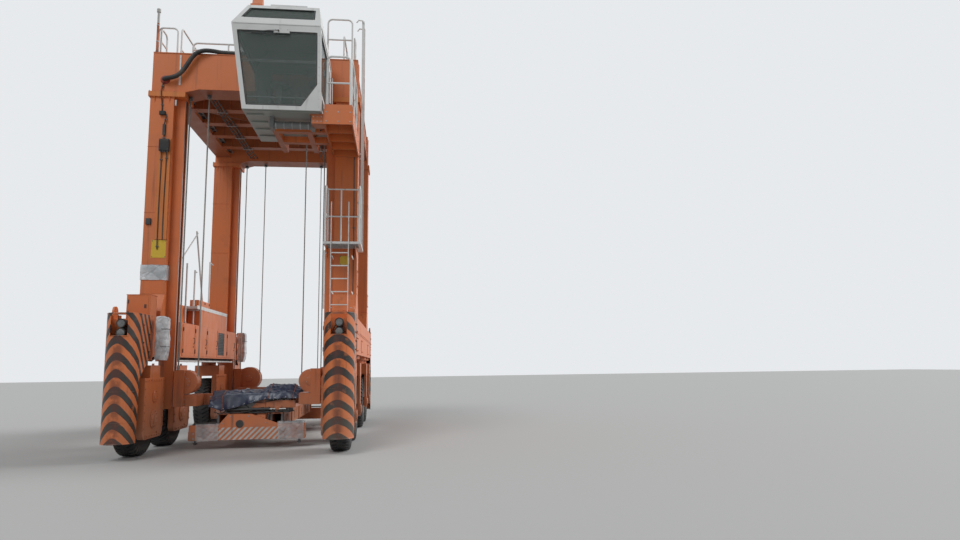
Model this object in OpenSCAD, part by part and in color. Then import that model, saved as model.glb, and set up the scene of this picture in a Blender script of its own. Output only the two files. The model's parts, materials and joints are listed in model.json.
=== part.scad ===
// Straddle carrier: four columns on eight steered wheels, with a lifting frame and a
// telescopic container spreader between them and a cabin that hangs ahead of the front beam.
// The front faces -Y, +X is to the right seen from the front, and the wheels stand on z = 0.

/* [Wheels] */
// Distance between the left and the right wheels' middles
track_w = 4260; // [4100:10:4400]
// Outer axles' distance from the side beams' ends
axle_inset = 200; // [150:10:250]
// Inner axles' distance from the machine's middle
inner_axle_y = 1850; // [1800:10:1900]
// Tyre's outer diameter
tyre_d = 1500; // [1400:10:1540]
// Tyre's width
tyre_w = 430; // [380:10:440]
// Diameter of the rim's bead seat
rim_d = 660; // [600:10:700]
// Diameter of the wheel shaft
shaft_d = 140; // [100:5:160]

/* [Forks] */
// Gap between the tyre's side and the fork
fork_gap = 35; // [20:5:50]
// Thickness of the drive case inside each wheel
case_t = 120; // [80:5:140]
// Length of the drive case
case_len = 1200; // [1000:10:1240]
// Height of the drive case's lower edge above the ground
case_z = 360; // [300:10:420]
// Thickness of the fork's outer leg
leg_t = 60; // [40:5:65]
// Height of the bridge over the tyre
bridge_h = 300; // [240:10:320]
// Length of the bridge over the tyre
bridge_len = 600; // [500:10:620]

/* [Side beams] */
// Height of the side beams' underside above the ground
beam_z = 2040; // [2000:10:2080]
// Height of a side beam
beam_h = 800; // [700:10:900]
// Width of a side beam's core
beam_w = 600; // [560:10:640]
// Length of a side beam between its noses
beam_len = 8000; // [7900:20:8100]
// Depth of the service box on a beam's inner face
box_d = 250; // [200:10:250]
// Gap between the service box on a beam's inner face and the guide rails
box_gap = 45; // [20:5:80]
// Length of the nose at each end of a side beam
nose_len = 560; // [500:10:580]
// Height of the nose at each end of a side beam
nose_h = 740; // [600:10:780]
// Bore of the lashing eyes
eye_d = 70; // [50:5:90]
// Thickness of the lashing eyes
eye_t = 40; // [30:5:60]

/* [Columns] */
// Distance of the columns' middles from the side beams' ends
column_inset = 1130; // [1110:10:1180]
// Width of a column across the machine
column_w = 530; // [480:10:540]
// Depth of a column along the machine
column_d = 600; // [500:10:620]
// Height of the bolted collar's underside
collar_z = 8050; // [7800:10:8200]
// Height of the bolted collar
collar_h = 120; // [80:10:160]
// How far the collar stands out of the column
collar_lip = 40; // [20:5:50]
// Height of the flared foot
foot_h = 600; // [400:10:700]
// How far the foot flares out along the machine
foot_flare = 220; // [120:10:260]
// Width of a guide rail along the machine
rail_w = 250; // [200:10:260]
// Depth of a guide rail across the machine
rail_d = 210; // [180:10:230]
// Width of the guide rail's groove
groove_w = 130; // [100:5:140]
// Depth of the guide rail's groove
groove_d = 150; // [110:5:160]
// Height of the guide rails' lower ends
rail_z = 900; // [850:10:1000]

/* [Top frame] */
// Height of the top beams' upper face
frame_z = 9140; // [8900:10:9400]
// Depth of the front and rear beams in their middle
cross_h = 890; // [800:10:930]
// Width of the top side beams
top_side_w = 420; // [300:10:460]
// Height of the top side beams
top_side_h = 650; // [500:10:750]
// Width of the cross members under the deck
member_w = 200; // [140:10:240]
// Height of the cross members under the deck
member_h = 300; // [200:10:340]
// Thickness of the deck
deck_t = 40; // [20:5:60]
// Height of the deck's upper face
deck_z = 8690; // [8500:10:8700]
// Length of the power pack's housing across the machine
pack_w = 2400; // [2000:20:2800]
// Length of the power pack's housing along the machine
pack_len = 1900; // [1600:20:2000]
// Height of the power pack's housing
pack_h = 1250; // [1100:10:1300]

/* [Wheel guards] */
// Width of a wheel guard
guard_w = 630; // [610:5:640]
// Plate thickness of a wheel guard
guard_t = 20; // [12:1:24]
// Length of a wheel guard's cheeks at the top
guard_len = 930; // [900:10:940]
// Height of the guards' lower edge
guard_z = 350; // [300:10:400]
// Height of the guards' upper edge
guard_top = 2890; // [2840:10:2950]

/* [Cab] */
// Height of the cab's floor, its lowest face
cab_z = 6920; // [6900:10:7000]
// Height of the cab above its floor
cab_h = 2220; // [2100:10:2260]
// Height of the header over the front window, above the floor
header_h = 1730; // [1600:10:1800]
// Middle of the machine to the cab's right wall
cab_right = 1760; // [1740:5:1780]
// Width of the cab at its floor
cab_floor_w = 1550; // [1400:10:1600]
// How far the cab's left wall leans out up to the header
cab_lean = 210; // [100:10:260]
// How far the cab's roof steps in on the left
roof_step = 270; // [150:10:300]
// Front face of the front beam to the cab's rear wall
cab_gap = 350; // [300:10:400]
// Length of the cab's floor
cab_len = 2050; // [1900:10:2100]
// How far the front window leans forward up to the header
window_lean = 220; // [100:10:260]
// Thickness of the cab's walls
wall_t = 60; // [50:5:70]
// Width of the cab door
door_w = 550; // [500:10:555]
// Running gap around the cab door
door_gap = 6; // [5:1:10]
// Thickness of the glass
glass_t = 12; // [8:1:14]

/* [Platforms and ladders] */
// Height of the platform beside the cab
platform_z = 7020; // [6980:5:7040]
// Depth of the platform's edge
platform_h = 320; // [250:10:320]
// Width of the platform beside the cab
platform_w = 600; // [580:5:620]
// Height of the landing on the front column
landing_z = 4550; // [4300:10:4700]
// Length of the landing ahead of the column
landing_len = 680; // [600:10:700]
// Width of the ladders
ladder_w = 400; // [380:10:440]
// Distance between two rungs
rung_pitch = 290; // [260:5:320]
// Diameter of the handrails
tube_d = 42; // [34:1:48]
// Height of the handrails above their platform
handrail_h = 1150; // [1000:10:1170]
// Column's outer face to the outer face of the ladder beside it
ladder_reach = 120; // [110:5:180]

/* [Lifting frame and spreader] */
// Height of the spreader's end beams above the ground
spreader_z = 200; // [180:5:240]
// Distance between the twistlocks across the machine
lock_x = 2259; // [2259:1:2260]
// Distance between the twistlocks along the machine with the spreader drawn in
lock_y = 5853; // [5840:1:5860]
// Width of a telescopic arm
arm_w = 200; // [160:10:210]
// Height of a telescopic arm
arm_h = 270; // [220:10:280]
// Length of a telescopic arm
arm_len = 3750; // [3700:10:3800]
// Distance between neighbouring arms
arm_pitch = 300; // [290:5:320]
// Wall of the sleeves around the arms
sleeve_t = 30; // [20:2:36]
// Length of the sleeves
sleeve_len = 5400; // [5300:20:5440]
// Radius of the front lifting carriages' sheave cases
sheave_r_front = 250; // [200:10:260]
// Radius of the rear lifting carriages' sheave cases
sheave_r_rear = 330; // [260:10:340]

/* [Hidden] */
seat_gap = 0.3;      // between pieces that rest against each other
run_gap = 0.05;      // radial, of a shaft in its bearing
slide_gap = 0.5;     // of a shoe or an arm in its guide
$fn = 48;

// What the driving sizes give
wheel_x = track_w / 2;
tyre_r = tyre_d / 2;
rim_r = rim_d / 2;
shaft_r = shaft_d / 2;
side_signs = [-1, 1];
end_signs = [-1, 1];

outer_axle_y = beam_len / 2 - axle_inset;
column_y = beam_len / 2 - column_inset;
box_len = 2 * (column_y - rail_w / 2 - box_gap);
beam_top = beam_z + beam_h;
beam_out = wheel_x + beam_w / 2 + 20;
beam_in = beam_out - beam_w;
lane_x = beam_in - box_d;
nose_w = guard_w - 2 * guard_t;

column_in = beam_in;
column_mid = column_in + column_w / 2;
column_out = column_in + column_w;
column_front = column_y + column_d / 2;
foot_in = column_y - column_d / 2 - foot_flare;
side_reach = column_out + ladder_reach;
rail_in = column_in - rail_d;
head_z = collar_z + collar_h;
cross_z = frame_z - cross_h;
cross_out = column_out - 20;
cross_front = column_front;

guard_front = beam_len / 2 + guard_len;

cab_rear_y = -(cross_front + cab_gap);
cab_floor_y = cab_rear_y - cab_len;
cab_header_y = cab_floor_y - window_lean;
cab_left = cab_right - cab_floor_w;
header_z = cab_z + header_h;
roof_z = cab_z + cab_h;
roof_front_y = cab_floor_y;

// The frame's origin is the middle of the whole machine on the ground
frame_shift = (-cab_header_y - guard_front) / 2;

// Wheels: name, side (-1 left, 1 right), axle's place along the machine
name_col = 0;
side_col = 1;
axle_col = 2;
wheels = [
    ["front_left", -1, -outer_axle_y], ["front_right", 1, -outer_axle_y],
    ["mid_front_left", -1, -inner_axle_y], ["mid_front_right", 1, -inner_axle_y],
    ["mid_rear_left", -1, inner_axle_y], ["mid_rear_right", 1, inner_axle_y],
    ["rear_left", -1, outer_axle_y], ["rear_right", 1, outer_axle_y]
];

orange = [0.86, 0.36, 0.13];
white = [0.88, 0.89, 0.88];
steel = [0.45, 0.46, 0.47];
black = [0.08, 0.08, 0.09];

module in_frame(colour) { color(colour) translate([0, frame_shift, 0]) children(); }

// A box from its lowest to its highest corner
module span(low, high) { translate(low) cube(high - low); }

// The same piece on one side (sx) and end (sy) of the machine, from the one at +X and +Y
module at_corner(sx, sy) { scale([sx, sy, 1]) children(); }

// A profile drawn as (y, z), extruded along x from x0 to x1
module along_x(x0, x1) {
    translate([x0, 0, 0]) rotate([90, 0, 90]) linear_extrude(x1 - x0) children();
}

// A profile drawn as (x, z), extruded along y from y0 to y1
module along_y(y0, y1) {
    translate([0, y1, 0]) rotate([90, 0, 0]) linear_extrude(y1 - y0) children();
}

// SIDE BEAMS

slew_r = 270;
slew_h = 50;
seam_w = 14;
seam_d = 10;
seam_count = 4;
eye_y = beam_len / 2 + nose_len - 160;
eye_z = guard_top + 60;
eye_r_out = 110;

module lashing_eye() {
    nose_top = beam_z + nose_h;
    along_x(wheel_x + nose_w / 2 - eye_t, wheel_x + nose_w / 2) difference() {
        union() {
            translate([eye_y, eye_z]) circle(r = eye_r_out);
            translate([eye_y - eye_r_out, nose_top]) square([2 * eye_r_out, eye_z - nose_top]);
        }
        translate([eye_y, eye_z]) circle(d = eye_d);
    }
}

module side_beam() {
    difference() {
        union() {
            span([beam_in, -beam_len / 2, beam_z], [beam_out, beam_len / 2, beam_top]);
            span([lane_x, -box_len / 2, beam_z], [beam_in, box_len / 2, beam_top]);
        }
        for (i = [1:seam_count])
            translate([lane_x - 1, box_len * (i / (seam_count + 1) - 0.5) - seam_w / 2, beam_z + 30])
                cube([seam_d + 1, seam_w, beam_h - 60]);
    }
    for (sy = end_signs) at_corner(1, sy) {
        span([wheel_x - nose_w / 2, beam_len / 2, beam_z],
             [wheel_x + nose_w / 2, beam_len / 2 + nose_len, beam_z + nose_h]);
        lashing_eye();
        for (y = [inner_axle_y, outer_axle_y])
            translate([wheel_x, y, beam_z - slew_h]) cylinder(r = slew_r, h = slew_h);
    }
}

module side_beam_left() in_frame(orange) at_corner(-1, 1) side_beam();
module side_beam_right() in_frame(orange) side_beam();

// COLUMNS

module column() {
    span([column_in, column_y - column_d / 2, beam_top], [column_out, column_front, collar_z]);
    along_x(column_in, column_out) polygon([
        [column_y - column_d / 2 - foot_flare, beam_top], [column_front + foot_flare, beam_top],
        [column_front + foot_flare, beam_top + foot_h / 3], [column_front, beam_top + foot_h],
        [column_y - column_d / 2, beam_top + foot_h],
        [column_y - column_d / 2 - foot_flare, beam_top + foot_h / 3]
    ]);
    span([rail_in - collar_lip, column_y - column_d / 2 - collar_lip, collar_z],
         [column_out + collar_lip, column_front + collar_lip, head_z]);
    translate([0, column_y, rail_z]) linear_extrude(collar_z - rail_z) difference() {
        translate([rail_in, -rail_w / 2]) square([rail_d, rail_w]);
        translate([rail_in - 1, -groove_w / 2]) square([groove_d + 1, groove_w]);
    }
}

duct_t = 25;
duct_z0 = 4680;
duct_z1 = 7050;

module front_columns() in_frame(orange) {
    for (sx = side_signs) at_corner(sx, -1) column();
    // Cable duct down the front of the left column
    span([-column_in - 280, -column_front - duct_t, duct_z0], [-column_in - 20, -column_front + 1, duct_z1]);
}
module rear_columns() in_frame(orange) for (sx = side_signs) at_corner(sx, 1) column();

// TOP FRAME

haunch_x0 = rail_in - collar_lip;
haunch_x1 = haunch_x0 - 300;

module cross_beam() {
    along_y(cross_front - column_d, cross_front) polygon([
        [-cross_out, head_z], [-haunch_x0, head_z], [-haunch_x1, cross_z], [haunch_x1, cross_z],
        [haunch_x0, head_z], [cross_out, head_z], [cross_out, frame_z], [-cross_out, frame_z]
    ]);
}

module front_beam() in_frame(orange) at_corner(1, -1) cross_beam();
module rear_beam() in_frame(orange) cross_beam();

top_side_z = deck_z - member_h - deck_t;
top_side_in = column_mid - top_side_w / 2;
bay_y = cross_front - column_d;

module top_side_beams() in_frame(orange)
    for (sx = side_signs) at_corner(sx, 1)
        span([top_side_in, -bay_y, top_side_z], [top_side_in + top_side_w, bay_y, top_side_z + top_side_h]);

member_count = 4;
bay_len = 2 * bay_y / (member_count + 1);
function member_y(i) = -bay_y + i * bay_len;

module top_cross_members() in_frame(orange)
    for (i = [1:member_count])
        span([-top_side_in, member_y(i) - member_w / 2, top_side_z],
             [top_side_in, member_y(i) + member_w / 2, top_side_z + member_h]);

diagonal_w = 140;
diagonal_drop = 60;

// One diagonal in each of the three middle bays, cut flush with the cross members
module top_diagonals() in_frame(orange)
    for (i = [1:member_count - 1]) {
        y0 = member_y(i) + member_w / 2;
        y1 = member_y(i + 1) - member_w / 2;
        x0 = -top_side_in + (i - 1) * 2 * top_side_in / (member_count - 1);
        x1 = x0 + 2 * top_side_in / (member_count - 1);
        translate([0, 0, top_side_z + diagonal_drop]) linear_extrude(member_h - 2 * diagonal_drop)
            polygon([[x0, y0], [x0 + diagonal_w, y0], [x1, y1], [x1 - diagonal_w, y1]]);
    }

module top_deck() in_frame(steel)
    span([-top_side_in, -bay_y, deck_z - deck_t], [top_side_in, bay_y, deck_z]);

// WHEEL GUARDS

lamp_hole_w = 330;
lamp_hole_h = 420;
lamp_hole_z = 2440;
cheek_low = nose_len + 20;

module guard_plan(grow) {
    r = guard_w / 2 - grow;
    translate([0, guard_front - guard_w / 2]) circle(r = r);
    translate([-r, beam_len / 2]) square([2 * r, guard_len - guard_w / 2]);
}

module guard() {
    translate([wheel_x, 0, 0]) difference() {
        intersection() {
            linear_extrude(guard_top) difference() {
                guard_plan(0);
                guard_plan(guard_t);
                translate([-guard_w, beam_len / 2 - 1 - guard_w]) square([2 * guard_w, guard_w + 1]);
            }
            along_x(-guard_w, guard_w) polygon([
                [guard_front + 1, guard_z], [beam_len / 2 + cheek_low + 20, guard_z],
                [beam_len / 2 + cheek_low - 20, beam_z - 440], [beam_len / 2, beam_z + 10],
                [beam_len / 2, guard_top], [guard_front + 1, guard_top]
            ]);
        }
        span([-lamp_hole_w / 2, guard_front - 160, lamp_hole_z],
             [lamp_hole_w / 2, guard_front + 1, lamp_hole_z + lamp_hole_h]);
    }
}

module wheel_guards() in_frame(orange)
    for (sx = side_signs) for (sy = end_signs) at_corner(sx, sy) guard();

// CAB

// Front view of the cab as (x, z), with its walls moved in by t
function cab_front_view(t) = [
    [cab_left + t, cab_z + t], [cab_right - t, cab_z + t], [cab_right - t, header_z],
    [cab_right - 60 - t, roof_z - t], [cab_left - cab_lean + roof_step + t, roof_z - t],
    [cab_left - cab_lean + t, header_z]
];

// Side view of the cab as (y, z), with its walls moved in by t
function cab_side_view(t) = [
    [cab_floor_y + t, cab_z + t], [cab_header_y + t, header_z], [roof_front_y + t, roof_z - t],
    [cab_rear_y - t, roof_z - t], [cab_rear_y - t, cab_z + t]
];

module cab_volume(t) {
    intersection() {
        along_y(cab_header_y - 1, cab_rear_y + 1) polygon(cab_front_view(t));
        along_x(cab_left - cab_lean - 1, cab_right + 1) polygon(cab_side_view(t));
    }
}

// The layer of the walls between the depths t0 and t1
module cab_layer(t0, t1) difference() { cab_volume(t0); cab_volume(t1); }

sill = 90;            // of the frame around each window
lintel = 150;
corner_cut = 440;     // height of the sloping corner of the front window
corner_run = 320;
side_sill_h = 430;
door_front_y = cab_rear_y - 265 - door_w;
door_top = header_z - 90;
door_sill = platform_z + 15;
hinge_x = cab_right + 20;
hinge_y = door_front_y - 12;
hinge_pin_r = 8;
hinge_r = 16;
knuckle_h = 120;
hinge_heights = [cab_z + 300, header_z - 450];
roof_panel_h = 80;

function left_at(z) = cab_left - cab_lean * (z - cab_z) / header_h;
function front_at(z) = cab_floor_y - window_lean * (z - cab_z) / header_h;

module front_window() {
    z0 = cab_z + sill;
    z1 = header_z - lintel;
    x1 = cab_right - 70;
    along_y(cab_header_y - 1, cab_floor_y + wall_t + 20) polygon([
        [left_at(z0) + sill, z0], [x1 - corner_run, z0], [x1, z0 + corner_cut],
        [x1, z1], [left_at(z1) + sill, z1]
    ]);
}

module roof_window() {
    z0 = header_z + lintel;
    z1 = roof_z - 80;
    step = roof_step / (cab_h - header_h);
    along_y(cab_header_y - 1, roof_front_y + wall_t + 60) polygon([
        [cab_left - cab_lean + step * (z0 - header_z) + sill, z0], [cab_right - 130, z0],
        [cab_right - 130, z1], [cab_left - cab_lean + step * (z1 - header_z) + sill, z1]
    ]);
}

module left_window() {
    z0 = cab_z + sill;
    z1 = header_z - sill;
    along_x(cab_left - cab_lean - 1, cab_left + wall_t + 20) polygon([
        [front_at(z0) + sill + 20, z0], [front_at(z1) + sill + 20, z1], [cab_rear_y - sill, z1],
        [cab_rear_y - sill, z0]
    ]);
}

module right_window() {
    z0 = cab_z + side_sill_h;
    z1 = header_z - sill;
    along_x(cab_right - wall_t - 20, cab_right + 1) polygon([
        [front_at(z0) + sill + 20, z0], [front_at(z1) + sill + 20, z1], [door_front_y - 80, z1],
        [door_front_y - 80, z0]
    ]);
}

module rear_window() {
    span([cab_left + 200, cab_rear_y - wall_t - 10, cab_z + 800],
         [cab_right - 200, cab_rear_y + 1, header_z - sill]);
}

module door_opening(gap) {
    span([cab_right - wall_t - 20, door_front_y + gap, door_sill + gap],
         [cab_right + 1, door_front_y + door_w - gap, door_top - gap]);
}

module door_window() {
    span([cab_right - wall_t - 20, door_front_y + sill, cab_z + 500],
         [cab_right + 1, door_front_y + door_w - sill, door_top - sill]);
}

module cab_body() in_frame(white) {
    difference() {
        cab_layer(0, wall_t);
        front_window();
        roof_window();
        left_window();
        right_window();
        rear_window();
        door_opening(0);
    }
    // Raised panel on the roof
    span([cab_left + 490, roof_front_y + 90, roof_z - 1],
         [cab_right - 320, cab_rear_y - 120, roof_z + roof_panel_h]);
    // Hinge pins on a lug below each door knuckle
    for (z = hinge_heights) {
        translate([hinge_x, hinge_y, z - 30]) cylinder(r = hinge_pin_r, h = knuckle_h + 20);
        span([cab_right, hinge_y - hinge_r, z - 30], [hinge_x + hinge_r, hinge_y + hinge_pin_r, z - 1]);
    }
}

glass_depth = 20;

module cab_glass() in_frame([0.35, 0.45, 0.45, 0.5])
    intersection() {
        cab_layer(glass_depth, glass_depth + glass_t);
        union() {
            front_window();
            roof_window();
            left_window();
            right_window();
            rear_window();
        }
    }

door_t = 44;

module cab_door() in_frame(white) {
    difference() {
        intersection() {
            cab_layer(0, door_t);
            door_opening(door_gap);
        }
        door_window();
    }
    for (z = hinge_heights) difference() {
        union() {
            translate([hinge_x, hinge_y, z]) cylinder(r = hinge_r, h = knuckle_h);
            span([cab_right + 4, hinge_y, z], [hinge_x, door_front_y + 60, z + knuckle_h]);
            span([cab_right - 5, door_front_y + door_gap, z], [hinge_x, door_front_y + 60, z + knuckle_h]);
        }
        translate([hinge_x, hinge_y, z - 1]) cylinder(r = hinge_pin_r + run_gap, h = knuckle_h + 2);
    }
}

module cab_door_glass() in_frame([0.35, 0.45, 0.45, 0.5])
    intersection() {
        cab_layer(16, 16 + glass_t);
        door_window();
    }

seat_x = cab_left + 640;
seat_y = cab_floor_y + 1150;
floor_z = cab_z + wall_t;
seat_w = 480;
seat_h = 430;
cushion_t = 130;
cushion_len = 490;
back_h = 620;
back_t = 110;
back_lean = 100;

module cab_seat() in_frame(black) {
    translate([seat_x, seat_y, floor_z]) {
        y1 = cushion_len / 2 + 15;
        cylinder(r = 130, h = seat_h - cushion_t);
        span([-seat_w / 2, y1 - cushion_len, seat_h - cushion_t], [seat_w / 2, y1, seat_h]);
        along_x(-seat_w / 2 + 10, seat_w / 2 - 10) polygon([
            [y1 - back_t, seat_h], [y1, seat_h], [y1 + back_lean, seat_h + back_h],
            [y1 + back_lean - back_t, seat_h + back_h]
        ]);
    }
}

console_w = 140;
console_len = 500;
console_h = 560;
console_rise = 60;
wheel_post_r = 45;
wheel_post_h = 640;
wheel_r = 190;
wheel_t = 30;

// Armrest consoles on both sides of the seat, and the steering wheel on its post
module cab_console() in_frame(steel) {
    for (sx = side_signs)
        translate([seat_x + sx * (seat_w / 2 + 40 + console_w / 2), seat_y, floor_z])
            along_x(-console_w / 2, console_w / 2) polygon([
                [-console_len / 2, 0], [console_len / 2, 0], [console_len / 2, console_h],
                [-console_len / 10, console_h + console_rise], [-console_len / 2, console_h]
            ]);
    translate([seat_x, seat_y - 650, floor_z]) {
        cylinder(r = wheel_post_r, h = wheel_post_h);
        translate([0, 0, wheel_post_h]) cylinder(r = wheel_r, h = wheel_t);
    }
}

belly_r = 75;
belly_y = cab_floor_y + 480;
belly_x = cab_left + 480;
belly_len = 740;
belly_drop = 150;
hanger_t = 80;
hanger_d = 220;
hanger_h = 240;

// The roll under the cab's floor, on its two hangers
module cab_belly_unit() in_frame(steel) {
    translate([belly_x + hanger_t, belly_y, cab_z - belly_drop]) rotate([0, 90, 0])
        cylinder(r = belly_r, h = belly_len);
    for (x = [belly_x, belly_x + hanger_t + belly_len])
        span([x, belly_y - hanger_d / 2, cab_z - hanger_h], [x + hanger_t, belly_y + hanger_d / 2, cab_z]);
}

guard_blocks = 6;
guard_base_w = 240;
guard_base_h = 70;
guard_block_h = 190;

// The stepped guard along the left edge of the cab's roof
module cab_roof_guard() in_frame(orange) {
    x0 = cab_left - cab_lean + roof_step + 30;
    y0 = roof_front_y + 60;
    y1 = cab_rear_y - 60;
    pitch = (y1 - y0) / guard_blocks;
    span([x0, y0, roof_z], [x0 + guard_base_w, y1, roof_z + guard_base_h]);
    for (i = [0:guard_blocks - 1])
        translate([x0 + 20, y0 + (i + 0.2) * pitch, roof_z + guard_base_h])
            along_x(0, guard_base_w - 40)
                polygon([
                    [0, 0], [pitch * 0.6, 0], [pitch * 0.5, guard_block_h], [pitch * 0.15, guard_block_h]
                ]);
}

// PLATFORM BESIDE THE CAB

platform_in = cab_right + 40;
platform_out = platform_in + platform_w;
platform_front_y = cab_floor_y + 120;
platform_plate = 30;
arm_z = cab_z - 140;
support_arms = [cab_floor_y + 900, cab_rear_y - 420];
hanger_x = [cab_left + 450, cab_left + 1150];
hanger_w = 120;

module cab_platform() in_frame(orange) {
    difference() {
        span([platform_in, platform_front_y, platform_z - platform_h],
             [platform_out, -column_front, platform_z]);
        for (i = [0:3]) {
            len = (-column_front - platform_front_y - platform_plate) / 4;
            y0 = platform_front_y + platform_plate + i * len;
            span([platform_in + platform_plate, y0, platform_z - platform_h - 1],
                 [platform_out - platform_plate, y0 + len - platform_plate, platform_z - platform_plate]);
        }
    }
    for (y = support_arms)
        span([hanger_x[0], y, arm_z], [platform_in, y + 150, cab_z]);
    for (x = hanger_x) {
        span([x, support_arms[0], arm_z], [x + hanger_w, -cross_front, cab_z]);
        span([x, cab_rear_y + 30, cab_z], [x + hanger_w, -cross_front, frame_z - 200]);
    }
}

// LADDERS, LANDING AND HANDRAILS

tube_r = tube_d / 2;
post_r = tube_r - 2;
stringer_w = 60;
stringer_t = 16;
rung_r = 14;
ladder_x = column_in + 190;
landing_front_y = -(column_front + landing_len);
landing_t = 50;
landing_in = column_in - 180;
landing_rail_h = 1300;

// A ladder that climbs from z0 to z1 with its stringers at (x, y) = (0, 0) and (ladder_w, 0)
module ladder(z0, z1, top) {
    for (x = [0, ladder_w - stringer_t]) span([x, 0, z0], [x + stringer_t, stringer_w, top]);
    for (z = [z0 + rung_pitch:rung_pitch:z1])
        translate([stringer_t / 2, stringer_w / 2, z]) rotate([0, 90, 0])
            cylinder(r = rung_r, h = ladder_w - stringer_t);
}

module ladders() in_frame(white) {
    translate([ladder_x - ladder_w / 2, landing_front_y - stringer_w, 0])
        ladder(beam_top, landing_z, landing_z + 900);
    span([landing_in, landing_front_y, landing_z - landing_t], [side_reach, -column_front, landing_z]);
    // The upper ladder stands on the landing's outer end, beside the column
    span([column_out, -column_front, landing_z - landing_t],
         [side_reach, -column_y + ladder_w / 2, landing_z]);
    translate([side_reach, -column_y - ladder_w / 2, 0]) rotate([0, 0, 90])
        ladder(landing_z, frame_z, frame_z + handrail_h - 100);
    for (z = [landing_z + 1050, landing_z + 2250])
        for (y = [-column_y - ladder_w / 2, -column_y + ladder_w / 2 - stringer_t])
            span([column_out, y, z], [side_reach - stringer_w, y + stringer_t, z + 40]);
}

bend_r = 110;
post_pitch = 1000;

// A hoop of tube: two posts at the feet a and b and a bent top at height h above them
module hoop(a, b, h) {
    way = b - a;
    len = norm([way[0], way[1]]);
    translate(a) rotate([0, 0, atan2(way[1], way[0])]) {
        for (x = [0, len]) translate([x, 0, 0]) cylinder(r = tube_r, h = h - bend_r);
        translate([bend_r, 0, h]) rotate([0, 90, 0]) cylinder(r = tube_r, h = len - 2 * bend_r);
        for (m = [0, 1])
            translate([m * len, 0, 0]) mirror([m, 0, 0])
                translate([bend_r, 0, h - bend_r]) rotate([90, 0, 0])
                    rotate([0, 0, 90]) rotate_extrude(angle = 90) translate([bend_r, 0]) circle(r = tube_r);
    }
}

// A hoop with a knee rail at half its height and a post every metre or so
module fence(a, b, h) {
    way = b - a;
    len = norm([way[0], way[1]]);
    posts = ceil(len / post_pitch);
    hoop(a, b, h);
    translate(a) rotate([0, 0, atan2(way[1], way[0])]) {
        translate([0, 0, h / 2]) rotate([0, 90, 0]) cylinder(r = post_r, h = len);
        if (posts > 1) for (i = [1:posts - 1])
            translate([i * len / posts, 0, 0]) cylinder(r = post_r, h = h);
    }
}

rail_edge = cross_out - 60;
side_fence_h = 660;
front_fence_h = 350;
end_fence_h = 1040;
deck_fence_h = 1100;

// Tubes that lean in a plane along the left beam: foot (y, z), head (y, z), radius
foot_y_col = 0;
foot_z_col = 1;
head_y_col = 2;
head_z_col = 3;
radius_col = 4;
thin_r = 15;
rack_x = -(lane_x + 150);
rack_y = -column_y;
tray_z = 410;
tray_t = 60;
tray_w = 300;
rack = [
    [930, 0, 930, 1480, tube_r], [1600, 0, 1600, 1400, tube_r], [1600, 1380, 1770, 1365, thin_r],
    [2470, tray_z + 20, 1610, 2400, tube_r], [140, 1290, 1720, 2370, thin_r],
    [2970, tray_z + 20, 2970, 1810, tube_r], [2970, 1790, 3270, 1770, thin_r]
];

module lean_tube(y0, z0, y1, z1, r) {
    len = norm([y1 - y0, z1 - z0]);
    translate([0, y0, z0]) rotate([atan2(y0 - y1, z1 - z0), 0, 0]) cylinder(r = r, h = len);
}

module handrails() in_frame(white) {
    // Platform beside the cab: outer edge and front edge
    fence([platform_out - 40, platform_front_y + 100, platform_z],
          [platform_out - 40, -column_front - 450, platform_z], handrail_h);
    fence([platform_in + 60, platform_front_y + 40, platform_z],
          [platform_out - 60, platform_front_y + 40, platform_z], handrail_h);
    // Landing on the front column
    for (x = [landing_in + 40, side_reach - 40])
        fence([x, landing_front_y + 40, landing_z], [x, -column_front - 60, landing_z], landing_rail_h);
    // Top of the frame: both sides, the rear, and the front in three lengths
    for (sx = side_signs)
        fence([sx * (rail_edge - 40), -cross_front + 160, frame_z],
              [sx * (rail_edge - 40), -bay_y - 40, frame_z], side_fence_h);
    hoop([-rail_edge, -cross_front + 120, frame_z],
         [-rail_edge + 430, -cross_front + 120, frame_z], side_fence_h);
    fence([-haunch_x0 + 60, -cross_front + 200, frame_z],
          [cab_left - 120, -cross_front + 200, frame_z], front_fence_h);
    fence([haunch_x0 + 30, -cross_front + 60, frame_z],
          [rail_edge - 90, -cross_front + 60, frame_z], end_fence_h);
    fence([-rail_edge + 100, cross_front - 60, frame_z],
          [rail_edge - 100, cross_front - 60, frame_z], end_fence_h);
    for (sx = side_signs)
        fence([sx * (top_side_in + 60), -bay_y + 100, top_side_z + top_side_h],
              [sx * (top_side_in + 60), bay_y - 100, top_side_z + top_side_h], deck_fence_h);
    // Rack on the left beam: stanchions, a stay that leans against the guide rail, and the tray
    translate([rack_x, rack_y, beam_top]) {
        for (t = rack)
            lean_tube(t[foot_y_col], t[foot_z_col], t[head_y_col], t[head_z_col], t[radius_col]);
        span([-40, rail_w / 2 + seat_gap, 1230], [40, rail_w / 2 + 20, 1350]);
        span([-tray_w / 2, 1370, tray_z], [tray_w / 2, 4420, tray_z + tray_t]);
        span([-tray_w / 2, 4380, 0], [tray_w / 2, 4420, tray_z + 1]);
    }
    // Two low hoops on the right beam
    for (y = [-column_y + 920, -column_y + 1400])
        fence([lane_x + 150, y, beam_top], [lane_x + 150, y + 430, beam_top], 620);
}

// POWER PACK, HIDDEN BEHIND THE FRONT BEAM

pack_x0 = -1300;
pack_y1 = bay_y - 300;
hood_t = 200;
louvre_d = 60;
louvre_count = 9;
louvre_h = 40;
louvre_pitch = 90;
fan_r = 460;
fan_h = 90;
exhaust_r = 75;
exhaust_h = 270;

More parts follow.
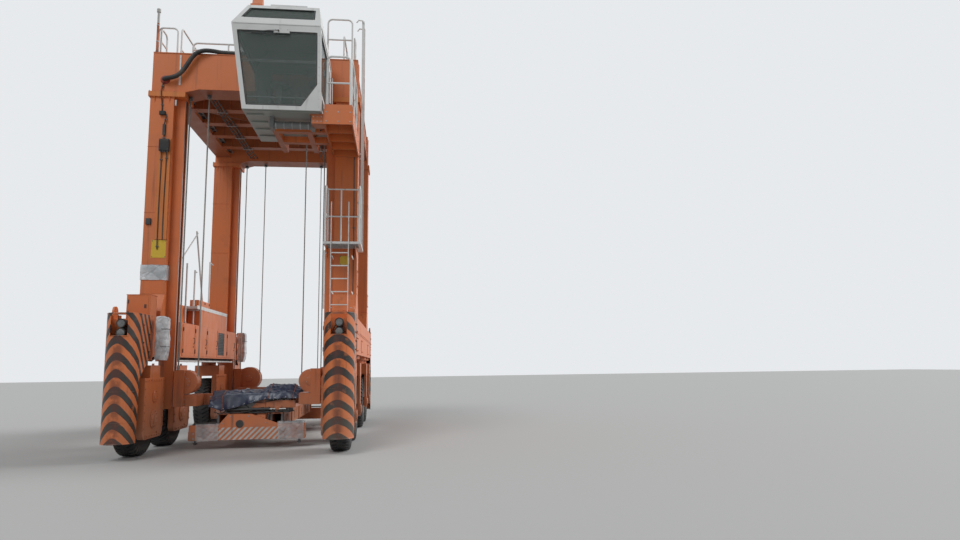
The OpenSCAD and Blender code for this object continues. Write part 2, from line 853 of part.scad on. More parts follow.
// A closed hood that fits around the engine's block, with louvres in its rear face
module power_pack() in_frame(orange) {
    y0 = pack_y1 - pack_len;
    difference() {
        span([pack_x0, y0, deck_z], [pack_x0 + pack_w, pack_y1, deck_z + pack_h]);
        span([pack_x0 + hood_t - seat_gap, y0 + hood_t - seat_gap, deck_z - 1],
             [pack_x0 + pack_w - hood_t + seat_gap, pack_y1 - hood_t + seat_gap,
              deck_z + pack_h - hood_t + seat_gap]);
        for (i = [0:louvre_count - 1]) let(z = deck_z + 250 + i * louvre_pitch)
            span([pack_x0 + 250, pack_y1 - louvre_d, z],
                 [pack_x0 + pack_w - 250, pack_y1 + 1, z + louvre_h]);
    }
    // Rim of the fan's outlet, and the exhaust stack
    translate([pack_x0 + 650, pack_y1 - pack_len / 2, deck_z + pack_h - 1]) difference() {
        cylinder(r = fan_r, h = fan_h + 1);
        translate([0, 0, 1]) cylinder(r = fan_r - 30, h = fan_h + 1);
    }
    translate([pack_x0 + pack_w - 350, pack_y1 - pack_len + 350, deck_z + pack_h - 1])
        cylinder(r = exhaust_r, h = exhaust_h);
}

module engine() in_frame(steel)
    span([pack_x0 + hood_t, pack_y1 - pack_len + hood_t, deck_z],
         [pack_x0 + pack_w - hood_t, pack_y1 - hood_t, deck_z + pack_h - hood_t]);

bundle_x = -lane_x + 100;
bundle_y = beam_len / 2 - 300;
bundle_z = beam_z - 90;
bundle_h = 950;

// The cooler on the left, still in its wrapping, and a wrapped bundle at each end of the left beam
module wrapped_unit() in_frame([0.75, 0.77, 0.78]) {
    translate([0, -60, top_side_z + top_side_h]) along_x(-side_reach, -top_side_in - 100) polygon([
        [0, 0], [1140, 0], [1160, 560], [960, 840], [310, 900], [20, 620]
    ]);
    for (sy = end_signs) at_corner(1, sy) translate([0, 0, bundle_z])
        along_y(bundle_y, bundle_y + 300) polygon([
            [-beam_in, 30], [bundle_x - 60, 0], [bundle_x, 150], [bundle_x - 10, bundle_h - 50],
            [bundle_x - 60, bundle_h], [-beam_in, bundle_h]
        ]);
}

// HOSE ON THE FRONT BEAM

hose_r = 52;
hose_sides = 10;
// The hose's route, with y from the front beam's face
hose_route = [
    [-2070, 0, 8460], [-2070, -62, 8460], [-2000, -105, 8466], [-1900, -110, 8484], [-1780, -110, 8536],
    [-1680, -110, 8630], [-1600, -110, 8750], [-1525, -110, 8885], [-1450, -108, 9010], [-1355, -100, 9112],
    [-1220, -78, 9180], [-1040, -30, 9203], [-800, 40, 9200], [-500, 70, 9200], [-200, 75, 9200],
    [100, 70, 9200], [300, 40, 9205], [400, -20, 9205], [470, -100, 9170], [500, -190, 9100],
    [505, -260, 9030], [505, -305, 9000], [505, -349.7, 9000]
];

function turn_into(t) = let(side = cross(t, [0, 0, 1]), s = norm(side) < 0.1 ? [1, 0, 0] : side / norm(side))
    [s, cross(s, t)];
function tangent(p, i) = let(d = p[min(i + 1, len(p) - 1)] - p[max(i - 1, 0)]) d / norm(d);
function ring(p, i, r, n) = let(f = turn_into(tangent(p, i)))
    [for (k = [0:n - 1]) p[i] + r * (cos(360 * k / n) * f[0] + sin(360 * k / n) * f[1])];

// A tube of n sides swept along the points p
module swept_tube(p, r, n) {
    m = len(p);
    points = [for (i = [0:m - 1]) each ring(p, i, r, n)];
    walls = [for (i = [0:m - 2]) for (k = [0:n - 1]) let(q = (k + 1) % n)
        each [[i * n + k, i * n + q, (i + 1) * n + q], [i * n + k, (i + 1) * n + q, (i + 1) * n + k]]];
    ends = [[for (k = [0:n - 1]) n - 1 - k], [for (k = [0:n - 1]) (m - 1) * n + k]];
    polyhedron(points, concat(walls, ends));
}

module beam_hose() in_frame(black) translate([0, -cross_front, 0])
    swept_tube(hose_route, hose_r, hose_sides);

// LAMPS AND MAST

lamp_r = 82;
lamp_d = 240;
lamp_pitch = 190;
mast_r = 28;
mast_h = 1000;
mast_lamp_r = 45;
mast_lamp_h = 80;

module work_lamps() in_frame(black) {
    // Twin headlamps, one over the other, on the nose inside each wheel guard's opening
    for (sx = side_signs) for (sy = end_signs)
        at_corner(sx, sy)
            translate([wheel_x, beam_len / 2 + nose_len, beam_z + nose_h - lamp_pitch / 2 - lamp_r]) {
                span([-60, 0, -lamp_pitch / 2 - 60], [60, lamp_d / 2, lamp_pitch / 2 + 60]);
                for (z = [-lamp_pitch / 2, lamp_pitch / 2])
                    translate([0, 60, z]) rotate([-90, 0, 0]) cylinder(r = lamp_r, h = lamp_d - 60);
            }
    translate([-rail_edge, -cross_front + 30, frame_z]) {
        cylinder(r = mast_r, h = mast_h);
        translate([0, 0, mast_h]) cylinder(r = mast_lamp_r, h = mast_lamp_h);
    }
}

// EQUIPMENT ON THE SIDE BEAMS

screen_t = 90;
screen_h = 480;
drum_r = 200;
drum_h = 430;
cap_r = 225;
cap_h = 70;
step_box_h = 440;
end_box_w = 480;
end_box_len = 380;
end_box_h = 500;

module beam_equipment() in_frame(orange) {
    // Left: a long low box under the rack's tray, and a screen behind it
    span([-beam_in - 50, rack_y + 1660, beam_top], [-lane_x, rack_y + 4370, beam_top + tray_z]);
    span([-beam_in - 60 - screen_t, -foot_in + 250, beam_top],
         [-beam_in - 60, foot_in - 1150, beam_top + screen_h]);
    // Right: a drum with its cap, and a box ahead of it
    translate([lane_x + 250, column_y - 2110, beam_top]) {
        cylinder(r = drum_r, h = drum_h);
        translate([-10, 0, drum_h]) cylinder(r = cap_r, h = cap_h);
    }
    span([lane_x + 20, -column_y + 370, beam_top], [beam_in, -column_y + 720, beam_top + step_box_h]);
    // Left: the box at the beam's front end
    span([-beam_in - 10 - end_box_w, -beam_len / 2, beam_top],
         [-beam_in - 10, -beam_len / 2 + end_box_len, beam_top + end_box_h]);
}

// LIFTING FRAME

carriage_in = 1110;
carriage_d = 500;
carriage_z = 950;
carriage_h = 800;
carriage_out = rail_in - 50;
shoe_h = 160;
yoke_y = column_y - 630;
yoke_w = 180;
yoke_h = 250;

// A carriage: the plate that runs along the rail with its two shoes, the sheave case, and the
// bracket that takes the end of the spreader's yoke
module carriage(sheave_x, sheave_z, sheave_r) {
    span([carriage_out - 220, column_y - carriage_d / 2, carriage_z],
         [carriage_out, column_y + carriage_d / 2, carriage_z + carriage_h]);
    translate([sheave_x, column_y + 150, sheave_z]) rotate([90, 0, 0]) cylinder(r = sheave_r, h = 300);
    translate([sheave_x, column_y + 170, sheave_z]) rotate([90, 0, 0]) cylinder(r = sheave_r / 3, h = 340);
    span([carriage_in, yoke_y - 20, carriage_z],
         [carriage_out - 200, column_y + 150, carriage_z + yoke_h]);
    for (z = [carriage_z, carriage_z + carriage_h - shoe_h])
        span([carriage_out - 1, column_y - groove_w / 2 + slide_gap, z],
             [rail_in + groove_d - slide_gap, column_y + groove_w / 2 - slide_gap, z + shoe_h]);
}

module lifting_carriages() in_frame(orange) for (sx = side_signs) {
    top = carriage_z + carriage_h;
    at_corner(sx, -1) carriage(carriage_in + sheave_r_front, top - sheave_r_front - 20, sheave_r_front);
    at_corner(sx, 1) carriage(carriage_in + 50, top - sheave_r_rear + 40, sheave_r_rear);
}

// SPREADER

arm_z0 = spreader_z + 260;
sleeve_w = arm_w + 2 * sleeve_t;
sleeve_z0 = arm_z0 - sleeve_t;
sleeve_z1 = arm_z0 + arm_h + sleeve_t;
arm_x = [arm_pitch * 0.95, arm_pitch * 1.95];
band_w = 60;
band_lip = 20;
band_y = sleeve_len / 2 - 100;

module spreader_frame() in_frame(orange) {
    difference() {
        union() {
            for (sx = side_signs) for (x = arm_x)
                at_corner(sx, 1)
                    span([x - sleeve_w / 2, -sleeve_len / 2, sleeve_z0],
                         [x + sleeve_w / 2, sleeve_len / 2, sleeve_z1]);
            for (y = [-band_y, -band_y / 2, 0, band_y / 2, band_y])
                span([-arm_x[1] - sleeve_w / 2 - band_lip, y - band_w / 2, sleeve_z0 - band_lip],
                     [arm_x[1] + sleeve_w / 2 + band_lip, y + band_w / 2, sleeve_z1]);
        }
        for (sx = side_signs) for (x = arm_x)
            at_corner(sx, 1)
                span([x - arm_w / 2, -sleeve_len, arm_z0], [x + arm_w / 2, sleeve_len, arm_z0 + arm_h]);
    }
    // A yoke across each end, which the carriages take at its two ends
    for (sy = end_signs) at_corner(1, sy) {
        span([-arm_x[1], yoke_y, sleeve_z1], [arm_x[1], yoke_y + yoke_w, carriage_z + 20]);
        span([-carriage_in, yoke_y, carriage_z], [carriage_in, yoke_y + yoke_w, carriage_z + yoke_h]);
    }
}

end_y = lock_y / 2;
end_w = 200;
end_h = 330;
end_half = lock_x / 2 + 120;
tip_y = end_y + end_w / 2;

// The arm set that slides out to +Y, with its arms at the distance x from the middle
module arm_set(x) {
    for (sx = side_signs)
        at_corner(sx, 1)
            span([x - arm_w / 2 + slide_gap, tip_y - 40 - arm_len, arm_z0 + slide_gap],
                 [x + arm_w / 2 - slide_gap, tip_y - 40, arm_z0 + arm_h - slide_gap]);
    span([-end_half, tip_y - end_w, spreader_z], [end_half, tip_y - 40, spreader_z + end_h]);
    // The end plate with its long sloping shoulder
    along_y(tip_y - 40, tip_y) polygon([
        [-end_half, spreader_z], [end_half, spreader_z], [end_half, spreader_z + 130],
        [80, spreader_z + 560], [-420, spreader_z + 560], [-620, spreader_z + end_h],
        [-end_half, spreader_z + end_h]
    ]);
}

module spreader_arm_front() in_frame(orange) at_corner(1, -1) arm_set(arm_x[0]);
module spreader_arm_rear() in_frame(orange) arm_set(arm_x[1]);

lock_r = 28;
lock_drop = 110;
lock_tip_r = 20;
lock_head_r = 50;
lock_head_h = 45;

module twistlock() {
    translate([lock_x / 2, end_y, spreader_z - lock_drop]) {
        cylinder(r = lock_r, h = lock_drop);
        cylinder(r1 = lock_tip_r, r2 = lock_head_r, h = lock_head_h);
    }
}

module twistlocks_front() in_frame(steel) for (sx = side_signs) at_corner(sx, -1) twistlock();
module twistlocks_rear() in_frame(steel) for (sx = side_signs) at_corner(sx, 1) twistlock();

drive_x0 = -560;
drive_x1 = 880;
drive_gap = 20;
drive_len = 260;
set_x1 = drive_x1 - 180;
set_y0 = -yoke_y + 60;
set_len = 1180;
shield_x0 = -90;
shield_x1 = 1000;
shield_z = 870;
shield_h = 160;
shield_t = 40;
drive_y0 = -(yoke_y + yoke_w + drive_gap + drive_len);

// The telescoping drive ahead of the front yoke, with its shield, and the hydraulic set behind it
module spreader_drive() in_frame(steel) {
    top = carriage_z + yoke_h;
    span([drive_x0, drive_y0, sleeve_z1], [drive_x1, drive_y0 + drive_len, top]);
    span([shield_x0, drive_y0 - shield_t, shield_z], [shield_x1, drive_y0, shield_z + shield_h]);
    span([drive_x0, set_y0, sleeve_z1], [set_x1, set_y0 + set_len, top]);
    for (x = [drive_x0 + 300, drive_x0 + 800])
        translate([x, set_y0 + set_len, sleeve_z1 + 160]) rotate([-90, 0, 0]) cylinder(r = 110, h = 260);
}

tarp_x0 = -900;
tarp_x1 = 1080;
tarp_t = 40;
tarp_back = 480;     // how far the tarpaulin lies over the hydraulic set
tarp_low_x = -620;   // the front hem's lowest corner
tarp_mid_x = 250;

// A sheet over the front drive, the yoke and the start of the hydraulic set, with its front hem hanging
module tarpaulin() in_frame([0.16, 0.25, 0.45]) {
    top = carriage_z + yoke_h + seat_gap;
    front = drive_y0 - shield_t - seat_gap;
    span([tarp_x0, front - tarp_t, top], [tarp_x1, set_y0 + tarp_back, top + tarp_t]);
    along_y(front - tarp_t, front) polygon([
        [tarp_x0, top + tarp_t], [tarp_x0, top - 300], [tarp_low_x, top - 400], [tarp_mid_x, top - 150],
        [tarp_x1, top - 140], [tarp_x1, top + tarp_t]
    ]);
}

// WHEELS AND FORKS

case_in = -(tyre_w / 2 + fork_gap + case_t);
leg_out = tyre_w / 2 + fork_gap - 10 + leg_t;
bridge_z = 2 * tyre_r + 60;
hub_r = 130;
case_corner = 150;
leg_foot_r = 170;
leg_top_w = 220;
neck_r = 200;

// Tyre section as (radius, width), around the wheel's shaft
function tyre_section() = [
    [rim_r, -tyre_w / 2 + 25], [rim_r + 90, -tyre_w / 2], [tyre_r - 150, -tyre_w / 2],
    [tyre_r - 35, -tyre_w / 2 + 20], [tyre_r, -tyre_w / 2 + 65], [tyre_r, tyre_w / 2 - 65],
    [tyre_r - 35, tyre_w / 2 - 20], [tyre_r - 150, tyre_w / 2], [rim_r + 90, tyre_w / 2],
    [rim_r, tyre_w / 2 - 25]
];

// Rim section: barrel with its two lips, and the dished disc
function rim_section() = [
    [rim_r - 40, 25 - tyre_w / 2], [rim_r + 20, 10 - tyre_w / 2], [rim_r + 20, 17 - tyre_w / 2],
    [rim_r - seat_gap, 25 - tyre_w / 2], [rim_r - seat_gap, tyre_w / 2 - 25],
    [rim_r + 20, tyre_w / 2 - 17], [rim_r + 20, tyre_w / 2 - 10], [rim_r - 40, tyre_w / 2 - 25],
    [rim_r - 40, 60], [hub_r, 20], [hub_r, -20], [rim_r - 40, 20]
];

// Places a piece drawn around the shaft of a wheel, with +X away from the machine
module at_wheel(w) {
    translate([w[side_col] * wheel_x, w[axle_col], tyre_r]) scale([w[side_col], 1, 1]) children();
}

module spin_x() { rotate([0, 90, 0]) rotate_extrude() children(); }

module tyre(w) in_frame(black) at_wheel(w) spin_x() polygon(tyre_section());

module rim(w) in_frame(steel) at_wheel(w) {
    spin_x() polygon(rim_section());
    hub_len = tyre_w + 2 * fork_gap - 30;
    translate([-hub_len / 2, 0, 0]) rotate([0, 90, 0]) cylinder(r = hub_r, h = hub_len);
    translate([case_in + 20, 0, 0]) rotate([0, 90, 0]) cylinder(r = shaft_r, h = leg_out - case_in - 20 - 5);
}

module fork(w) in_frame(orange) at_wheel(w) difference() {
    union() {
        // Drive case on the machine's side, with rounded lower corners
        along_x(case_in, case_in + case_t) {
            translate([-case_len / 2, case_z + case_corner - tyre_r])
                square([case_len, bridge_z + 40 - case_z - case_corner]);
            translate([-case_len / 2 + case_corner, case_z - tyre_r])
                square([case_len - 2 * case_corner, case_corner + 1]);
            for (sy = end_signs)
                translate([sy * (case_len / 2 - case_corner), case_z + case_corner - tyre_r])
                    circle(r = case_corner);
        }
        // Tapering leg on the outside
        along_x(leg_out - leg_t, leg_out) {
            circle(r = leg_foot_r);
            polygon([[-leg_foot_r, 0], [leg_foot_r, 0],
                     [leg_top_w, bridge_z + 10 - tyre_r], [-leg_top_w, bridge_z + 10 - tyre_r]]);
        }
        span([case_in, -bridge_len / 2, bridge_z - tyre_r],
             [leg_out, bridge_len / 2, bridge_z + bridge_h - tyre_r]);
        translate([0, 0, bridge_z + bridge_h - tyre_r - 1])
            cylinder(r = neck_r, h = beam_z - slew_h - seat_gap - 30 - bridge_z - bridge_h + 2);
        translate([0, 0, beam_z - slew_h - seat_gap - 30 - tyre_r]) cylinder(r = slew_r, h = 30);
    }
    translate([case_in - 1, 0, 0]) rotate([0, 90, 0])
        cylinder(r = shaft_r + run_gap, h = leg_out - case_in + 2);
}

side_beam_left();
side_beam_right();
front_columns();
rear_columns();
front_beam();
rear_beam();
top_side_beams();
top_cross_members();
top_diagonals();
top_deck();
wheel_guards();
cab_platform();
cab_body();
cab_glass();
cab_seat();
cab_console();
cab_belly_unit();
cab_roof_guard();
cab_door();
cab_door_glass();
ladders();
handrails();
power_pack();
engine();
wrapped_unit();
beam_hose();
work_lamps();
beam_equipment();
lifting_carriages();
spreader_frame();
spreader_drive();
tarpaulin();
spreader_arm_front();
spreader_arm_rear();
twistlocks_front();
twistlocks_rear();
for (w = wheels) {
    fork(w);
    rim(w);
    tyre(w);
}
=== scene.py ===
"""Looks of a straddle carrier: paint, cloth, cords and small fittings around its fixed frame.

Lengths are in metres. Places are given in the frame's own axes, with y measured from the
middle between the wheels, which at() turns into the frame's y. The front is at negative y.
"""
import json
import math

import bmesh
import bpy
import numpy as np
from mathutils import Matrix, Vector, noise
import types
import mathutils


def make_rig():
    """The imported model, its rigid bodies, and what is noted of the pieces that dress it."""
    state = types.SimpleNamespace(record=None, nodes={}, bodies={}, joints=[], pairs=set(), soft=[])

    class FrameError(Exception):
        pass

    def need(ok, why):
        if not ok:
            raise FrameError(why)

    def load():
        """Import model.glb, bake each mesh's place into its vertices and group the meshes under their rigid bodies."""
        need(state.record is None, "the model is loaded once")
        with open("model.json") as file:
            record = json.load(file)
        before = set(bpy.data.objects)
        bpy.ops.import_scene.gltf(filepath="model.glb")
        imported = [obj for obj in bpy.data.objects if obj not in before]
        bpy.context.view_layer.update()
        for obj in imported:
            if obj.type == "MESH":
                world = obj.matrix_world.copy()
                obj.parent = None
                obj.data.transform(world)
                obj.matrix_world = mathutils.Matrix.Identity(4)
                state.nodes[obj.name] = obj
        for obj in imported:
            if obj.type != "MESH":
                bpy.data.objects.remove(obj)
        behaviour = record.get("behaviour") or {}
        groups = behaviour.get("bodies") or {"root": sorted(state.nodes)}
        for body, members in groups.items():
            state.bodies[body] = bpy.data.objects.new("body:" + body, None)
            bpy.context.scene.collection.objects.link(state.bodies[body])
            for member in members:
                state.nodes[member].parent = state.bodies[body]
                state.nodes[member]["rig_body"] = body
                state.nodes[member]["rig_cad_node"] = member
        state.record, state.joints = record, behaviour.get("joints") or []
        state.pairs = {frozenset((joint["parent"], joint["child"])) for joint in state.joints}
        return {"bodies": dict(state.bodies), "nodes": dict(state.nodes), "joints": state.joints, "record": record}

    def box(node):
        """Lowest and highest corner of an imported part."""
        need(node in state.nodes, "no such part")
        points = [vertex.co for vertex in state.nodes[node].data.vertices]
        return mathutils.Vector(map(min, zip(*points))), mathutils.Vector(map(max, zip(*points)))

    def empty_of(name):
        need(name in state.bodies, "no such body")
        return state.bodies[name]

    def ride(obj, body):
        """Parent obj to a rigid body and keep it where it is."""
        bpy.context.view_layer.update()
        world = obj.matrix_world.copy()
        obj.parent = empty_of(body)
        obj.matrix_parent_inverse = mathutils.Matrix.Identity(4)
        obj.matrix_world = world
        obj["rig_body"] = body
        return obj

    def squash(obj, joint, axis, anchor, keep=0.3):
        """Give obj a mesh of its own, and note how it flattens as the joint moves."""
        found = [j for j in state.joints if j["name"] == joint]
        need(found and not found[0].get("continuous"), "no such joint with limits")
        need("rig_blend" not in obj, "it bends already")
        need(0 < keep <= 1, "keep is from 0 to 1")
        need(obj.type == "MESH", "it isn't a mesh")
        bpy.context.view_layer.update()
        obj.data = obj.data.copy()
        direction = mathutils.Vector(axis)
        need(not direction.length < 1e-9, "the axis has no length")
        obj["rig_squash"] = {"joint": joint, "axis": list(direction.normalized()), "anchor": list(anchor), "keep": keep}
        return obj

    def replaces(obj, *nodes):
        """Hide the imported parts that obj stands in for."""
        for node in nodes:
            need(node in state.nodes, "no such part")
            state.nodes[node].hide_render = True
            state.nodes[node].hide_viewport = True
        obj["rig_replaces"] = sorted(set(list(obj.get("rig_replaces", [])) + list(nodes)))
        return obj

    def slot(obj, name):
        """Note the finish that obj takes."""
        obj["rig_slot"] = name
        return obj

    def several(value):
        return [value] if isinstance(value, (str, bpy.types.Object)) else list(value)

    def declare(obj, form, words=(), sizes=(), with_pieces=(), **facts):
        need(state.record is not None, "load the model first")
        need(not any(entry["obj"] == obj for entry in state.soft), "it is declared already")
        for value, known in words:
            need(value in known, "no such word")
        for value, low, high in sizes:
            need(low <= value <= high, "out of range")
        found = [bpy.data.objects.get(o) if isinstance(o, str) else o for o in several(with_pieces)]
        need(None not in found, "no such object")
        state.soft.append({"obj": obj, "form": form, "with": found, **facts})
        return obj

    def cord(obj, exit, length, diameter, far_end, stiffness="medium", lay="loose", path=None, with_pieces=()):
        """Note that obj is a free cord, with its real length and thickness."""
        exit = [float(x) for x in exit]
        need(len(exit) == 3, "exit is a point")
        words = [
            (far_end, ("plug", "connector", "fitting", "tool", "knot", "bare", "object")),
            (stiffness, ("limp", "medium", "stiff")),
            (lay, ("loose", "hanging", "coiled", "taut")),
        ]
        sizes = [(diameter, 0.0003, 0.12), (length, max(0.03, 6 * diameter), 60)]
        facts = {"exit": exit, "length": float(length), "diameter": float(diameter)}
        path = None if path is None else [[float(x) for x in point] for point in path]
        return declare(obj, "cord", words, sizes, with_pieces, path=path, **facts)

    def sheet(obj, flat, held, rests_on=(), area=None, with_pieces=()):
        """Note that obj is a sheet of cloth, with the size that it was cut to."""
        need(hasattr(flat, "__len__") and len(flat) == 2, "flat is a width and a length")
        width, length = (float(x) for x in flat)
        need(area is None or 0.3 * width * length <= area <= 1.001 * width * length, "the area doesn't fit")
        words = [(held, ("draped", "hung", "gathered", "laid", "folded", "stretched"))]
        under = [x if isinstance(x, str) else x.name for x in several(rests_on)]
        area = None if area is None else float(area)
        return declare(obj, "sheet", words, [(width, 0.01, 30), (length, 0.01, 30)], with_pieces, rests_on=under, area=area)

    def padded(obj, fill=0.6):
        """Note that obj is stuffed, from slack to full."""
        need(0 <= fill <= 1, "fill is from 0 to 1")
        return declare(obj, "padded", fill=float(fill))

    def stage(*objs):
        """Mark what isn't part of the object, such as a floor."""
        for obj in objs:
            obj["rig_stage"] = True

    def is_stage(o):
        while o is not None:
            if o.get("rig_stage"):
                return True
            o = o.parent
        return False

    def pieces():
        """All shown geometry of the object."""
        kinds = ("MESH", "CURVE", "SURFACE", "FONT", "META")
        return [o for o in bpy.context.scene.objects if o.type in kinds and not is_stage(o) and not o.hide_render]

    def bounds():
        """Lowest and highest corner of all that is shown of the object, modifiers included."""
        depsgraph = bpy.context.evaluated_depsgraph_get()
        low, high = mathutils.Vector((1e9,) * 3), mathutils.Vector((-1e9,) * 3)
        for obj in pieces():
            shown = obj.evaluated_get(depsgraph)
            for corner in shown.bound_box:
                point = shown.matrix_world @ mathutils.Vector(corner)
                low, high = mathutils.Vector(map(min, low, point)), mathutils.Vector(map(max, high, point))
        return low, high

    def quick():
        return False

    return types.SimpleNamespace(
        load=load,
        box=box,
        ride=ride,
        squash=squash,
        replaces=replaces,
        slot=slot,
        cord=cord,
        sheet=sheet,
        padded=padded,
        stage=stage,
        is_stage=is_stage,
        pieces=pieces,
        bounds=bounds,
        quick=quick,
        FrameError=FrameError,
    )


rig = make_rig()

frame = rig.load()
cad_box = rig.bounds()

WHEEL_ROWS = ("front", "mid_front", "mid_rear", "rear")
WHEELS = [f"{row}_{side}" for row in WHEEL_ROWS for side in ("left", "right")]
SIDES = ENDS = (-1, 1)
CORNERS = [(side, end) for side in SIDES for end in ENDS]
LEFT, RIGHT = (-1, 0, 0), (1, 0, 0)
FRONT, REAR = (0, -1, 0), (0, 1, 0)
DOWN, UP = (0, 0, -1), (0, 0, 1)
MID_Y = (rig.box("tyre_front_left")[0].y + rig.box("tyre_rear_left")[1].y) / 2


def at(x, y, z):
    """A point given from the middle between the wheels, in the frame's axes."""
    return Vector((x, y + MID_Y, z))


def sided(side, end=1):
    """Turns places of the right rear corner into ones of another side and end."""
    return lambda x, y, z: at(side * x, end * y, z)


def grid(xs, ys, zs, spot=at):
    """Every place with one of the xs, one of the ys and one of the zs; each may be one number."""
    xs, ys, zs = (v if hasattr(v, "__len__") else [v] for v in (xs, ys, zs))
    return [spot(x, y, z) for x in xs for y in ys for z in zs]


def ring(middle, axis, radius, count, start=0.0):
    """Places in a circle around one of the frame's axes."""
    across, over = [Vector(unit) for unit, along in zip((RIGHT, REAR, UP), axis) if not along]
    angles = [start + 2 * math.pi * k / count for k in range(count)]
    return [Vector(middle) + (math.cos(a) * across + math.sin(a) * over) * radius for a in angles]


def span(node):
    """A node's lowest and highest corner, with y from the middle between the wheels."""
    low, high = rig.box(node)
    return low - Vector((0, MID_Y, 0)), high - Vector((0, MID_Y, 0))


def side_name(side):
    return "left" if side < 0 else "right"


def end_name(end):
    return "front" if end < 0 else "rear"


# Meshes

def hoops(rows, around):
    """Faces between closed rows of points."""
    return [[i * around + k, i * around + (k + 1) % around, (i + 1) * around + (k + 1) % around,
             (i + 1) * around + k]
            for i in range(rows - 1) for k in range(around)]


def closed_hoops(rows, around):
    """The same with a face over the first and the last row."""
    last = (rows - 1) * around
    return hoops(rows, around) + [list(range(around))[::-1], list(range(last, last + around))]


class Form:
    """One mesh, put together from plain shapes."""

    def __init__(self):
        self.points = []
        self.faces = []

    def add(self, points, faces):
        start = len(self.points)
        self.points += [tuple(p) for p in points]
        self.faces += [[start + i for i in face] for face in faces]
        return self

    def box(self, corner, opposite, edge=0.004, turn=None):
        """A box between two corners, with broken edges; turn is a matrix that turns it about its middle.

        The edge is a number, or three that say how far each wall's rim is drawn in along x, y and z.
        """
        corner, opposite = Vector(corner), Vector(opposite)
        middle = (corner + opposite) / 2
        half = [abs(h) for h in (opposite - corner) / 2]
        edges = edge if hasattr(edge, "__len__") else [min(edge, 0.45 * min(half))] * 3
        signs = [(a, b, c) for a in ENDS for b in ENDS for c in ENDS]
        points = []
        for sign in signs:
            for axis in range(3):
                p = Vector([sign[i] * (half[i] - (0 if i == axis else edges[i])) for i in range(3)])
                points.append(middle + (turn @ p if turn else p))
        number = {sign: 3 * i for i, sign in enumerate(signs)}

        def point(axis, sa, sb, sc):
            """The number of a corner given by its signs along an axis and the two after it."""
            sign = [0, 0, 0]
            sign[axis], sign[(axis + 1) % 3], sign[(axis + 2) % 3] = sa, sb, sc
            return number[tuple(sign)]

        faces = [[3 * i, 3 * i + 1, 3 * i + 2] for i in range(8)]
        for axis in range(3):
            b, c = (axis + 1) % 3, (axis + 2) % 3
            for s in ENDS:
                faces.append([point(axis, s, sb, sc) + axis
                              for sb, sc in ((-1, -1), (1, -1), (1, 1), (-1, 1))])
            for sb in ENDS:
                for sc in ENDS:
                    i, j = point(axis, -1, sb, sc), point(axis, 1, sb, sc)
                    faces.append([i + b, i + c, j + c, j + b])
        return self.add(points, faces)

    def turned(self, profile, origin, axis=UP, steps=24):
        """A profile of (radius, height) turned around the axis through origin."""
        turn = Vector(UP).rotation_difference(Vector(axis))
        points = []
        for radius, height in profile:
            for k in range(steps):
                angle = 2 * math.pi * k / steps
                p = Vector((radius * math.cos(angle), radius * math.sin(angle), height))
                points.append(Vector(origin) + turn @ p)
        return self.add(points, closed_hoops(len(profile), steps))

    def rod(self, start, end, radius, steps=12):
        length = (Vector(end) - Vector(start)).length
        chamfer = min(0.003, radius / 4)
        profile = [(radius - chamfer, 0), (radius, chamfer), (radius, length - chamfer),
                   (radius - chamfer, length)]
        return self.turned(profile, start, Vector(end) - Vector(start), steps)

    def tube(self, path, radius, sides=8):
        """A round tube along a path; radius is a number or one number for each point."""
        path = [Vector(p) for p in path]
        radii = radius if hasattr(radius, "__len__") else [radius] * len(path)
        normal = None
        points = []
        for i, p in enumerate(path):
            along = (path[min(i + 1, len(path) - 1)] - path[max(i - 1, 0)]).normalized()
            if normal is None:
                normal = along.orthogonal().normalized()
            normal = (normal - along * normal.dot(along)).normalized()
            other = along.cross(normal)
            for k in range(sides):
                angle = 2 * math.pi * k / sides
                points.append(p + radii[i] * (math.cos(angle) * normal + math.sin(angle) * other))
        return self.add(points, closed_hoops(len(path), sides))

    def line(self, places, radius, steps=8, sides=8, spot=at):
        """A pipe or a cable that curves through places given as x, y, z."""
        return self.tube(smooth_path([spot(*p) for p in places], steps), radius, sides)

    def bent(self, places, radius, sides=8, spot=at):
        """A bar that runs straight from place to place."""
        return self.tube([spot(*p) for p in places], radius, sides)

    def plate(self, outline, origin, across, up, thickness):
        """A flat outline of (across, up) points with a thickness along their cross product."""
        across, up = Vector(across), Vector(up)
        depth = across.cross(up).normalized() * thickness
        flat = [Vector(origin) + across * a + up * b for a, b in outline]
        n = len(flat)
        walls = [[i, (i + 1) % n, n + (i + 1) % n, n + i] for i in range(n)]
        return self.add(flat + [p + depth for p in flat],
                        [list(range(n))[::-1], list(range(n, 2 * n))] + walls)

    def bolts(self, places, axis, radius=0.016, height=0.014):
        """Hexagon heads on their washers."""
        axis = Vector(axis).normalized()
        for place in places:
            self.turned([(radius * 1.35, 0), (radius * 1.35, 0.003)], place, axis, 16)
            head = [(radius, 0), (radius, height - 0.003), (radius * 0.85, height)]
            self.turned(head, Vector(place) + axis * 0.003, axis, 6)
        return self

    def mesh(self, name, smooth=35):
        mesh = bpy.data.meshes.new(name)
        mesh.from_pydata(self.points, [], self.faces)
        mesh.validate()
        work = bmesh.new()
        work.from_mesh(mesh)
        bmesh.ops.recalc_face_normals(work, faces=work.faces)
        work.to_mesh(mesh)
        work.free()
        mesh.polygons.foreach_set("use_smooth", [True] * len(mesh.polygons))
        mesh.set_sharp_from_angle(angle=math.radians(smooth))
        return mesh


def placed(name, data):
    """A new object in the scene."""
    made = bpy.data.objects.new(name, data)
    bpy.context.scene.collection.objects.link(made)
    return made


def applied(name, mesh, kind, **settings):
    """The mesh with one modifier applied."""
    made = placed(name, mesh)
    modifier = made.modifiers.new(kind, kind)
    for key, value in settings.items():
        setattr(modifier, key, value)
    mesh = shown_mesh(made)
    bpy.data.objects.remove(made)
    return mesh


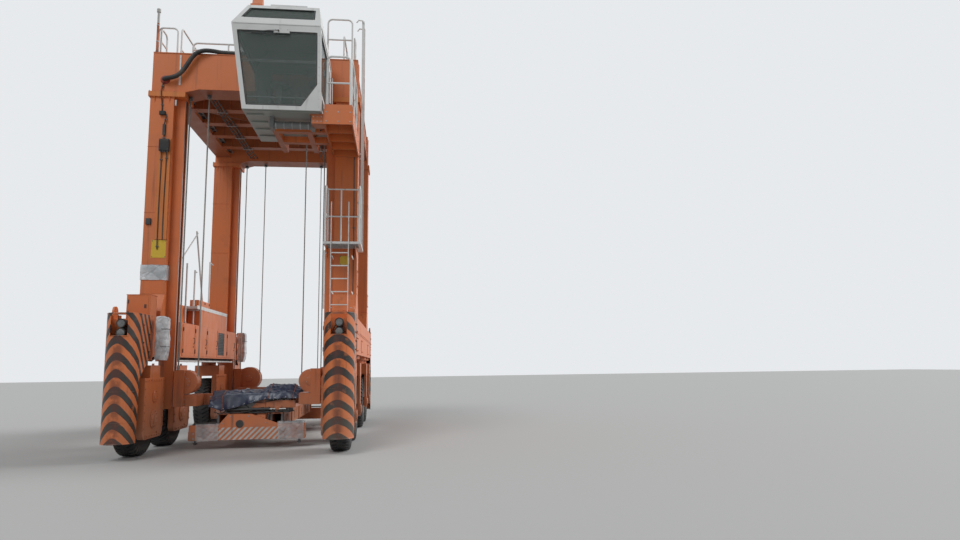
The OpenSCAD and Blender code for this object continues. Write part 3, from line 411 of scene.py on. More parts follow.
def shown_mesh(made):
    """The object's mesh as it is shown, with its modifiers."""
    bpy.context.view_layer.update()
    shown = made.evaluated_get(bpy.context.evaluated_depsgraph_get())
    mesh = bpy.data.meshes.new_from_object(shown)
    mesh.polygons.foreach_set("use_smooth", [True] * len(mesh.polygons))
    return mesh


def piece(form, name, finish, body="chassis", smooth=35, replaced=()):
    """Puts a form or a mesh into the scene, on a body, in one of the finishes."""
    mesh = form.mesh(name, smooth) if isinstance(form, Form) else form
    made = placed(name, mesh)
    slot, material = FINISH[finish]
    mesh.materials.append(material)
    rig.ride(made, body)
    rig.slot(made, slot)
    if replaced:
        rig.replaces(made, *replaced)
    return made


def smooth_path(points, steps):
    """A smooth curve through the points, with that many steps between two of them."""
    points = [Vector(p) for p in points]
    ends = [2 * points[0] - points[1]] + points + [2 * points[-1] - points[-2]]
    path = []
    for a, b, c, d in zip(ends, ends[1:], ends[2:], ends[3:]):
        for k in range(steps):
            t = k / steps
            path.append(0.5 * (2 * b + (c - a) * t + (2 * a - 5 * b + 4 * c - d) * t * t
                               + (3 * b - a - 3 * c + d) * t ** 3))
    return path + [points[-1]]


def length_of(path):
    return sum((b - a).length for a, b in zip(path, path[1:]))


# Camera, floor and light

CAMERA_PLACE = Vector((3.296, -18.851, 1.799))
CAMERA_HEADING = (0.1215, 0.9926)
CAMERA_PITCH = 0.1355
CAMERA_ROLL = -0.0128
FOCAL_PIXELS = 690
IMAGE_WIDTH = 960
SENSOR = 36
FAR_END = 300


def add_camera():
    forward = Vector((math.cos(CAMERA_PITCH) * CAMERA_HEADING[0],
                      math.cos(CAMERA_PITCH) * CAMERA_HEADING[1], math.sin(CAMERA_PITCH)))
    level = Vector((CAMERA_HEADING[1], -CAMERA_HEADING[0], 0))
    over = level.cross(forward)
    right = math.cos(CAMERA_ROLL) * level + math.sin(CAMERA_ROLL) * over
    up = math.cos(CAMERA_ROLL) * over - math.sin(CAMERA_ROLL) * level
    data = bpy.data.cameras.new("camera")
    data.sensor_width = SENSOR
    data.lens = SENSOR * FOCAL_PIXELS / IMAGE_WIDTH
    data.clip_end = FAR_END
    camera = placed("camera", data)
    turn = Matrix((right, up, -forward)).transposed().to_4x4()
    camera.matrix_world = Matrix.Translation(CAMERA_PLACE) @ turn
    bpy.context.scene.camera = camera


FLOOR_HALF = 90
FLOOR_COLOUR = (0.46, 0.46, 0.45, 1)
SKY_COLOUR = (0.80, 0.82, 0.84, 1)
SKY_LIGHT = (0.92, 0.96, 1.0, 1)
SKY_STRENGTH = 0.34
# Each sun's direction, strength and angle in degrees
SUNS = {"key": ((0.35, 0.75, -0.85), 1.05, 25), "fill": ((-0.85, -0.22, -0.50), 2.0, 35)}


def add_floor():
    mesh = bpy.data.meshes.new("floor")
    edge = FLOOR_HALF
    mesh.from_pydata([(-edge, -edge, 0), (edge, -edge, 0), (edge, edge, 0), (-edge, edge, 0)], [],
                     [(0, 1, 2, 3)])
    material = bpy.data.materials.new("floor")
    material.use_nodes = True
    surface = material.node_tree.nodes["Principled BSDF"]
    surface.inputs["Base Color"].default_value = FLOOR_COLOUR
    surface.inputs["Roughness"].default_value = 0.9
    mesh.materials.append(material)
    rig.stage(placed("floor", mesh))


def add_world():
    """One light for the surfaces, and a plain backdrop for what the camera, mirrors and glass show."""
    world = bpy.data.worlds.new("studio")
    bpy.context.scene.world = world
    world.use_nodes = True
    tree = world.node_tree
    light = tree.nodes["Background"]
    light.inputs["Color"].default_value = SKY_LIGHT
    light.inputs["Strength"].default_value = SKY_STRENGTH
    backdrop = tree.nodes.new("ShaderNodeBackground")
    backdrop.inputs["Color"].default_value = SKY_COLOUR
    seen = tree.nodes.new("ShaderNodeLightPath")
    choice = tree.nodes.new("ShaderNodeMixShader")
    share = seen.outputs["Is Camera Ray"]
    for ray in ("Is Glossy Ray", "Is Transmission Ray"):
        either = tree.nodes.new("ShaderNodeMath")
        either.operation = "MAXIMUM"
        tree.links.new(share, either.inputs[0])
        tree.links.new(seen.outputs[ray], either.inputs[1])
        share = either.outputs[0]
    for source, socket in zip((share, light.outputs[0], backdrop.outputs[0]), choice.inputs):
        tree.links.new(source, socket)
    tree.links.new(choice.outputs[0], tree.nodes["World Output"].inputs["Surface"])


def add_suns():
    for name, (direction, strength, softness) in SUNS.items():
        data = bpy.data.lights.new(name, "SUN")
        data.energy = strength
        data.angle = math.radians(softness)
        placed(name, data).rotation_euler = Vector(direction).to_track_quat("-Z", "Y").to_euler()


add_camera()
add_floor()
add_world()
add_suns()
bpy.context.scene.view_settings.view_transform = "Standard"


# Materials

class Shader:
    """A material's nodes. Each method makes one step and returns its output."""

    def __init__(self, name, roughness=0.5, metallic=0.0, **constants):
        self.material = bpy.data.materials.new(name)
        self.material.use_nodes = True
        self.tree = self.material.node_tree
        self.surface = self.tree.nodes["Principled BSDF"]
        self.surface.inputs["Roughness"].default_value = roughness
        self.surface.inputs["Metallic"].default_value = metallic
        for key, value in constants.items():
            self.surface.inputs[key.replace("_", " ")].default_value = value
        self.place = self.node("TexCoord").outputs["Object"]
        self.x, self.y, self.z = self.node("SeparateXYZ", {0: self.place}).outputs

    def node(self, kind, inputs=(), **settings):
        made = self.tree.nodes.new("ShaderNode" + kind)
        for key, value in settings.items():
            setattr(made, key, value)
        for key, value in dict(inputs).items():
            self.put(made.inputs[key], value)
        return made

    def put(self, socket, value):
        if isinstance(value, bpy.types.NodeSocket):
            self.tree.links.new(value, socket)
        else:
            socket.default_value = value

    def math(self, operation, *values):
        return self.node("Math", enumerate(values), operation=operation).outputs[0]

    def times(self, value, *factors):
        for factor in factors:
            value = self.math("MULTIPLY", value, factor)
        return value

    def plus(self, first, second):
        return self.math("ADD", first, second)

    def minus(self, first, second):
        return self.math("SUBTRACT", first, second)

    def apart(self, first, second):
        """How far two values lie apart."""
        return self.math("ABSOLUTE", self.minus(first, second))

    def noise(self, scale, detail=4, stretch=(1, 1, 1), offset=(0, 0, 0)):
        moved = self.node("Mapping", {0: self.place, 1: offset, 3: stretch}).outputs[0]
        return self.node("TexNoise", {"Vector": moved, "Scale": scale, "Detail": detail}).outputs["Fac"]

    def band(self, value, low, high):
        """0 at low and 1 at high, smooth between them."""
        return self.node("MapRange", {0: value, 1: low, 2: high}, interpolation_type="SMOOTHSTEP").outputs[0]

    def mix(self, share, first, second):
        return self.node("Mix", {0: share, 6: first, 7: second}, data_type="RGBA").outputs[2]

    def stain(self, shade, share, strength, colour):
        """The shade with another colour over a share of it."""
        return self.mix(self.times(share, strength), shade, colour)

    def normal(self):
        return self.node("NewGeometry").outputs["True Normal"]

    def dot(self, first, second):
        return self.node("VectorMath", {0: first, 1: second}, operation="DOT_PRODUCT").outputs["Value"]

    def colour(self, value):
        self.put(self.surface.inputs["Base Color"], value)

    def rough(self, value):
        self.put(self.surface.inputs["Roughness"], value)

    def rough_between(self, smooth, dull):
        self.rough(self.node("MapRange", {0: self.noise(3.1, 4), 3: smooth, 4: dull}).outputs[0])

    def bump(self, height, distance, strength=1.0):
        made = self.node("Bump", {"Height": height, "Distance": distance, "Strength": strength})
        self.put(self.surface.inputs["Normal"], made.outputs[0])


def rgb(red, green, blue):
    return (red, green, blue, 1.0)


def tint(colour, factor):
    return tuple(min(1.0, c * factor) for c in colour[:3]) + (1.0,)


ORANGE = rgb(0.66, 0.168, 0.042)
WHITE = rgb(0.72, 0.73, 0.72)
BLACK = rgb(0.020, 0.019, 0.018)
DUST = rgb(0.24, 0.20, 0.155)
SOOT = rgb(0.055, 0.045, 0.038)
RUST = rgb(0.19, 0.065, 0.025)
# Colour of the painted shade on the undersides of the top frame
UNDERSIDE_SHADE = rgb(0.085, 0.028, 0.018)
# Colour of the painted shade down the middle of the wheel guards' noses
NOSE_SHADE = rgb(0.10, 0.022, 0.012)
GREASE = rgb(0.05, 0.035, 0.028)
DUCT = rgb(0.60, 0.20, 0.02)


def weather(s, colour, dust=0.5, soot=0.5):
    """Fading, runs of dirt down the walls, dust near the ground and rust spots on a paint."""
    fade = s.band(s.noise(0.55, 5), 0.30, 0.72)
    shade = s.mix(fade, colour, s.mix(0.16, colour, DUST))
    blotch = s.band(s.noise(2.3, 6, offset=(3, 1, 7)), 0.52, 0.74)
    shade = s.stain(shade, blotch, 0.22 * soot, SOOT)
    runs = s.band(s.noise(1.0, 5, stretch=(9, 9, 0.45)), 0.56, 0.80)
    shade = s.stain(shade, runs, 0.75 * soot, SOOT)
    low = s.band(s.plus(s.z, s.times(s.noise(1.7, 4), 0.9)), 2.3, 0.35)
    shade = s.stain(shade, low, 0.5 * dust, DUST)
    spots = s.band(s.noise(14, 5, offset=(9, 4, 2)), 0.71, 0.78)
    return s.stain(shade, spots, 0.8 * soot, RUST)


def worn_edges(s, shade, bare=RUST, radius=0.012, amount=0.8):
    """Paint rubbed off along the edges."""
    rounded = s.node("Bevel", {"Radius": radius}, samples=4).outputs[0]
    edge = s.band(s.dot(rounded, s.normal()), 0.98, 0.80)
    broken = s.band(s.noise(11, 4, offset=(1, 5, 3)), 0.40, 0.62)
    return s.mix(s.times(edge, broken, amount), shade, bare)


TOP_FRAME_FROM = 6.2
TOP_FRAME_FULL = 6.8


def paint(name, colour, dust=0.5, soot=0.5, roughness=0.40, under_shade=0.0):
    """Machine paint, with painted shade of the given strength on the undersides of the top frame."""
    s = Shader(name, roughness)
    shade = weather(s, colour, dust, soot)
    if under_shade:
        # Painted shade: faces that look down inside the top frame are darkened
        down = s.band(s.node("SeparateXYZ", {0: s.normal()}).outputs["Z"], -0.3, -0.8)
        under = s.times(down, s.band(s.z, TOP_FRAME_FROM, TOP_FRAME_FULL))
        shade = s.stain(shade, under, under_shade, UNDERSIDE_SHADE)
    s.colour(worn_edges(s, shade))
    s.rough_between(roughness - 0.08, roughness + 0.22)
    s.bump(s.noise(1.1, 2), 0.010, 0.5)
    return s.material


# The black arches on the wheel guards: they fall away from the middle of the rounded nose
STRIPE_PITCH = 0.33
STRIPE_FROM = 2.70
STRIPE_HALF = 0.245
STRIPE_SOFT = 0.012
NOSE_R = 0.315
NOSE_Y = 4.615
GUARD_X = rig.box("wheel_guards")[1].x - NOSE_R
SPREAD_RIGHT = 0.75
SPREAD_LEFT = 1.30
SOFT_TIP = 0.12
CHEEK_SLOPE = 1.5


def striped_guard():
    """Black arches on orange that fall away from the middle of each rounded wheel guard."""
    s = Shader("striped_guard", 0.42)
    dx = s.apart(s.math("ABSOLUTE", s.x), GUARD_X)
    dy = s.minus(s.apart(s.y, MID_Y), NOSE_Y)
    angle = s.math("MINIMUM", s.math("ARCTAN2", dx, dy), math.pi / 2)
    round_way = s.times(angle, NOSE_R)
    straight = s.math("MAXIMUM", s.times(dy, -1.0), 0.0)
    hill = s.math("SQRT", s.plus(s.times(round_way, round_way), SOFT_TIP ** 2))
    left = s.band(s.x, 0.01, -0.01)
    spread = s.plus(s.times(left, SPREAD_LEFT - SPREAD_RIGHT), SPREAD_RIGHT)
    fall = s.plus(s.times(s.minus(hill, SOFT_TIP), spread), s.times(straight, CHEEK_SLOPE))
    ragged = s.times(s.minus(s.noise(6, 4), 0.5), 0.05)
    height = s.plus(s.plus(s.z, fall), ragged)
    turns = s.math("DIVIDE", s.minus(height, STRIPE_FROM), STRIPE_PITCH)
    black = s.band(s.apart(turns, s.math("ROUND", turns)), STRIPE_HALF + STRIPE_SOFT,
                   STRIPE_HALF - STRIPE_SOFT)
    rubbed = s.band(s.noise(5, 6, offset=(2, 2, 2)), 0.60, 0.72)
    black = s.times(black, s.minus(1.0, s.times(rubbed, 0.45)))
    shade = weather(s, s.mix(black, ORANGE, tint(BLACK, 0.6)), 0.35, 0.5)
    # Painted shade down the middle of the nose, which the lights from both sides leave darker; noise breaks it up
    middle = s.times(s.band(dx, 0.15, 0.04), s.band(s.noise(7, 5, offset=(5, 1, 2)), 0.30, 0.55))
    nose = s.times(middle, s.band(dy, 0.10, 0.22))
    s.colour(worn_edges(s, s.stain(shade, nose, 0.62, NOSE_SHADE)))
    s.bump(s.noise(1.6, 3), 0.02, 0.5)
    return s.material


COLUMN_Y = 2.87
DUCT_FACE = 3.185
DUCT_FOOT = 4.67


def column_paint():
    """Orange columns with greased grooves in their guide rails and a paler duct cover."""
    s = Shader("column_paint", 0.42)
    x = s.math("ABSOLUTE", s.x)
    y = s.apart(s.apart(s.y, MID_Y), COLUMN_Y)
    groove = s.times(s.band(x, 1.648, 1.655), s.band(x, 1.795, 1.788), s.band(y, 0.068, 0.062))
    streaked = s.band(s.noise(3, 5, stretch=(4, 4, 0.3)), 0.25, 0.6)
    shade = weather(s, ORANGE, 0.5, 0.7)
    shade = s.stain(shade, groove, s.plus(0.55, s.times(streaked, 0.4)), GREASE)
    face = MID_Y - DUCT_FACE
    duct = s.times(s.band(s.y, face + 0.005, face - 0.005), s.band(s.z, DUCT_FOOT - 0.01, DUCT_FOOT + 0.01))
    s.colour(worn_edges(s, s.stain(shade, duct, 0.45, DUCT)))
    s.rough_between(0.34, 0.62)
    s.bump(s.noise(1.1, 2), 0.010, 0.5)
    return s.material


HATCH_PITCH = 0.122
HATCH_TOP = 0.47
HATCH_FROM = -1.08
HATCH_TO = 0.95
HATCH_SOFT = 0.004


def hatched_arm(end):
    """Orange arm set whose end beam carries slanting white stripes along its lower part."""
    s = Shader(f"hatched_arm_{end_name(end)}", 0.42)
    turns = s.math("DIVIDE", s.minus(s.x, s.z), HATCH_PITCH)
    white = s.band(s.apart(turns, s.math("ROUND", turns)), 0.26, 0.235)
    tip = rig.box("spreader_arm_front")[0].y if end < 0 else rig.box("spreader_arm_rear")[1].y
    behind = s.times(s.minus(s.y, tip), -end)
    white = s.times(white, s.band(behind, 0.006, 0.002),
                    s.band(s.z, HATCH_TOP + HATCH_SOFT, HATCH_TOP - HATCH_SOFT),
                    s.band(s.x, HATCH_FROM - HATCH_SOFT, HATCH_FROM + HATCH_SOFT),
                    s.band(s.x, HATCH_TO + HATCH_SOFT, HATCH_TO - HATCH_SOFT))
    rubbed = s.band(s.noise(9, 6), 0.58, 0.70)
    white = s.times(white, s.minus(1.0, s.times(rubbed, 0.7)))
    s.colour(worn_edges(s, weather(s, s.mix(white, ORANGE, tint(WHITE, 0.85)), 0.5, 0.9)))
    s.bump(s.noise(1.6, 3), 0.01, 0.5)
    return s.material


def cab_paint(name):
    """White outside with a grey bottom, which is painted shade; the faces that look into the cab are dark trim."""
    s = Shader(name, 0.34)
    low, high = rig.box("cab_body")
    inwards = s.node("VectorMath", {0: (low + high) / 2, 1: s.place}, operation="SUBTRACT").outputs[0]
    inside = s.band(s.dot(s.normal(), inwards), 0.20, 0.35)
    # Painted shade: the bottom faces of the cab are turned grey
    under = s.band(s.z, low.z + 0.012, low.z + 0.004)
    shade = s.mix(under, weather(s, WHITE, 0.2, 0.45), rgb(0.25, 0.27, 0.25))
    s.colour(s.mix(inside, shade, rgb(0.20, 0.215, 0.205)))
    s.rough(s.plus(0.30, s.times(s.noise(4, 4), 0.2)))
    s.bump(s.noise(1.3, 2), 0.006, 0.4)
    return s.material


def glass(name):
    s = Shader(name, 0.04, IOR=1.5, Alpha=0.42)
    smear = s.band(s.noise(3.2, 6, stretch=(1, 1, 0.4)), 0.52, 0.80)
    s.colour(s.stain(rgb(0.125, 0.165, 0.150), smear, 0.35, rgb(0.26, 0.30, 0.28)))
    s.rough(s.plus(0.03, s.times(smear, 0.25)))
    return s.material


def grained(name, colour, roughness=0.62, scale=160, depth=0.0006, spread=0.25):
    """Moulded plastic, rubber or cast metal with a fine grain and uneven dirt."""
    s = Shader(name, roughness)
    s.colour(s.stain(colour, s.band(s.noise(2.7, 6), 0.42, 0.78), spread, DUST))
    s.rough(s.plus(roughness - 0.1, s.times(s.noise(7, 4), 0.25)))
    s.bump(s.noise(scale, 2), depth, 0.6)
    return s.material


def tyre_rubber():
    """Black rubber with greyer, dusty patches."""
    s = Shader("tyre", 0.82)
    mottled = s.band(s.noise(5, 7), 0.35, 0.75)
    s.colour(s.stain(rgb(0.022, 0.022, 0.023), mottled, 0.5, rgb(0.10, 0.092, 0.082)))
    s.rough(s.plus(0.7, s.times(mottled, 0.2)))
    s.bump(s.noise(60, 4), 0.002, 0.6)
    return s.material


def waves(s, pitch, *axes):
    return [s.math("SINE", s.times(axis, 2 * math.pi / pitch)) for axis in axes]


def woven(name, colour, pitch=0.012, faded=0.35):
    """Cloth with crossed threads, paler where it is rubbed."""
    s = Shader(name, 0.78, Sheen_Weight=0.25)
    rubbed = s.band(s.noise(2.2, 7), 0.40, 0.80)
    s.colour(s.stain(colour, rubbed, faded, s.mix(0.55, colour, DUST)))
    x, y, z = waves(s, pitch, s.x, s.y, s.z)
    weave = s.plus(s.times(x, y), s.times(z, 0.7))
    s.bump(s.plus(weave, s.times(s.noise(9, 5), 6.0)), 0.0015, 0.5)
    return s.material


def coated_sheet(name, colour):
    """Coated tarpaulin: a dull shine that breaks on its creases, paler along them as rubbed wear and as painted
    highlight.
    """
    s = Shader(name, 0.40, Coat_Weight=0.2, Coat_Roughness=0.35)
    creases = s.apart(s.noise(2.1, 2), 0.5)
    finer = s.apart(s.noise(8, 4, offset=(3, 8, 1)), 0.5)
    # Paler colour on the creases: partly rubbed wear, partly painted highlight
    crease_wear_and_highlight = s.times(s.band(creases, 0.04, 0.0), s.band(s.noise(3, 3), 0.40, 0.6))
    shade = s.stain(colour, crease_wear_and_highlight, 0.22, rgb(0.16, 0.20, 0.25))
    dusty = s.band(s.noise(1.4, 4, offset=(7, 7, 2)), 0.50, 0.80)
    s.colour(s.stain(shade, dusty, 0.14, DUST))
    s.rough(s.plus(0.34, s.times(dusty, 0.3)))
    s.bump(s.plus(creases, s.times(finer, 0.25)), 0.09, 0.8)
    return s.material


def film(name, alpha):
    """Creased transport film: bright ridges on a cloudy sheet."""
    s = Shader(name, 0.36, Alpha=alpha)
    cloudy = s.band(s.noise(3.5, 6), 0.30, 0.75)
    s.colour(s.mix(cloudy, rgb(0.40, 0.43, 0.45), rgb(0.78, 0.80, 0.82)))
    folds = s.node("TexVoronoi", {"Vector": s.place, "Scale": 5.0},
                   feature="DISTANCE_TO_EDGE").outputs["Distance"]
    s.bump(s.plus(s.math("POWER", folds, 0.5), s.times(s.noise(17, 5), 0.35)), 0.03, 0.8)
    return s.material


def metal(name, colour, roughness=0.45, spread=0.4):
    s = Shader(name, roughness, 0.7)
    s.colour(s.stain(colour, s.band(s.noise(3, 6), 0.35, 0.75), spread, tint(DUST, 0.7)))
    s.rough(s.plus(roughness - 0.1, s.times(s.noise(12, 5), 0.35)))
    s.bump(s.noise(40, 4), 0.001, 0.5)
    return s.material


STUD_PITCH = 0.045


def grating_steel():
    """Galvanized deck plate with raised studs."""
    s = Shader("grating", 0.5, 0.6)
    s.colour(s.mix(s.band(s.noise(2, 6), 0.4, 0.7), rgb(0.30, 0.31, 0.32), rgb(0.17, 0.15, 0.13)))
    s.bump(s.times(*waves(s, STUD_PITCH, s.x, s.y)), 0.004, 0.8)
    return s.material


MAST_FOOT = 9.0
MAST_PALE = 9.86


def lamp_and_mast():
    """Black lamp housings low down, and up on the beam an orange mast with its pale top."""
    s = Shader("lamp_black", 0.5)
    mast = s.mix(s.band(s.noise(6, 5), 0.35, 0.65), tint(ORANGE, 0.75), tint(ORANGE, 0.40))
    shade = s.mix(s.band(s.z, MAST_FOOT, MAST_FOOT + 0.01), rgb(0.024, 0.024, 0.026), mast)
    s.colour(s.mix(s.band(s.z, MAST_PALE, MAST_PALE + 0.01), shade, rgb(0.42, 0.42, 0.40)))
    s.bump(s.noise(160, 2), 0.0006, 0.6)
    return s.material


def lens(name, colour):
    s = Shader(name, 0.12, IOR=1.5)
    cells = s.node("TexVoronoi", {"Vector": s.place, "Scale": 45.0}).outputs["Distance"]
    s.colour(s.mix(cells, colour, tint(colour, 0.6)))
    s.bump(cells, 0.004, 0.6)
    return s.material


# Each finish: the slot it stands for and its material
FINISH = {
    "orange": ("orange_paint", paint("orange_paint", ORANGE, under_shade=0.6)),
    # Darker orange and heavier soot inside the top frame: painted shade under the deck
    "orange_top_shaded": ("orange_paint", paint("orange_top_shaded", tint(ORANGE, 0.62), dust=0.3, soot=1.2, under_shade=0.6)),
    "orange_low": ("orange_paint", paint("orange_low", tint(ORANGE, 0.85), dust=0.9, soot=1.0)),
    "guard": ("orange_paint", striped_guard()),
    "column": ("orange_paint", column_paint()),
    "arm_front": ("orange_paint", hatched_arm(-1)),
    "arm_rear": ("orange_paint", hatched_arm(1)),
    "cab": ("cab_white", cab_paint("cab_white")),
    "white": ("rail_white", paint("rail_white", WHITE, dust=0.5, soot=0.6)),
    "glass": ("glass", glass("glass")),
    "seat": ("seat_fabric", woven("seat_fabric", rgb(0.030, 0.032, 0.036), 0.008)),
    "plastic": ("grey_plastic", grained("grey_plastic", rgb(0.17, 0.175, 0.175))),
    "lamps": ("lamp_black", lamp_and_mast()),
    "black": ("lamp_black", grained("black_plastic", rgb(0.022, 0.022, 0.024), 0.5)),
    "gasket": ("lamp_black", grained("gasket_rubber", rgb(0.018, 0.018, 0.019), 0.7)),
    "engine": ("engine_grey", grained("engine_grey", rgb(0.16, 0.17, 0.17), 0.55, 60, 0.002)),
    "wrap": ("plastic_wrap", film("plastic_wrap", 1.0)),
    "thin_film": ("plastic_wrap", film("thin_film", 0.46)),
    "hose": ("hose_rubber", grained("hose_rubber", rgb(0.020, 0.019, 0.019), 0.55, 90, 0.001, 0.35)),
    "grating": ("grating", grating_steel()),
    "steel": ("dark_steel", metal("dark_steel", rgb(0.14, 0.14, 0.145))),
    "rope": ("dark_steel", metal("wire_rope", rgb(0.30, 0.29, 0.27), 0.5)),
    "galvanized": ("grating", metal("galvanized", rgb(0.42, 0.43, 0.44), 0.5, 0.5)),
    "bright_steel": ("dark_steel", metal("bright_steel", rgb(0.50, 0.50, 0.50), 0.35)),
    "tarpaulin": ("tarpaulin", coated_sheet("tarpaulin", rgb(0.015, 0.028, 0.066))),
    "red_rope": ("tarpaulin", woven("lashing_cord", rgb(0.40, 0.11, 0.04), 0.006, 0.5)),
    "rim": ("rim_paint", paint("rim_paint", tint(ORANGE, 0.9), dust=1.0, soot=0.8)),
    "tyre": ("tyre", tyre_rubber()),
    "lens": ("glass", lens("lamp_lens", rgb(0.24, 0.25, 0.25))),
    "yellow": ("rail_white", paint("sign_yellow", rgb(0.70, 0.46, 0.02), dust=0.3, soot=0.5)),
    "red": ("orange_paint", paint("red_paint", rgb(0.30, 0.035, 0.02), dust=0.3, soot=0.5)),
}

# The finish of each node that isn't in plain orange
NODE_FINISH = {
    "wheel_guards": "guard", "spreader_arm_front": "arm_front", "spreader_arm_rear": "arm_rear",
    "cab_body": "cab", "cab_door": "cab", "cab_glass": "glass", "cab_door_glass": "glass",
    "cab_seat": "seat", "cab_console": "plastic", "cab_belly_unit": "plastic", "ladders": "white",
    "handrails": "white", "engine": "engine", "wrapped_unit": "wrap", "beam_hose": "hose",
    "work_lamps": "lamps", "top_cross_members": "orange_top_shaded", "top_diagonals": "orange_top_shaded",
    "top_deck": "grating", "spreader_drive": "steel", "tarpaulin": "tarpaulin",
    "twistlocks_front": "steel", "twistlocks_rear": "steel", "spreader_frame": "orange_low",
    "lifting_carriages": "orange_low", "front_columns": "column", "rear_columns": "column",
}
for part, part_finish in (("rim", "rim"), ("tyre", "tyre"), ("fork", "orange_low")):
    NODE_FINISH.update({f"{part}_{wheel}": part_finish for wheel in WHEELS})

for name, node in frame["nodes"].items():
    node.data.materials.clear()
    node.data.materials.append(FINISH[NODE_FINISH.get(name, "orange")][1])


# Hose on the front beam, through the same points as its solid

HOSE_R = 0.052
HOSE_RIB = 0.004
BEAM_FRONT = -3.17
# x, distance behind the front beam's face, z
HOSE_ROUTE = [
    (-2.070, 0, 8.460), (-2.070, -0.062, 8.460), (-2.000, -0.105, 8.466), (-1.900, -0.110, 8.484),
    (-1.780, -0.110, 8.536), (-1.680, -0.110, 8.630), (-1.600, -0.110, 8.750), (-1.525, -0.110, 8.885),
    (-1.450, -0.108, 9.010), (-1.355, -0.100, 9.112), (-1.220, -0.078, 9.180), (-1.040, -0.030, 9.203),
    (-0.800, 0.040, 9.200), (-0.500, 0.070, 9.200), (-0.200, 0.075, 9.200), (0.100, 0.070, 9.200),
    (0.300, 0.040, 9.205), (0.400, -0.020, 9.205), (0.470, -0.100, 9.170), (0.500, -0.190, 9.100),
    (0.505, -0.260, 9.030), (0.505, -0.305, 9.000), (0.505, -0.3497, 9.000),
]


def add_hose():
    path = smooth_path([at(x, BEAM_FRONT + y, z) for x, y, z in HOSE_ROUTE], 16)
    radii = [HOSE_R - (HOSE_RIB if i % 3 == 0 else 0) for i in range(len(path))]
    hose = piece(Form().tube(path, radii, 20), "front_hose", "hose", smooth=60, replaced=["beam_hose"])
    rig.cord(hose, exit=path[0], length=round(length_of(path), 2), diameter=2 * HOSE_R, far_end="object",
            stiffness="stiff", lay="loose", path=path)


add_hose()


# Tyres, hubs and forks

TREAD_PITCHES = 40
# Each point of one pitch of the tread: where it lies in the pitch, and whether it is in the groove
GROOVE_PHASES = ((0.0, 0), (0.60, 0), (0.67, 1), (0.94, 1))
TREAD_LEAN = 0.85
TREAD_OFFSET = 0.5
TREAD_HALF = 0.215
SHOULDER_FROM = 0.10
SHOULDER_TURN = 1.35
# Half a section from bead to crown: radius, distance from the tyre's middle, groove depth
TYRE_HALF = (
    (0.334, 0.186, 0), (0.342, 0.199, 0), (0.356, 0.204, 0), (0.368, 0.207, 0), (0.374, 0.202, 0),
    (0.382, 0.208, 0), (0.430, 0.2135, 0), (0.455, 0.2145, 0), (0.458, 0.2120, 0), (0.505, 0.2125, 0),
    (0.508, 0.2150, 0), (0.570, 0.2145, 0), (0.608, 0.2115, 0), (0.628, 0.2070, 0.004),
    (0.634, 0.2110, 0.022),
    (0.672, 0.2070, 0.030), (0.706, 0.1990, 0.034), (0.728, 0.1860, 0.036), (0.742, 0.1660, 0.036),
    (0.7485, 0.1380, 0.034), (0.7500, 0.0950, 0.032), (0.7500, 0.0550, 0.028), (0.7500, 0.0440, 0),
    (0.7500, 0.0290, 0), (0.7460, 0.0240, 0), (0.7460, 0.0120, 0), (0.7500, 0.0080, 0),
)


def wheel_middle(wheel):
    low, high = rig.box("tyre_" + wheel)
    return (low + high) / 2


def add_tyre(wheel):
    """The whole section turned around the shaft, with slanting grooves sunk into its crown."""
    section = list(TYRE_HALF) + [(r, -w, d) for r, w, d in reversed(TYRE_HALF)]
    pitch = 2 * math.pi / TREAD_PITCHES
    count = TREAD_PITCHES * len(GROOVE_PHASES)
    middle = wheel_middle(wheel)
    turned_over = 1 if middle.x > 0 else -1
    points = []
    for radius, width, depth in section:
        shoulder = SHOULDER_TURN * min(1, max(0, (abs(width) - SHOULDER_FROM) / (TREAD_HALF - SHOULDER_FROM)))
        lean = TREAD_LEAN * abs(width) / TREAD_HALF + (TREAD_OFFSET if width < 0 else 0)
        for k in range(count):
            phase, deep = GROOVE_PHASES[k % len(GROOVE_PHASES)]
            angle = pitch * (k // len(GROOVE_PHASES) + phase + lean) * turned_over
            r = radius - deep * depth * math.cos(shoulder)
            w = abs(width) - deep * depth * math.sin(shoulder)
            points.append(middle + Vector((math.copysign(w, width), r * math.cos(angle),
                                           r * math.sin(angle))))
    form = Form().add(points, hoops(len(section), count))
    piece(form, "treaded_tyre_" + wheel, "tyre", "wheel_" + wheel, 30, ["tyre_" + wheel])


HUB_BOLTS_R = 0.212
DRIVE_HALF_Y = 0.56
DRIVE_FOOT, DRIVE_HEAD = -0.335, 0.80
# Round covers on the drive case: y and z from the wheel's middle, radius
DRIVE_COVERS = ((0, 0, 0.20), (0.02, 0.46, 0.13))


def add_hub(wheel):
    """Bolts and bead rings on both faces of the rim, and the valve."""
    middle = wheel_middle(wheel)
    out = 1 if middle.x > 0 else -1
    away = Vector((out, 0, 0))
    hub = Form()
    for side, width in ((1, 0.042), (-1, 0.002)):
        hub.bolts(ring(middle + away * width * side, away, HUB_BOLTS_R, 20), away * side, 0.015, 0.022)
        hub.turned([(0.322, 0), (0.338, 0.004), (0.343, 0.013), (0.337, 0.020), (0.320, 0.018),
                    (0.316, 0.006)],
                   middle + away * 0.188 * side, away * side, 64)
    stem = middle + away * 0.05
    hub.tube([stem + Vector(p) for p in ((0, 0.262, 0.02), (out * 0.03, 0.266, 0.02),
                                         (out * 0.075, 0.288, 0.02))],
             0.008, 10)
    piece(hub, "wheel_fittings_" + wheel, "rim", "wheel_" + wheel)


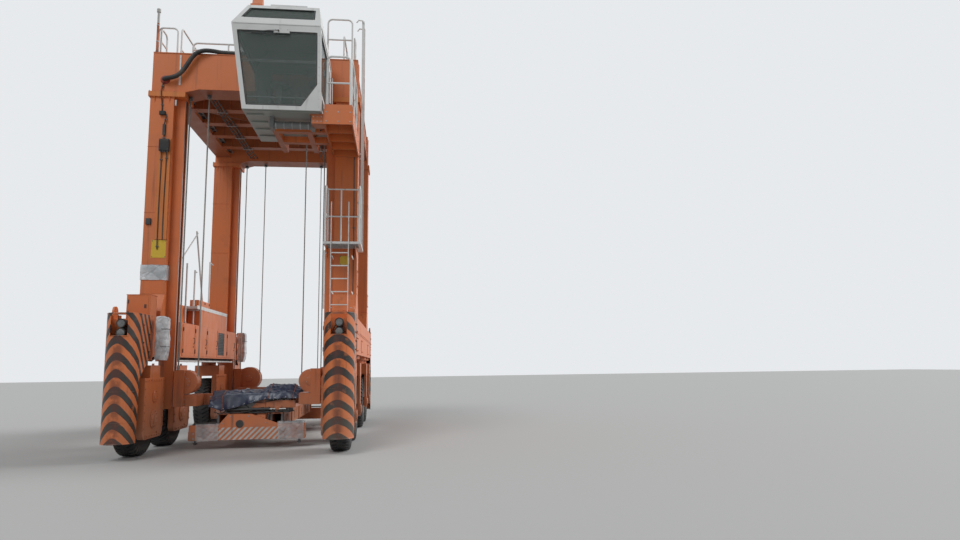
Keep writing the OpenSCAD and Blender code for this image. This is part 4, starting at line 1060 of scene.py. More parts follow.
def add_fork_fittings(wheel):
    """The bearing cap outside, and the drive case's cover inside with its round covers and bolts."""
    _, y, z = wheel_middle(wheel)
    low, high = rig.box("fork_" + wheel)
    out = 1 if low.x > 0 else -1
    outer, inner = max(abs(low.x), abs(high.x)), min(abs(low.x), abs(high.x))
    away, inward = (out, 0, 0), (-out, 0, 0)
    form = Form()
    form.turned([(0.150, 0), (0.150, 0.008), (0.142, 0.012)], (out * (outer - 0.001), y, z), away, 40)
    form.turned([(0.105, 0), (0.105, 0.018), (0.096, 0.026), (0.060, 0.029)],
                (out * (outer + 0.010), y, z), away, 40)
    form.bolts(ring((out * (outer + 0.011), y, z), away, 0.127, 12), away, 0.011, 0.012)
    face = out * inner
    head = face - out * 0.010
    for dy in (-DRIVE_HALF_Y, DRIVE_HALF_Y):
        form.box((face - 0.010, y + dy - 0.03, z - 0.20), (face + 0.010, y + dy + 0.03, z + 0.83), 0.003)
        form.bolts([(head, y + dy, z - 0.16 + k * 0.157) for k in range(7)], inward, 0.012, 0.012)
    for dz in (DRIVE_FOOT, DRIVE_HEAD):
        form.box((face - 0.010, y - 0.44, z + dz - 0.03), (face + 0.010, y + 0.44, z + dz + 0.03), 0.003)
        form.bolts([(head, y - 0.38 + k * 0.152, z + dz) for k in range(6)], inward, 0.012, 0.012)
    for dy, dz, r in DRIVE_COVERS:
        form.turned([(r, 0), (r, 0.016), (r - 0.012, 0.024), (r * 0.55, 0.024), (r * 0.50, 0.036),
                     (r * 0.2, 0.038)],
                    (face, y + dy, z + dz), inward, 40)
        form.bolts(ring((face - out * 0.022, y + dy, z + dz), inward, r * 0.80, 10), inward, 0.010, 0.010)
    form.bolts([(face, y + 0.24, z - 0.29)], inward, 0.022, 0.02)
    # Gussets between the neck and the bridge
    neck = out * (inner + 0.13)
    for dy in (-0.24, 0.24):
        form.box((neck - 0.011, y + dy - 0.05, 1.858), (neck + 0.011, y + dy + 0.05, 1.90))
    piece(form, "fork_fittings_" + wheel, "orange_low", "steering_" + wheel)


for wheel in WHEELS:
    add_tyre(wheel)
    add_hub(wheel)
    add_fork_fittings(wheel)


# Wheel guards and headlamps

GUARD_LOW = 0.35
GUARD_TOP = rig.box("wheel_guards")[1].z
CHEEK_END = 4.0
LAMP_HOLE = (2.44, 2.86)
LAMP_HOLE_HALF = 0.168
LAMP_HEIGHTS = (2.508, 2.698)
NOSE_FRONT = 4.56
LAMP_OUT = 0.240
BEAM_LOW, BEAM_TOP = 2.04, 2.84


def add_guard_trim(side, end, name):
    """Beads along a guard's edges, its bolts, and the lamp opening's frame."""
    spot = sided(side, end)

    def around(angle, radius, z):
        return spot(GUARD_X + radius * math.sin(angle), NOSE_Y + radius * math.cos(angle), z)

    form = Form()
    half_turn = [math.radians(a) for a in range(-90, 91, 6)]
    for z in (GUARD_LOW, GUARD_TOP):
        form.tube([around(a, NOSE_R - 0.008, z) for a in half_turn], 0.013)
    for x in (GUARD_X - NOSE_R + 0.008, GUARD_X + NOSE_R - 0.008):
        form.bent([(x, NOSE_Y, GUARD_LOW), (x, 4.60, GUARD_LOW), (x, NOSE_FRONT, 1.60), (x, CHEEK_END, 2.05)],
                  0.013, spot=spot)
        form.bent([(x, NOSE_Y, GUARD_TOP), (x, CHEEK_END, GUARD_TOP)], 0.013, spot=spot)
    for face in SIDES:
        form.bolts(grid(GUARD_X + face * NOSE_R, (4.10, 4.42), (2.14, 2.32, 2.50, 2.68), spot),
                   (side * face, 0, 0))
    for z in (0.75, 1.35, 1.95):
        form.tube([around(a, NOSE_R + 0.001, z) for a in half_turn], 0.004, 6)
    edge = math.asin(LAMP_HOLE_HALF / NOSE_R)
    angles = [edge * k / 4 for k in range(-4, 5)]
    opening = [around(a, NOSE_R + 0.002, LAMP_HOLE[0] - 0.004) for a in angles]
    opening += [around(a, NOSE_R + 0.002, LAMP_HOLE[1] + 0.004) for a in angles[::-1]]
    form.tube(opening + opening[:2], 0.010)
    piece(form, "guard_trim_" + name, "guard")


def add_headlamps(side, end, name):
    """Two lamps in a guard's opening, with their lenses and their cable."""
    spot = sided(side, end)
    lamps, lenses = Form(), Form()
    forward = Vector((0, end, 0))
    for z in LAMP_HEIGHTS:
        front = spot(GUARD_X, NOSE_FRONT + LAMP_OUT, z)
        lamps.turned([(0.080, -0.03), (0.088, -0.026), (0.090, 0.006), (0.084, 0.012), (0.074, 0.008)],
                     front, forward, 36)
        lamps.turned([(0.030, 0), (0.045, 0.05), (0.045, 0.07)], spot(GUARD_X, NOSE_FRONT + 0.02, z),
                     forward, 16)
        lenses.turned([(0.074, 0), (0.073, 0.006), (0.055, 0.011), (0.028, 0.0135), (0.004, 0.014)],
                      front + forward * 0.001, forward, 36)
        for a in (0.8, 2.35, 3.9, 5.5):
            lamps.bolts(ring(front + forward * 0.011, forward, 0.079, 1, a), forward, 0.005, 0.005)
    lamps.line([(GUARD_X - 0.06, NOSE_FRONT + 0.10, LAMP_HEIGHTS[1] - 0.02),
                (GUARD_X - 0.13, NOSE_FRONT + 0.09, 2.55), (GUARD_X - 0.15, NOSE_FRONT + 0.05, 2.36),
                (GUARD_X - 0.15, NOSE_FRONT + 0.015, 2.20)], 0.010, 6, spot=spot)
    piece(lamps, "headlamp_rims_" + name, "black")
    piece(lenses, "headlamp_lenses_" + name, "lens")


def add_nose_fittings(side, end, name):
    """Worn rings in the lashing eye, and the bolted top plate of the beam's nose."""
    spot = sided(side, end)
    top = Form()
    for out in SIDES:
        top.turned([(0.037, 0), (0.058, 0), (0.058, 0.004), (0.052, 0.008), (0.037, 0.008)],
                   spot(2.405, 4.40, 2.95) + Vector((out * 0.020, 0, 0)), (out, 0, 0), 32)
    top.box(spot(1.87, 4.05, 2.780), spot(2.37, 4.52, 2.790), 0.003)
    top.bolts(grid((1.90, 2.12, 2.34), (4.08, 4.49), 2.790, spot), UP, 0.014)
    piece(top, "nose_fittings_" + name, "orange")


for side, end in CORNERS:
    corner_name = f"{end_name(end)}_{side_name(side)}"
    add_guard_trim(side, end, corner_name)
    add_headlamps(side, end, corner_name)
    add_nose_fittings(side, end, corner_name)


# Side beams

BOXES_END = 2.70
BAYS = 5
SEAMS = [2 * BOXES_END * (i / BAYS - 0.5) for i in range(BAYS + 1)]
COLUMN_GAP = 2.585
LANE_X = 1.60
OUTER_X = 2.449
AXLES = (-3.8, -1.85, 1.85, 3.8)
VENT_BAY = 3
VENT_Y = (0.62, 1.30)
VENT_Z = (2.13, 2.75)
DOOR_Z = (2.075, 2.805)
# Pipes under a side beam: finish, x, z, radius, sag between the clamps
PIPES = (("hose", 1.72, 2.005, 0.024, 0.006), ("hose", 1.785, 2.000, 0.020, 0.008),
         ("white", 1.655, 1.955, 0.022, 0.0), ("steel", 2.28, 2.012, 0.016, 0.0))
PIPES_END = 2.6
CLAMP_PITCH = 0.65


def add_vent(doors, dark, spot, side, y0, y1):
    """A bay with a dark louvred vent in a raised frame."""
    for z0, z1 in ((DOOR_Z[0], VENT_Z[0]), (VENT_Z[1], DOOR_Z[1])):
        doors.box(spot(LANE_X - 0.012, y0, z0), spot(LANE_X, y1, z1))
    for a, b in ((y0, VENT_Y[0]), (VENT_Y[1], y1)):
        doors.box(spot(LANE_X - 0.012, a, VENT_Z[0]), spot(LANE_X, b, VENT_Z[1]))
    dark.box(spot(LANE_X - 0.002, VENT_Y[0], VENT_Z[0]), spot(LANE_X + 0.02, VENT_Y[1], VENT_Z[1]), 0.001)
    slat = Vector((0.003, 0.335, 0.020))
    for i in range(13):
        middle = spot(LANE_X - 0.004, sum(VENT_Y) / 2, 2.17 + i * 0.0445)
        dark.box(middle - slat, middle + slat, 0.001, Matrix.Rotation(side * 0.7, 3, "Y"))


def add_box_door(doors, dark, spot, side, y0, y1):
    """A door with a pressed inner panel, two hinges, a handle and a lock."""
    inward = (-side, 0, 0)
    doors.box(spot(LANE_X - 0.010, y0, DOOR_Z[0]), spot(LANE_X, y1, DOOR_Z[1]))
    doors.box(spot(LANE_X - 0.0135, y0 + 0.07, 2.15), spot(LANE_X - 0.009, y1 - 0.07, 2.73), 0.003)
    for z in (2.19, 2.69):
        dark.rod(*grid(LANE_X - 0.014, y0 + 0.014, (z - 0.05, z + 0.05), spot), 0.011)
        dark.box(spot(LANE_X - 0.013, y0 + 0.02, z - 0.035), spot(LANE_X - 0.010, y0 + 0.075, z + 0.035),
                 0.001)
        dark.bolts(grid(LANE_X - 0.013, y0 + 0.055, (z - 0.02, z + 0.02), spot), inward, 0.006, 0.005)
    grip = y1 - 0.10
    dark.bent([(LANE_X - x, grip, z) for x, z in
               ((0.010, 2.37), (0.042, 2.38), (0.046, 2.44), (0.042, 2.50), (0.010, 2.51))], 0.009, spot=spot)
    dark.turned([(0.020, 0), (0.020, 0.006), (0.012, 0.012)], spot(LANE_X - 0.0135, grip, 2.30), inward, 16)


def add_beam_plates(side, spot, name):
    """Access plates over the slewing rings, a rubbing strip, and web stiffeners under the beam."""
    plates = Form()
    out = (side, 0, 0)
    for y in AXLES:
        plates.box(spot(OUTER_X, y - 0.22, 2.10), spot(OUTER_X + 0.009, y + 0.22, 2.42), 0.003)
        plates.bolts(grid(OUTER_X + 0.009, (y - 0.19, y, y + 0.19), (2.13, 2.39), spot), out, 0.010, 0.010)
    plates.box(spot(OUTER_X, -3.98, 2.50), spot(OUTER_X + 0.013, 3.98, 2.56))
    plates.bolts(grid(OUTER_X + 0.013, [-3.9 + k * 0.52 for k in range(16)], 2.53, spot), out, 0.009, 0.008)
    for y in (-2.85, -0.95, 0.0, 0.95, 2.85):
        plates.box(spot(1.90, y - 0.008, 2.005), spot(2.40, y + 0.008, BEAM_LOW + 0.001), 0.002)
    piece(plates, "beam_plates_" + name, "orange")


def add_under_beam_pipes(spot, name):
    forms = {finish: Form() for finish, *_ in PIPES}
    for finish, x, z, r, sag in PIPES:
        forms[finish].tube([spot(x, y, z - sag * abs(math.sin(math.pi * (y + PIPES_END) / CLAMP_PITCH)))
                            for y in np.arange(-PIPES_END, PIPES_END + 0.01, CLAMP_PITCH / 8)], r, 10)
    for y in np.arange(-PIPES_END, PIPES_END + 0.01, CLAMP_PITCH):
        forms["steel"].box(spot(1.63, y - 0.018, 2.020), spot(1.815, y + 0.018, BEAM_LOW + 0.001), 0.002)
        forms["steel"].box(spot(1.648, y - 0.015, 1.928), spot(1.662, y + 0.015, 2.03), 0.002)
    for finish, form in forms.items():
        piece(form, f"under_beam_{finish}_{name}", finish)


def add_steering_lines(spot, name):
    """Brake and steering lines that drop from the beam to each wheel's fork."""
    drops = Form()
    for y in AXLES:
        for k in range(3):
            x, back = 1.90 + 0.03 * k, y + 0.33 + 0.05 * k
            drops.line([(x, back, 2.045), (x + 0.01, back - 0.01, 1.99), (1.97, back - 0.06, 1.955),
                        (2.03, y + 0.27, 1.975), (2.05, y + 0.25, 2.00)], 0.011, 6, spot=spot)
    piece(drops, "steering_lines_" + name, "hose")


def add_beam_fittings(side):
    name, spot = side_name(side), sided(side)
    doors, dark = Form(), Form()
    for k, (y0, y1) in enumerate(zip(SEAMS, SEAMS[1:])):
        y0, y1 = max(y0 + 0.018, -COLUMN_GAP), min(y1 - 0.018, COLUMN_GAP)
        add_bay = add_vent if side < 0 and k == VENT_BAY else add_box_door
        add_bay(doors, dark, spot, side, y0, y1)
    piece(doors, "box_doors_" + name, "orange")
    piece(dark, "door_hardware_" + name, "black")
    add_beam_plates(side, spot, name)
    add_under_beam_pipes(spot, name)
    add_steering_lines(spot, name)


for side in SIDES:
    add_beam_fittings(side)


# Columns

COLUMN_IN, COLUMN_OUT = 1.85, 2.38
COLUMN_INNER_Y, COLUMN_OUTER_Y = 2.57, 3.17
COLLAR_LOW, COLLAR_HIGH = 8.05, 8.17
COLLAR_Y = (2.549, 3.191)
FOOT_Z = 3.040
WELDS = (3.445, 5.30, 6.85)
RAIL_GREASED = (0.95, 8.02)


def add_column_fittings(side, end):
    spot = sided(side, end)
    name = f"{end_name(end)}_{side_name(side)}"
    form = Form()
    # Bolts around the collar, above and below
    around = [(x, y) for x in np.linspace(1.63, 2.40, 8) for y in COLLAR_Y]
    around += [(2.401, y) for y in np.linspace(2.62, 3.12, 6)]
    form.bolts([spot(x, y, COLLAR_LOW) for x, y in around], DOWN, 0.013, 0.018)
    form.bolts([spot(x, y, COLLAR_HIGH) for x, y in around if x > 1.66], UP, 0.013, 0.018)
    # Gussets under the collar, weld beads, an access cover and the foot's flange bolts
    for x in (1.95, 2.115, 2.28):
        for y, out in ((COLUMN_INNER_Y + 0.002, -0.035), (COLUMN_OUTER_Y - 0.002, 0.035)):
            form.plate([(0, 0), (out, 0), (0, -0.16)], spot(x - 0.006, y, COLLAR_LOW), (0, end, 0), UP,
                       side * end * 0.012)
    low_y, high_y, x = COLUMN_INNER_Y - 0.003, COLUMN_OUTER_Y + 0.003, COLUMN_OUT + 0.003
    for z in WELDS:
        form.bent([(COLUMN_IN, low_y, z), (COLUMN_IN, high_y, z), (x, high_y, z), (x, low_y, z),
                   (COLUMN_IN, low_y, z)], 0.005, 6, spot)
    form.box(spot(COLUMN_OUT - 0.001, 2.70, 3.62), spot(COLUMN_OUT + 0.010, 3.04, 4.02), 0.003)
    form.bolts(grid(COLUMN_OUT + 0.010, (2.73, COLUMN_Y, 3.01), (3.65, 3.99), spot), (side, 0, 0), 0.010,
               0.010)
    for y, lean in ((2.365, -0.35), (3.375, 0.35)):
        form.bolts(grid(np.linspace(1.90, 2.33, 5), y, FOOT_Z, spot), (0, lean * end, 1), 0.015, 0.018)
    form.box(spot(1.83, 2.335, BEAM_TOP - 0.002), spot(2.40, 3.405, BEAM_TOP + 0.010), 0.003)
    piece(form, "column_fittings_" + name, "column")
    strips = Form()
    for y in (2.765, 2.975):
        strips.box(spot(1.6385, y - 0.018, RAIL_GREASED[0]), spot(1.6402, y + 0.018, RAIL_GREASED[1]), 0.0005)
    piece(strips, "rail_wear_strips_" + name, "bright_steel")


for side, end in CORNERS:
    add_column_fittings(side, end)


COLUMN_FACE = -3.171
# Boxes on the front columns: finish, then (low corner, high corner) pairs
COLUMN_BOXES = {
    "yellow": [((-2.19, -3.178, 4.26), (-1.87, COLUMN_FACE, 4.67)),
               ((1.99, -3.178, 4.12), (2.22, COLUMN_FACE, 4.33))],
    # Two thin ribs at the left front column's inner edge; their white is a painted highlight of a lit edge
    "white": [((-1.765, -3.188, 8.34), (-1.725, COLUMN_FACE, 9.08)),
              ((-1.83, -3.186, 7.84), (-1.79, COLUMN_FACE, 7.98))],
    "black": [((-2.11, -3.275, 6.73), (-1.89, -3.196, 7.01)),
              ((-2.15, -3.235, 7.60), (-2.02, COLUMN_FACE, 7.69)),
              ((-2.065, -3.215, 7.12), (-2.005, COLUMN_FACE, 7.38)),
              ((-2.33, -3.212, 5.02), (-2.22, COLUMN_FACE, 5.16))],
    "gasket": [((-2.10, -3.281, 6.745), (-1.90, -3.276, 6.995)),
               ((-2.145, -3.240, 7.61), (-2.025, -3.236, 7.68))],
}
# Lines on the front columns: radius, points
COLUMN_LINES = [
    (0.012, [(-2.00, -3.19, 7.62), (-2.00, -3.215, 7.52), (-2.03, -3.21, 7.38)]),
    (0.012, [(-2.035, -3.20, 7.13), (-2.03, -3.22, 7.06), (-2.02, -3.235, 7.01)]),
    (0.014, [(-2.06, -3.20, 8.44), (-2.11, -3.20, 8.34), (-2.13, -3.22, 8.16), (-2.12, -3.215, 8.00),
             (-2.11, -3.19, 7.90), (-2.10, -3.188, 7.69)]),
    (0.011, [(-1.95, -3.24, 6.73), (-1.945, -3.225, 6.60), (-1.95, -3.208, 6.40), (-1.96, -3.204, 5.50),
             (-1.955, -3.206, 4.66)]),
    (0.011, [(-2.05, -3.24, 6.73), (-2.06, -3.225, 6.58), (-2.06, -3.208, 6.30), (-2.065, -3.204, 5.40),
             (-2.06, -3.206, 4.60), (-2.06, -3.186, 4.45)]),
    (0.010, [(2.30, -3.184, 3.50), (2.305, -3.184, 4.50), (2.30, -3.184, 6.60), (2.29, -3.19, 6.72)]),
]


def add_column_equipment():
    for finish, boxes in COLUMN_BOXES.items():
        form = Form()
        for low, high in boxes:
            form.box(at(*low), at(*high))
        piece(form, "column_boxes_" + finish, finish)
    lines, small = Form(), Form()
    for radius, points in COLUMN_LINES:
        path = smooth_path([at(*p) for p in points], 8)
        lines.tube(path, radius, 10)
        for p in path[10::24]:
            small.box(p - Vector((0.030, 0.006, 0.010)), p + Vector((0.030, 0.014 + radius, 0.010)), 0.002)
    sign_face = -3.178
    small.bolts(grid((-2.17, -1.89), sign_face, (4.285, 4.645)), FRONT, 0.008, 0.006)
    small.bolts(grid((2.005, 2.205), sign_face, (4.135, 4.315)), FRONT, 0.008, 0.006)
    small.bolts(grid((-2.085, -1.915), -3.281, (6.76, 6.98)), FRONT, 0.007, 0.006)
    for x in (-2.08, -2.03, -1.98, -1.93):
        small.turned([(0.016, 0), (0.016, 0.016), (0.012, 0.03)], at(x, -3.235, 6.730), DOWN, 12)
    piece(lines, "column_cables", "hose")
    piece(small, "column_clamps", "steel")


def add_hose_socket():
    x, _, z = HOSE_ROUTE[0]
    socket = Form().turned([(0.105, 0), (0.105, 0.012), (0.082, 0.020), (0.076, 0.055), (0.064, 0.058)],
                           at(x, COLUMN_FACE, z), FRONT, 36)
    socket.bolts(ring(at(x, COLUMN_FACE - 0.012, z), FRONT, 0.092, 8), FRONT, 0.008, 0.007)
    piece(socket, "hose_socket", "red")


BAND_ROWS, BAND_AROUND = 9, 72
BAND_LOW, BAND_HEIGHT = 3.76, 0.34
BAND_GAP = 0.008


def add_column_film():
    """Film wrapped around the left front column, in slack turns."""
    left, right = -COLUMN_OUT - BAND_GAP, -COLUMN_IN + BAND_GAP
    front, rear = -COLUMN_OUTER_Y - BAND_GAP, -COLUMN_INNER_Y + BAND_GAP
    corners = [(left, front), (right, front), (right, rear), (left, rear)]
    middle = Vector((-(COLUMN_IN + COLUMN_OUT) / 2, -COLUMN_Y, 0))
    points = []
    for row in range(BAND_ROWS):
        z = BAND_LOW + BAND_HEIGHT * row / (BAND_ROWS - 1)
        for k in range(BAND_AROUND):
            wall, share = divmod(4 * k / BAND_AROUND, 1)
            a, b = corners[int(wall)], corners[(int(wall) + 1) % 4]
            x, y = a[0] + (b[0] - a[0]) * share, a[1] + (b[1] - a[1]) * share
            p = at(x, y, z)
            wide, fine = noise.noise(p * 5 + Vector((3, 0, 1))), noise.noise(p * 17)
            loose = 0.004 + 0.012 * abs(wide) + 0.010 * max(0, fine)
            away = (Vector((x, y, 0)) - middle).normalized()
            lift = Vector((0, 0, 0.014 * noise.noise(Vector((k * 0.31, row * 0.9, 5)))))
            points.append(p + away * loose + lift)
    piece(Form().add(points, hoops(BAND_ROWS, BAND_AROUND)), "column_film_band", "wrap", smooth=70)


add_column_equipment()
add_hose_socket()
add_column_film()


# Hoist ropes, which shorten as the carriages rise

HOIST_TRAVEL = 5.8
ROPE_TOP = 8.235
ROPE_TURNS = 180
ROPE_APART = 0.03
# The rope sheaves at the front and rear end: x, z, radius of the sheave's case, radius of the ropes on it
SHEAVES = {-1: (1.36, 1.48, 0.25, 0.215), 1: (1.16, 1.46, 0.33, 0.29)}
ROPE_GUIDE = [(0.045, 0), (0.060, 0.004), (0.060, 0.014), (0.042, 0.020), (0.042, 0.045), (0.060, 0.052),
              (0.060, 0.062)]


def add_ropes():
    guides = Form()
    # Twisted strands show as a slight wave of the radius
    radii = [0.0095 if k % 2 else 0.0086 for k in range(ROPE_TURNS + 1)]
    for side in SIDES:
        for end, (sheave_x, low, _, rope_r) in SHEAVES.items():
            spot = sided(side, end)
            form = Form()
            for x in (sheave_x - rope_r, sheave_x + rope_r):
                for y in (COLUMN_Y - ROPE_APART, COLUMN_Y + ROPE_APART):
                    form.tube([spot(x, y, low + (ROPE_TOP - low) * k / ROPE_TURNS)
                               for k in range(ROPE_TURNS + 1)],
                              radii)
                guides.turned(ROPE_GUIDE, spot(x, COLUMN_Y, 8.165 if x > 1.3 else 8.225), DOWN, 24)
            ropes = piece(form, f"hoist_ropes_{end_name(end)}_{side_name(side)}", "rope")
            length = ROPE_TOP - low
            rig.squash(ropes, "hoist_lift", (0, 0, 1), spot(0, COLUMN_Y, ROPE_TOP),
                      (length - HOIST_TRAVEL) / length)
    piece(guides, "rope_guides", "steel")


add_ropes()


# Top frame

FRAME_Z = 9.14
CROSS_OUT = 2.36
HAUNCH = [(0, 0), (0.315, 0.082), (0.315, 0.107), (0, 0.025)]
SIDE_BEAM_X = 2.325
SIDE_BEAM_Z = (8.362, 8.985)
TRAY_X = (1.80, 1.90)
TRAY_END = 2.45


def add_cross_beam_plates(form, end):
    """Flange lips along both long edges of an end beam, haunches, bolts and splice plates."""
    spot = sided(1, end)
    for y, out in ((COLUMN_OUTER_Y, 1), (COLUMN_INNER_Y, -1)):
        form.box(spot(-CROSS_OUT, y, FRAME_Z - 0.025), spot(CROSS_OUT, y + out * 0.012, FRAME_Z), 0.003)
        form.box(spot(-1.28, y, 8.25), spot(1.28, y + out * 0.012, 8.275), 0.003)
        for s in SIDES:
            origin = spot(s * LANE_X, y if out * end > 0 else y + out * 0.012, COLLAR_HIGH)
            form.plate(HAUNCH, origin, (-s, 0, 0), UP, s * end * out * 0.012)
    form.bolts(grid(np.arange(-2.1, 2.2, 0.7), (2.62, 3.12), FRAME_Z, spot), UP, 0.012, 0.012)
    for side in SIDES:
        corner = sided(side, end)
        form.box(corner(SIDE_BEAM_X, 2.20, 8.44), corner(2.337, COLUMN_INNER_Y, 8.93), 0.003)
        form.bolts(grid(2.337, (2.24, 2.33, 2.42), (8.50, 8.60, 8.70, 8.80, 8.88), corner), (side, 0, 0),
                   0.012)
        form.box(corner(CROSS_OUT, 2.80, 8.20), corner(CROSS_OUT + 0.012, 2.95, 9.12), 0.003)


def add_side_beam_plates(form, trays, lines, side):
    """Lips and ribs outside a top side beam; inside it a cable tray with rungs and three cables."""
    spot = sided(side)
    for z in SIDE_BEAM_Z:
        form.box(spot(SIDE_BEAM_X, -COLUMN_INNER_Y, z), spot(SIDE_BEAM_X + 0.018, COLUMN_INNER_Y, z + 0.018),
                 0.003)
    for y in np.arange(-2.05, 2.1, 0.82):
        form.box(spot(SIDE_BEAM_X, y - 0.006, 8.38), spot(SIDE_BEAM_X + 0.013, y + 0.006, SIDE_BEAM_Z[1]),
                 0.002)
    for x in TRAY_X:
        trays.box(spot(x, -TRAY_END, 8.44), spot(x + 0.003, TRAY_END, 8.50), 0.001)
    for y in np.arange(-2.4, TRAY_END, 0.3):
        trays.box(spot(TRAY_X[0], y - 0.012, 8.438), spot(TRAY_X[1] + 0.003, y + 0.012, 8.444), 0.001)
    for k in range(3):
        lines.tube([spot(1.825 + 0.026 * k + 0.006 * math.sin(3 * y + k), y, 8.457)
                    for y in np.arange(-2.44, TRAY_END, 0.15)], 0.011)


MEMBERS = 4
MEMBER_HALF = 0.13
LOWER_LINES = (-1.25, -1.17, -1.08, 0.92, 1.02)
LOWER_TRAYS = ((-1.30, -1.03), (0.88, 1.06))


def add_underside(form, trays, lines):
    """Lower flanges, ribs and bolts of the cross members, and the lines that hang under them."""
    low, high = span("top_cross_members")
    step = (high.y - low.y - 0.2) / (MEMBERS - 1)
    ends = (low.x + 0.08, low.x + 0.16, high.x - 0.16, high.x - 0.08)
    member_ys = [low.y + 0.1 + i * step for i in range(MEMBERS)]
    for y in member_ys:
        form.box(at(low.x, y - MEMBER_HALF, low.z - 0.014), at(high.x, y + MEMBER_HALF, low.z), 0.003)
        for x in np.arange(low.x + 0.3, high.x, 0.65):
            for s in ENDS:
                form.box(at(x - 0.005, y + s * 0.128, low.z), at(x + 0.005, y + s * 0.10, high.z - 0.01),
                         0.002)
        form.bolts(grid(ends, (y - 0.09, y, y + 0.09), low.z - 0.014), DOWN, 0.012)
    for k, x in enumerate(LOWER_LINES):
        lines.tube([at(x + 0.01 * math.sin(2.1 * y + k), y,
                       low.z - 0.035 - 0.008 * abs(math.sin(math.pi * (y - low.y) / step)))
                    for y in np.arange(-2.52, 2.53, 0.09)], 0.016 - 0.002 * (k % 2), 10)
    for y in member_ys:
        for x0, x1 in LOWER_TRAYS:
            trays.box(at(x0, y - 0.02, low.z - 0.056), at(x1, y + 0.02, low.z - 0.050), 0.001)
            for x in (x0, x1):
                trays.rod(at(x, y, low.z - 0.053), at(x, y, low.z - 0.012), 0.006, 8)


def add_top_fittings():
    plates, lines, trays = Form(), Form(), Form()
    for end in ENDS:
        add_cross_beam_plates(plates, end)
    for side in SIDES:
        add_side_beam_plates(plates, trays, lines, side)
    add_underside(plates, trays, lines)
    piece(plates, "top_frame_plates", "orange")
    piece(lines, "top_frame_lines", "hose")
    piece(trays, "cable_trays", "galvanized")


add_top_fittings()


# Cab

CAB_LEFT, CAB_RIGHT = 0.21, 1.76
CAB_Z, HEADER_Z, ROOF_Z = 6.92, 8.65, 9.14
CAB_REAR, CAB_FLOOR_Y, CAB_HEADER_Y = -3.52, -5.57, -5.79
ROOF_LEFT = 0.27
DOOR_FRONT, DOOR_REAR = -4.329, -3.785
DOOR_POST_Y = -4.415
FRONT_OUT = (0, -1, -0.127)


def wall_share(z):
    return (z - CAB_Z) / (HEADER_Z - CAB_Z)


def roof_share(z):
    return (z - HEADER_Z) / (ROOF_Z - HEADER_Z)


def left_at(z):
    return CAB_LEFT - CAB_LEFT * wall_share(z)


def front_at(z):
    return CAB_FLOOR_Y + (CAB_HEADER_Y - CAB_FLOOR_Y) * wall_share(z)


def on_front(x, z):
    return x, front_at(z), z


def on_header(x, z):
    return x, CAB_HEADER_Y + (CAB_FLOOR_Y - CAB_HEADER_Y) * roof_share(z), z


SILL_Z, RIGHT_SILL_Z, REAR_SILL_Z, DOOR_SILL_Z, HEADER_SILL_Z = 7.01, 7.35, 7.72, 7.42, 8.80
FRONT_HEAD_Z, SIDE_HEAD_Z, DOOR_HEAD_Z, HEADER_HEAD_Z = 8.50, 8.56, 8.47, 9.06
POST, SIDE_POST = 0.09, 0.11
# Each window's outline on its wall, the wall's outward direction, and the body that carries it
WINDOWS = {
    "front": ([on_front(left_at(SILL_Z) + POST, SILL_Z), on_front(1.37, SILL_Z), on_front(1.69, 7.45),
               on_front(1.69, FRONT_HEAD_Z), on_front(left_at(FRONT_HEAD_Z) + POST, FRONT_HEAD_Z)],
              FRONT_OUT, "chassis"),
    "roof": ([on_header(ROOF_LEFT * roof_share(HEADER_SILL_Z) + POST, HEADER_SILL_Z),
              on_header(1.63, HEADER_SILL_Z),
              on_header(1.63, HEADER_HEAD_Z),
              on_header(ROOF_LEFT * roof_share(HEADER_HEAD_Z) + POST, HEADER_HEAD_Z)],
             (0, -1, 0.45), "chassis"),
    "left": ([(left_at(z), y, z) for y, z in
              ((front_at(SILL_Z) + SIDE_POST, SILL_Z), (front_at(SIDE_HEAD_Z) + SIDE_POST, SIDE_HEAD_Z),
               (CAB_REAR - POST, SIDE_HEAD_Z), (CAB_REAR - POST, SILL_Z))], (-1, 0, -0.121), "chassis"),
    "right": ([(CAB_RIGHT, y, z) for y, z in
               ((front_at(RIGHT_SILL_Z) + SIDE_POST, RIGHT_SILL_Z),
                (front_at(SIDE_HEAD_Z) + SIDE_POST, SIDE_HEAD_Z),
                (DOOR_POST_Y, SIDE_HEAD_Z), (DOOR_POST_Y, RIGHT_SILL_Z))], RIGHT, "chassis"),
    "rear": ([(0.41, CAB_REAR, REAR_SILL_Z), (1.56, CAB_REAR, REAR_SILL_Z), (1.56, CAB_REAR, SIDE_HEAD_Z),
              (0.41, CAB_REAR, SIDE_HEAD_Z)], REAR, "chassis"),
    "door": ([(CAB_RIGHT, -4.245, DOOR_SILL_Z), (CAB_RIGHT, -3.875, DOOR_SILL_Z),
              (CAB_RIGHT, -3.875, DOOR_HEAD_Z),
              (CAB_RIGHT, -4.245, DOOR_HEAD_Z)], RIGHT, "cab_door"),
}
# The seal and the bead in it: name, finish, distance in from the outline, rounding, radius, sides
WINDOW_SEALS = (("gasket", "gasket", 0.006, 0.05, 0.014, 8), ("bead", "plastic", 0.024, 0.045, 0.005, 6))


def rounded_loop(corners, cut, steps=5):
    """A closed path through the corners of a flat outline, rounded off by the length cut."""
    path = []
    for a, b, c in zip(corners[-1:] + corners[:-1], corners, corners[1:] + corners[:1]):
        start, end = b + (a - b).normalized() * cut, b + (c - b).normalized() * cut
        for k in range(steps + 1):
            t = k / steps
            path.append(start * (1 - t) ** 2 + b * 2 * t * (1 - t) + end * t ** 2)
    return path + path[:1]


def add_windows():
    for name, (outline, out, body) in WINDOWS.items():
        corners = [at(*p) - Vector(out).normalized() * 0.012 for p in outline]
        middle = sum(corners, Vector()) / len(corners)
        for kind, finish, inset, cut, radius, sides in WINDOW_SEALS:
            shrunk = [p + (middle - p).normalized() * inset for p in corners]
            piece(Form().tube(rounded_loop(shrunk, cut), radius, sides), f"window_{kind}_{name}", finish,
                  body)


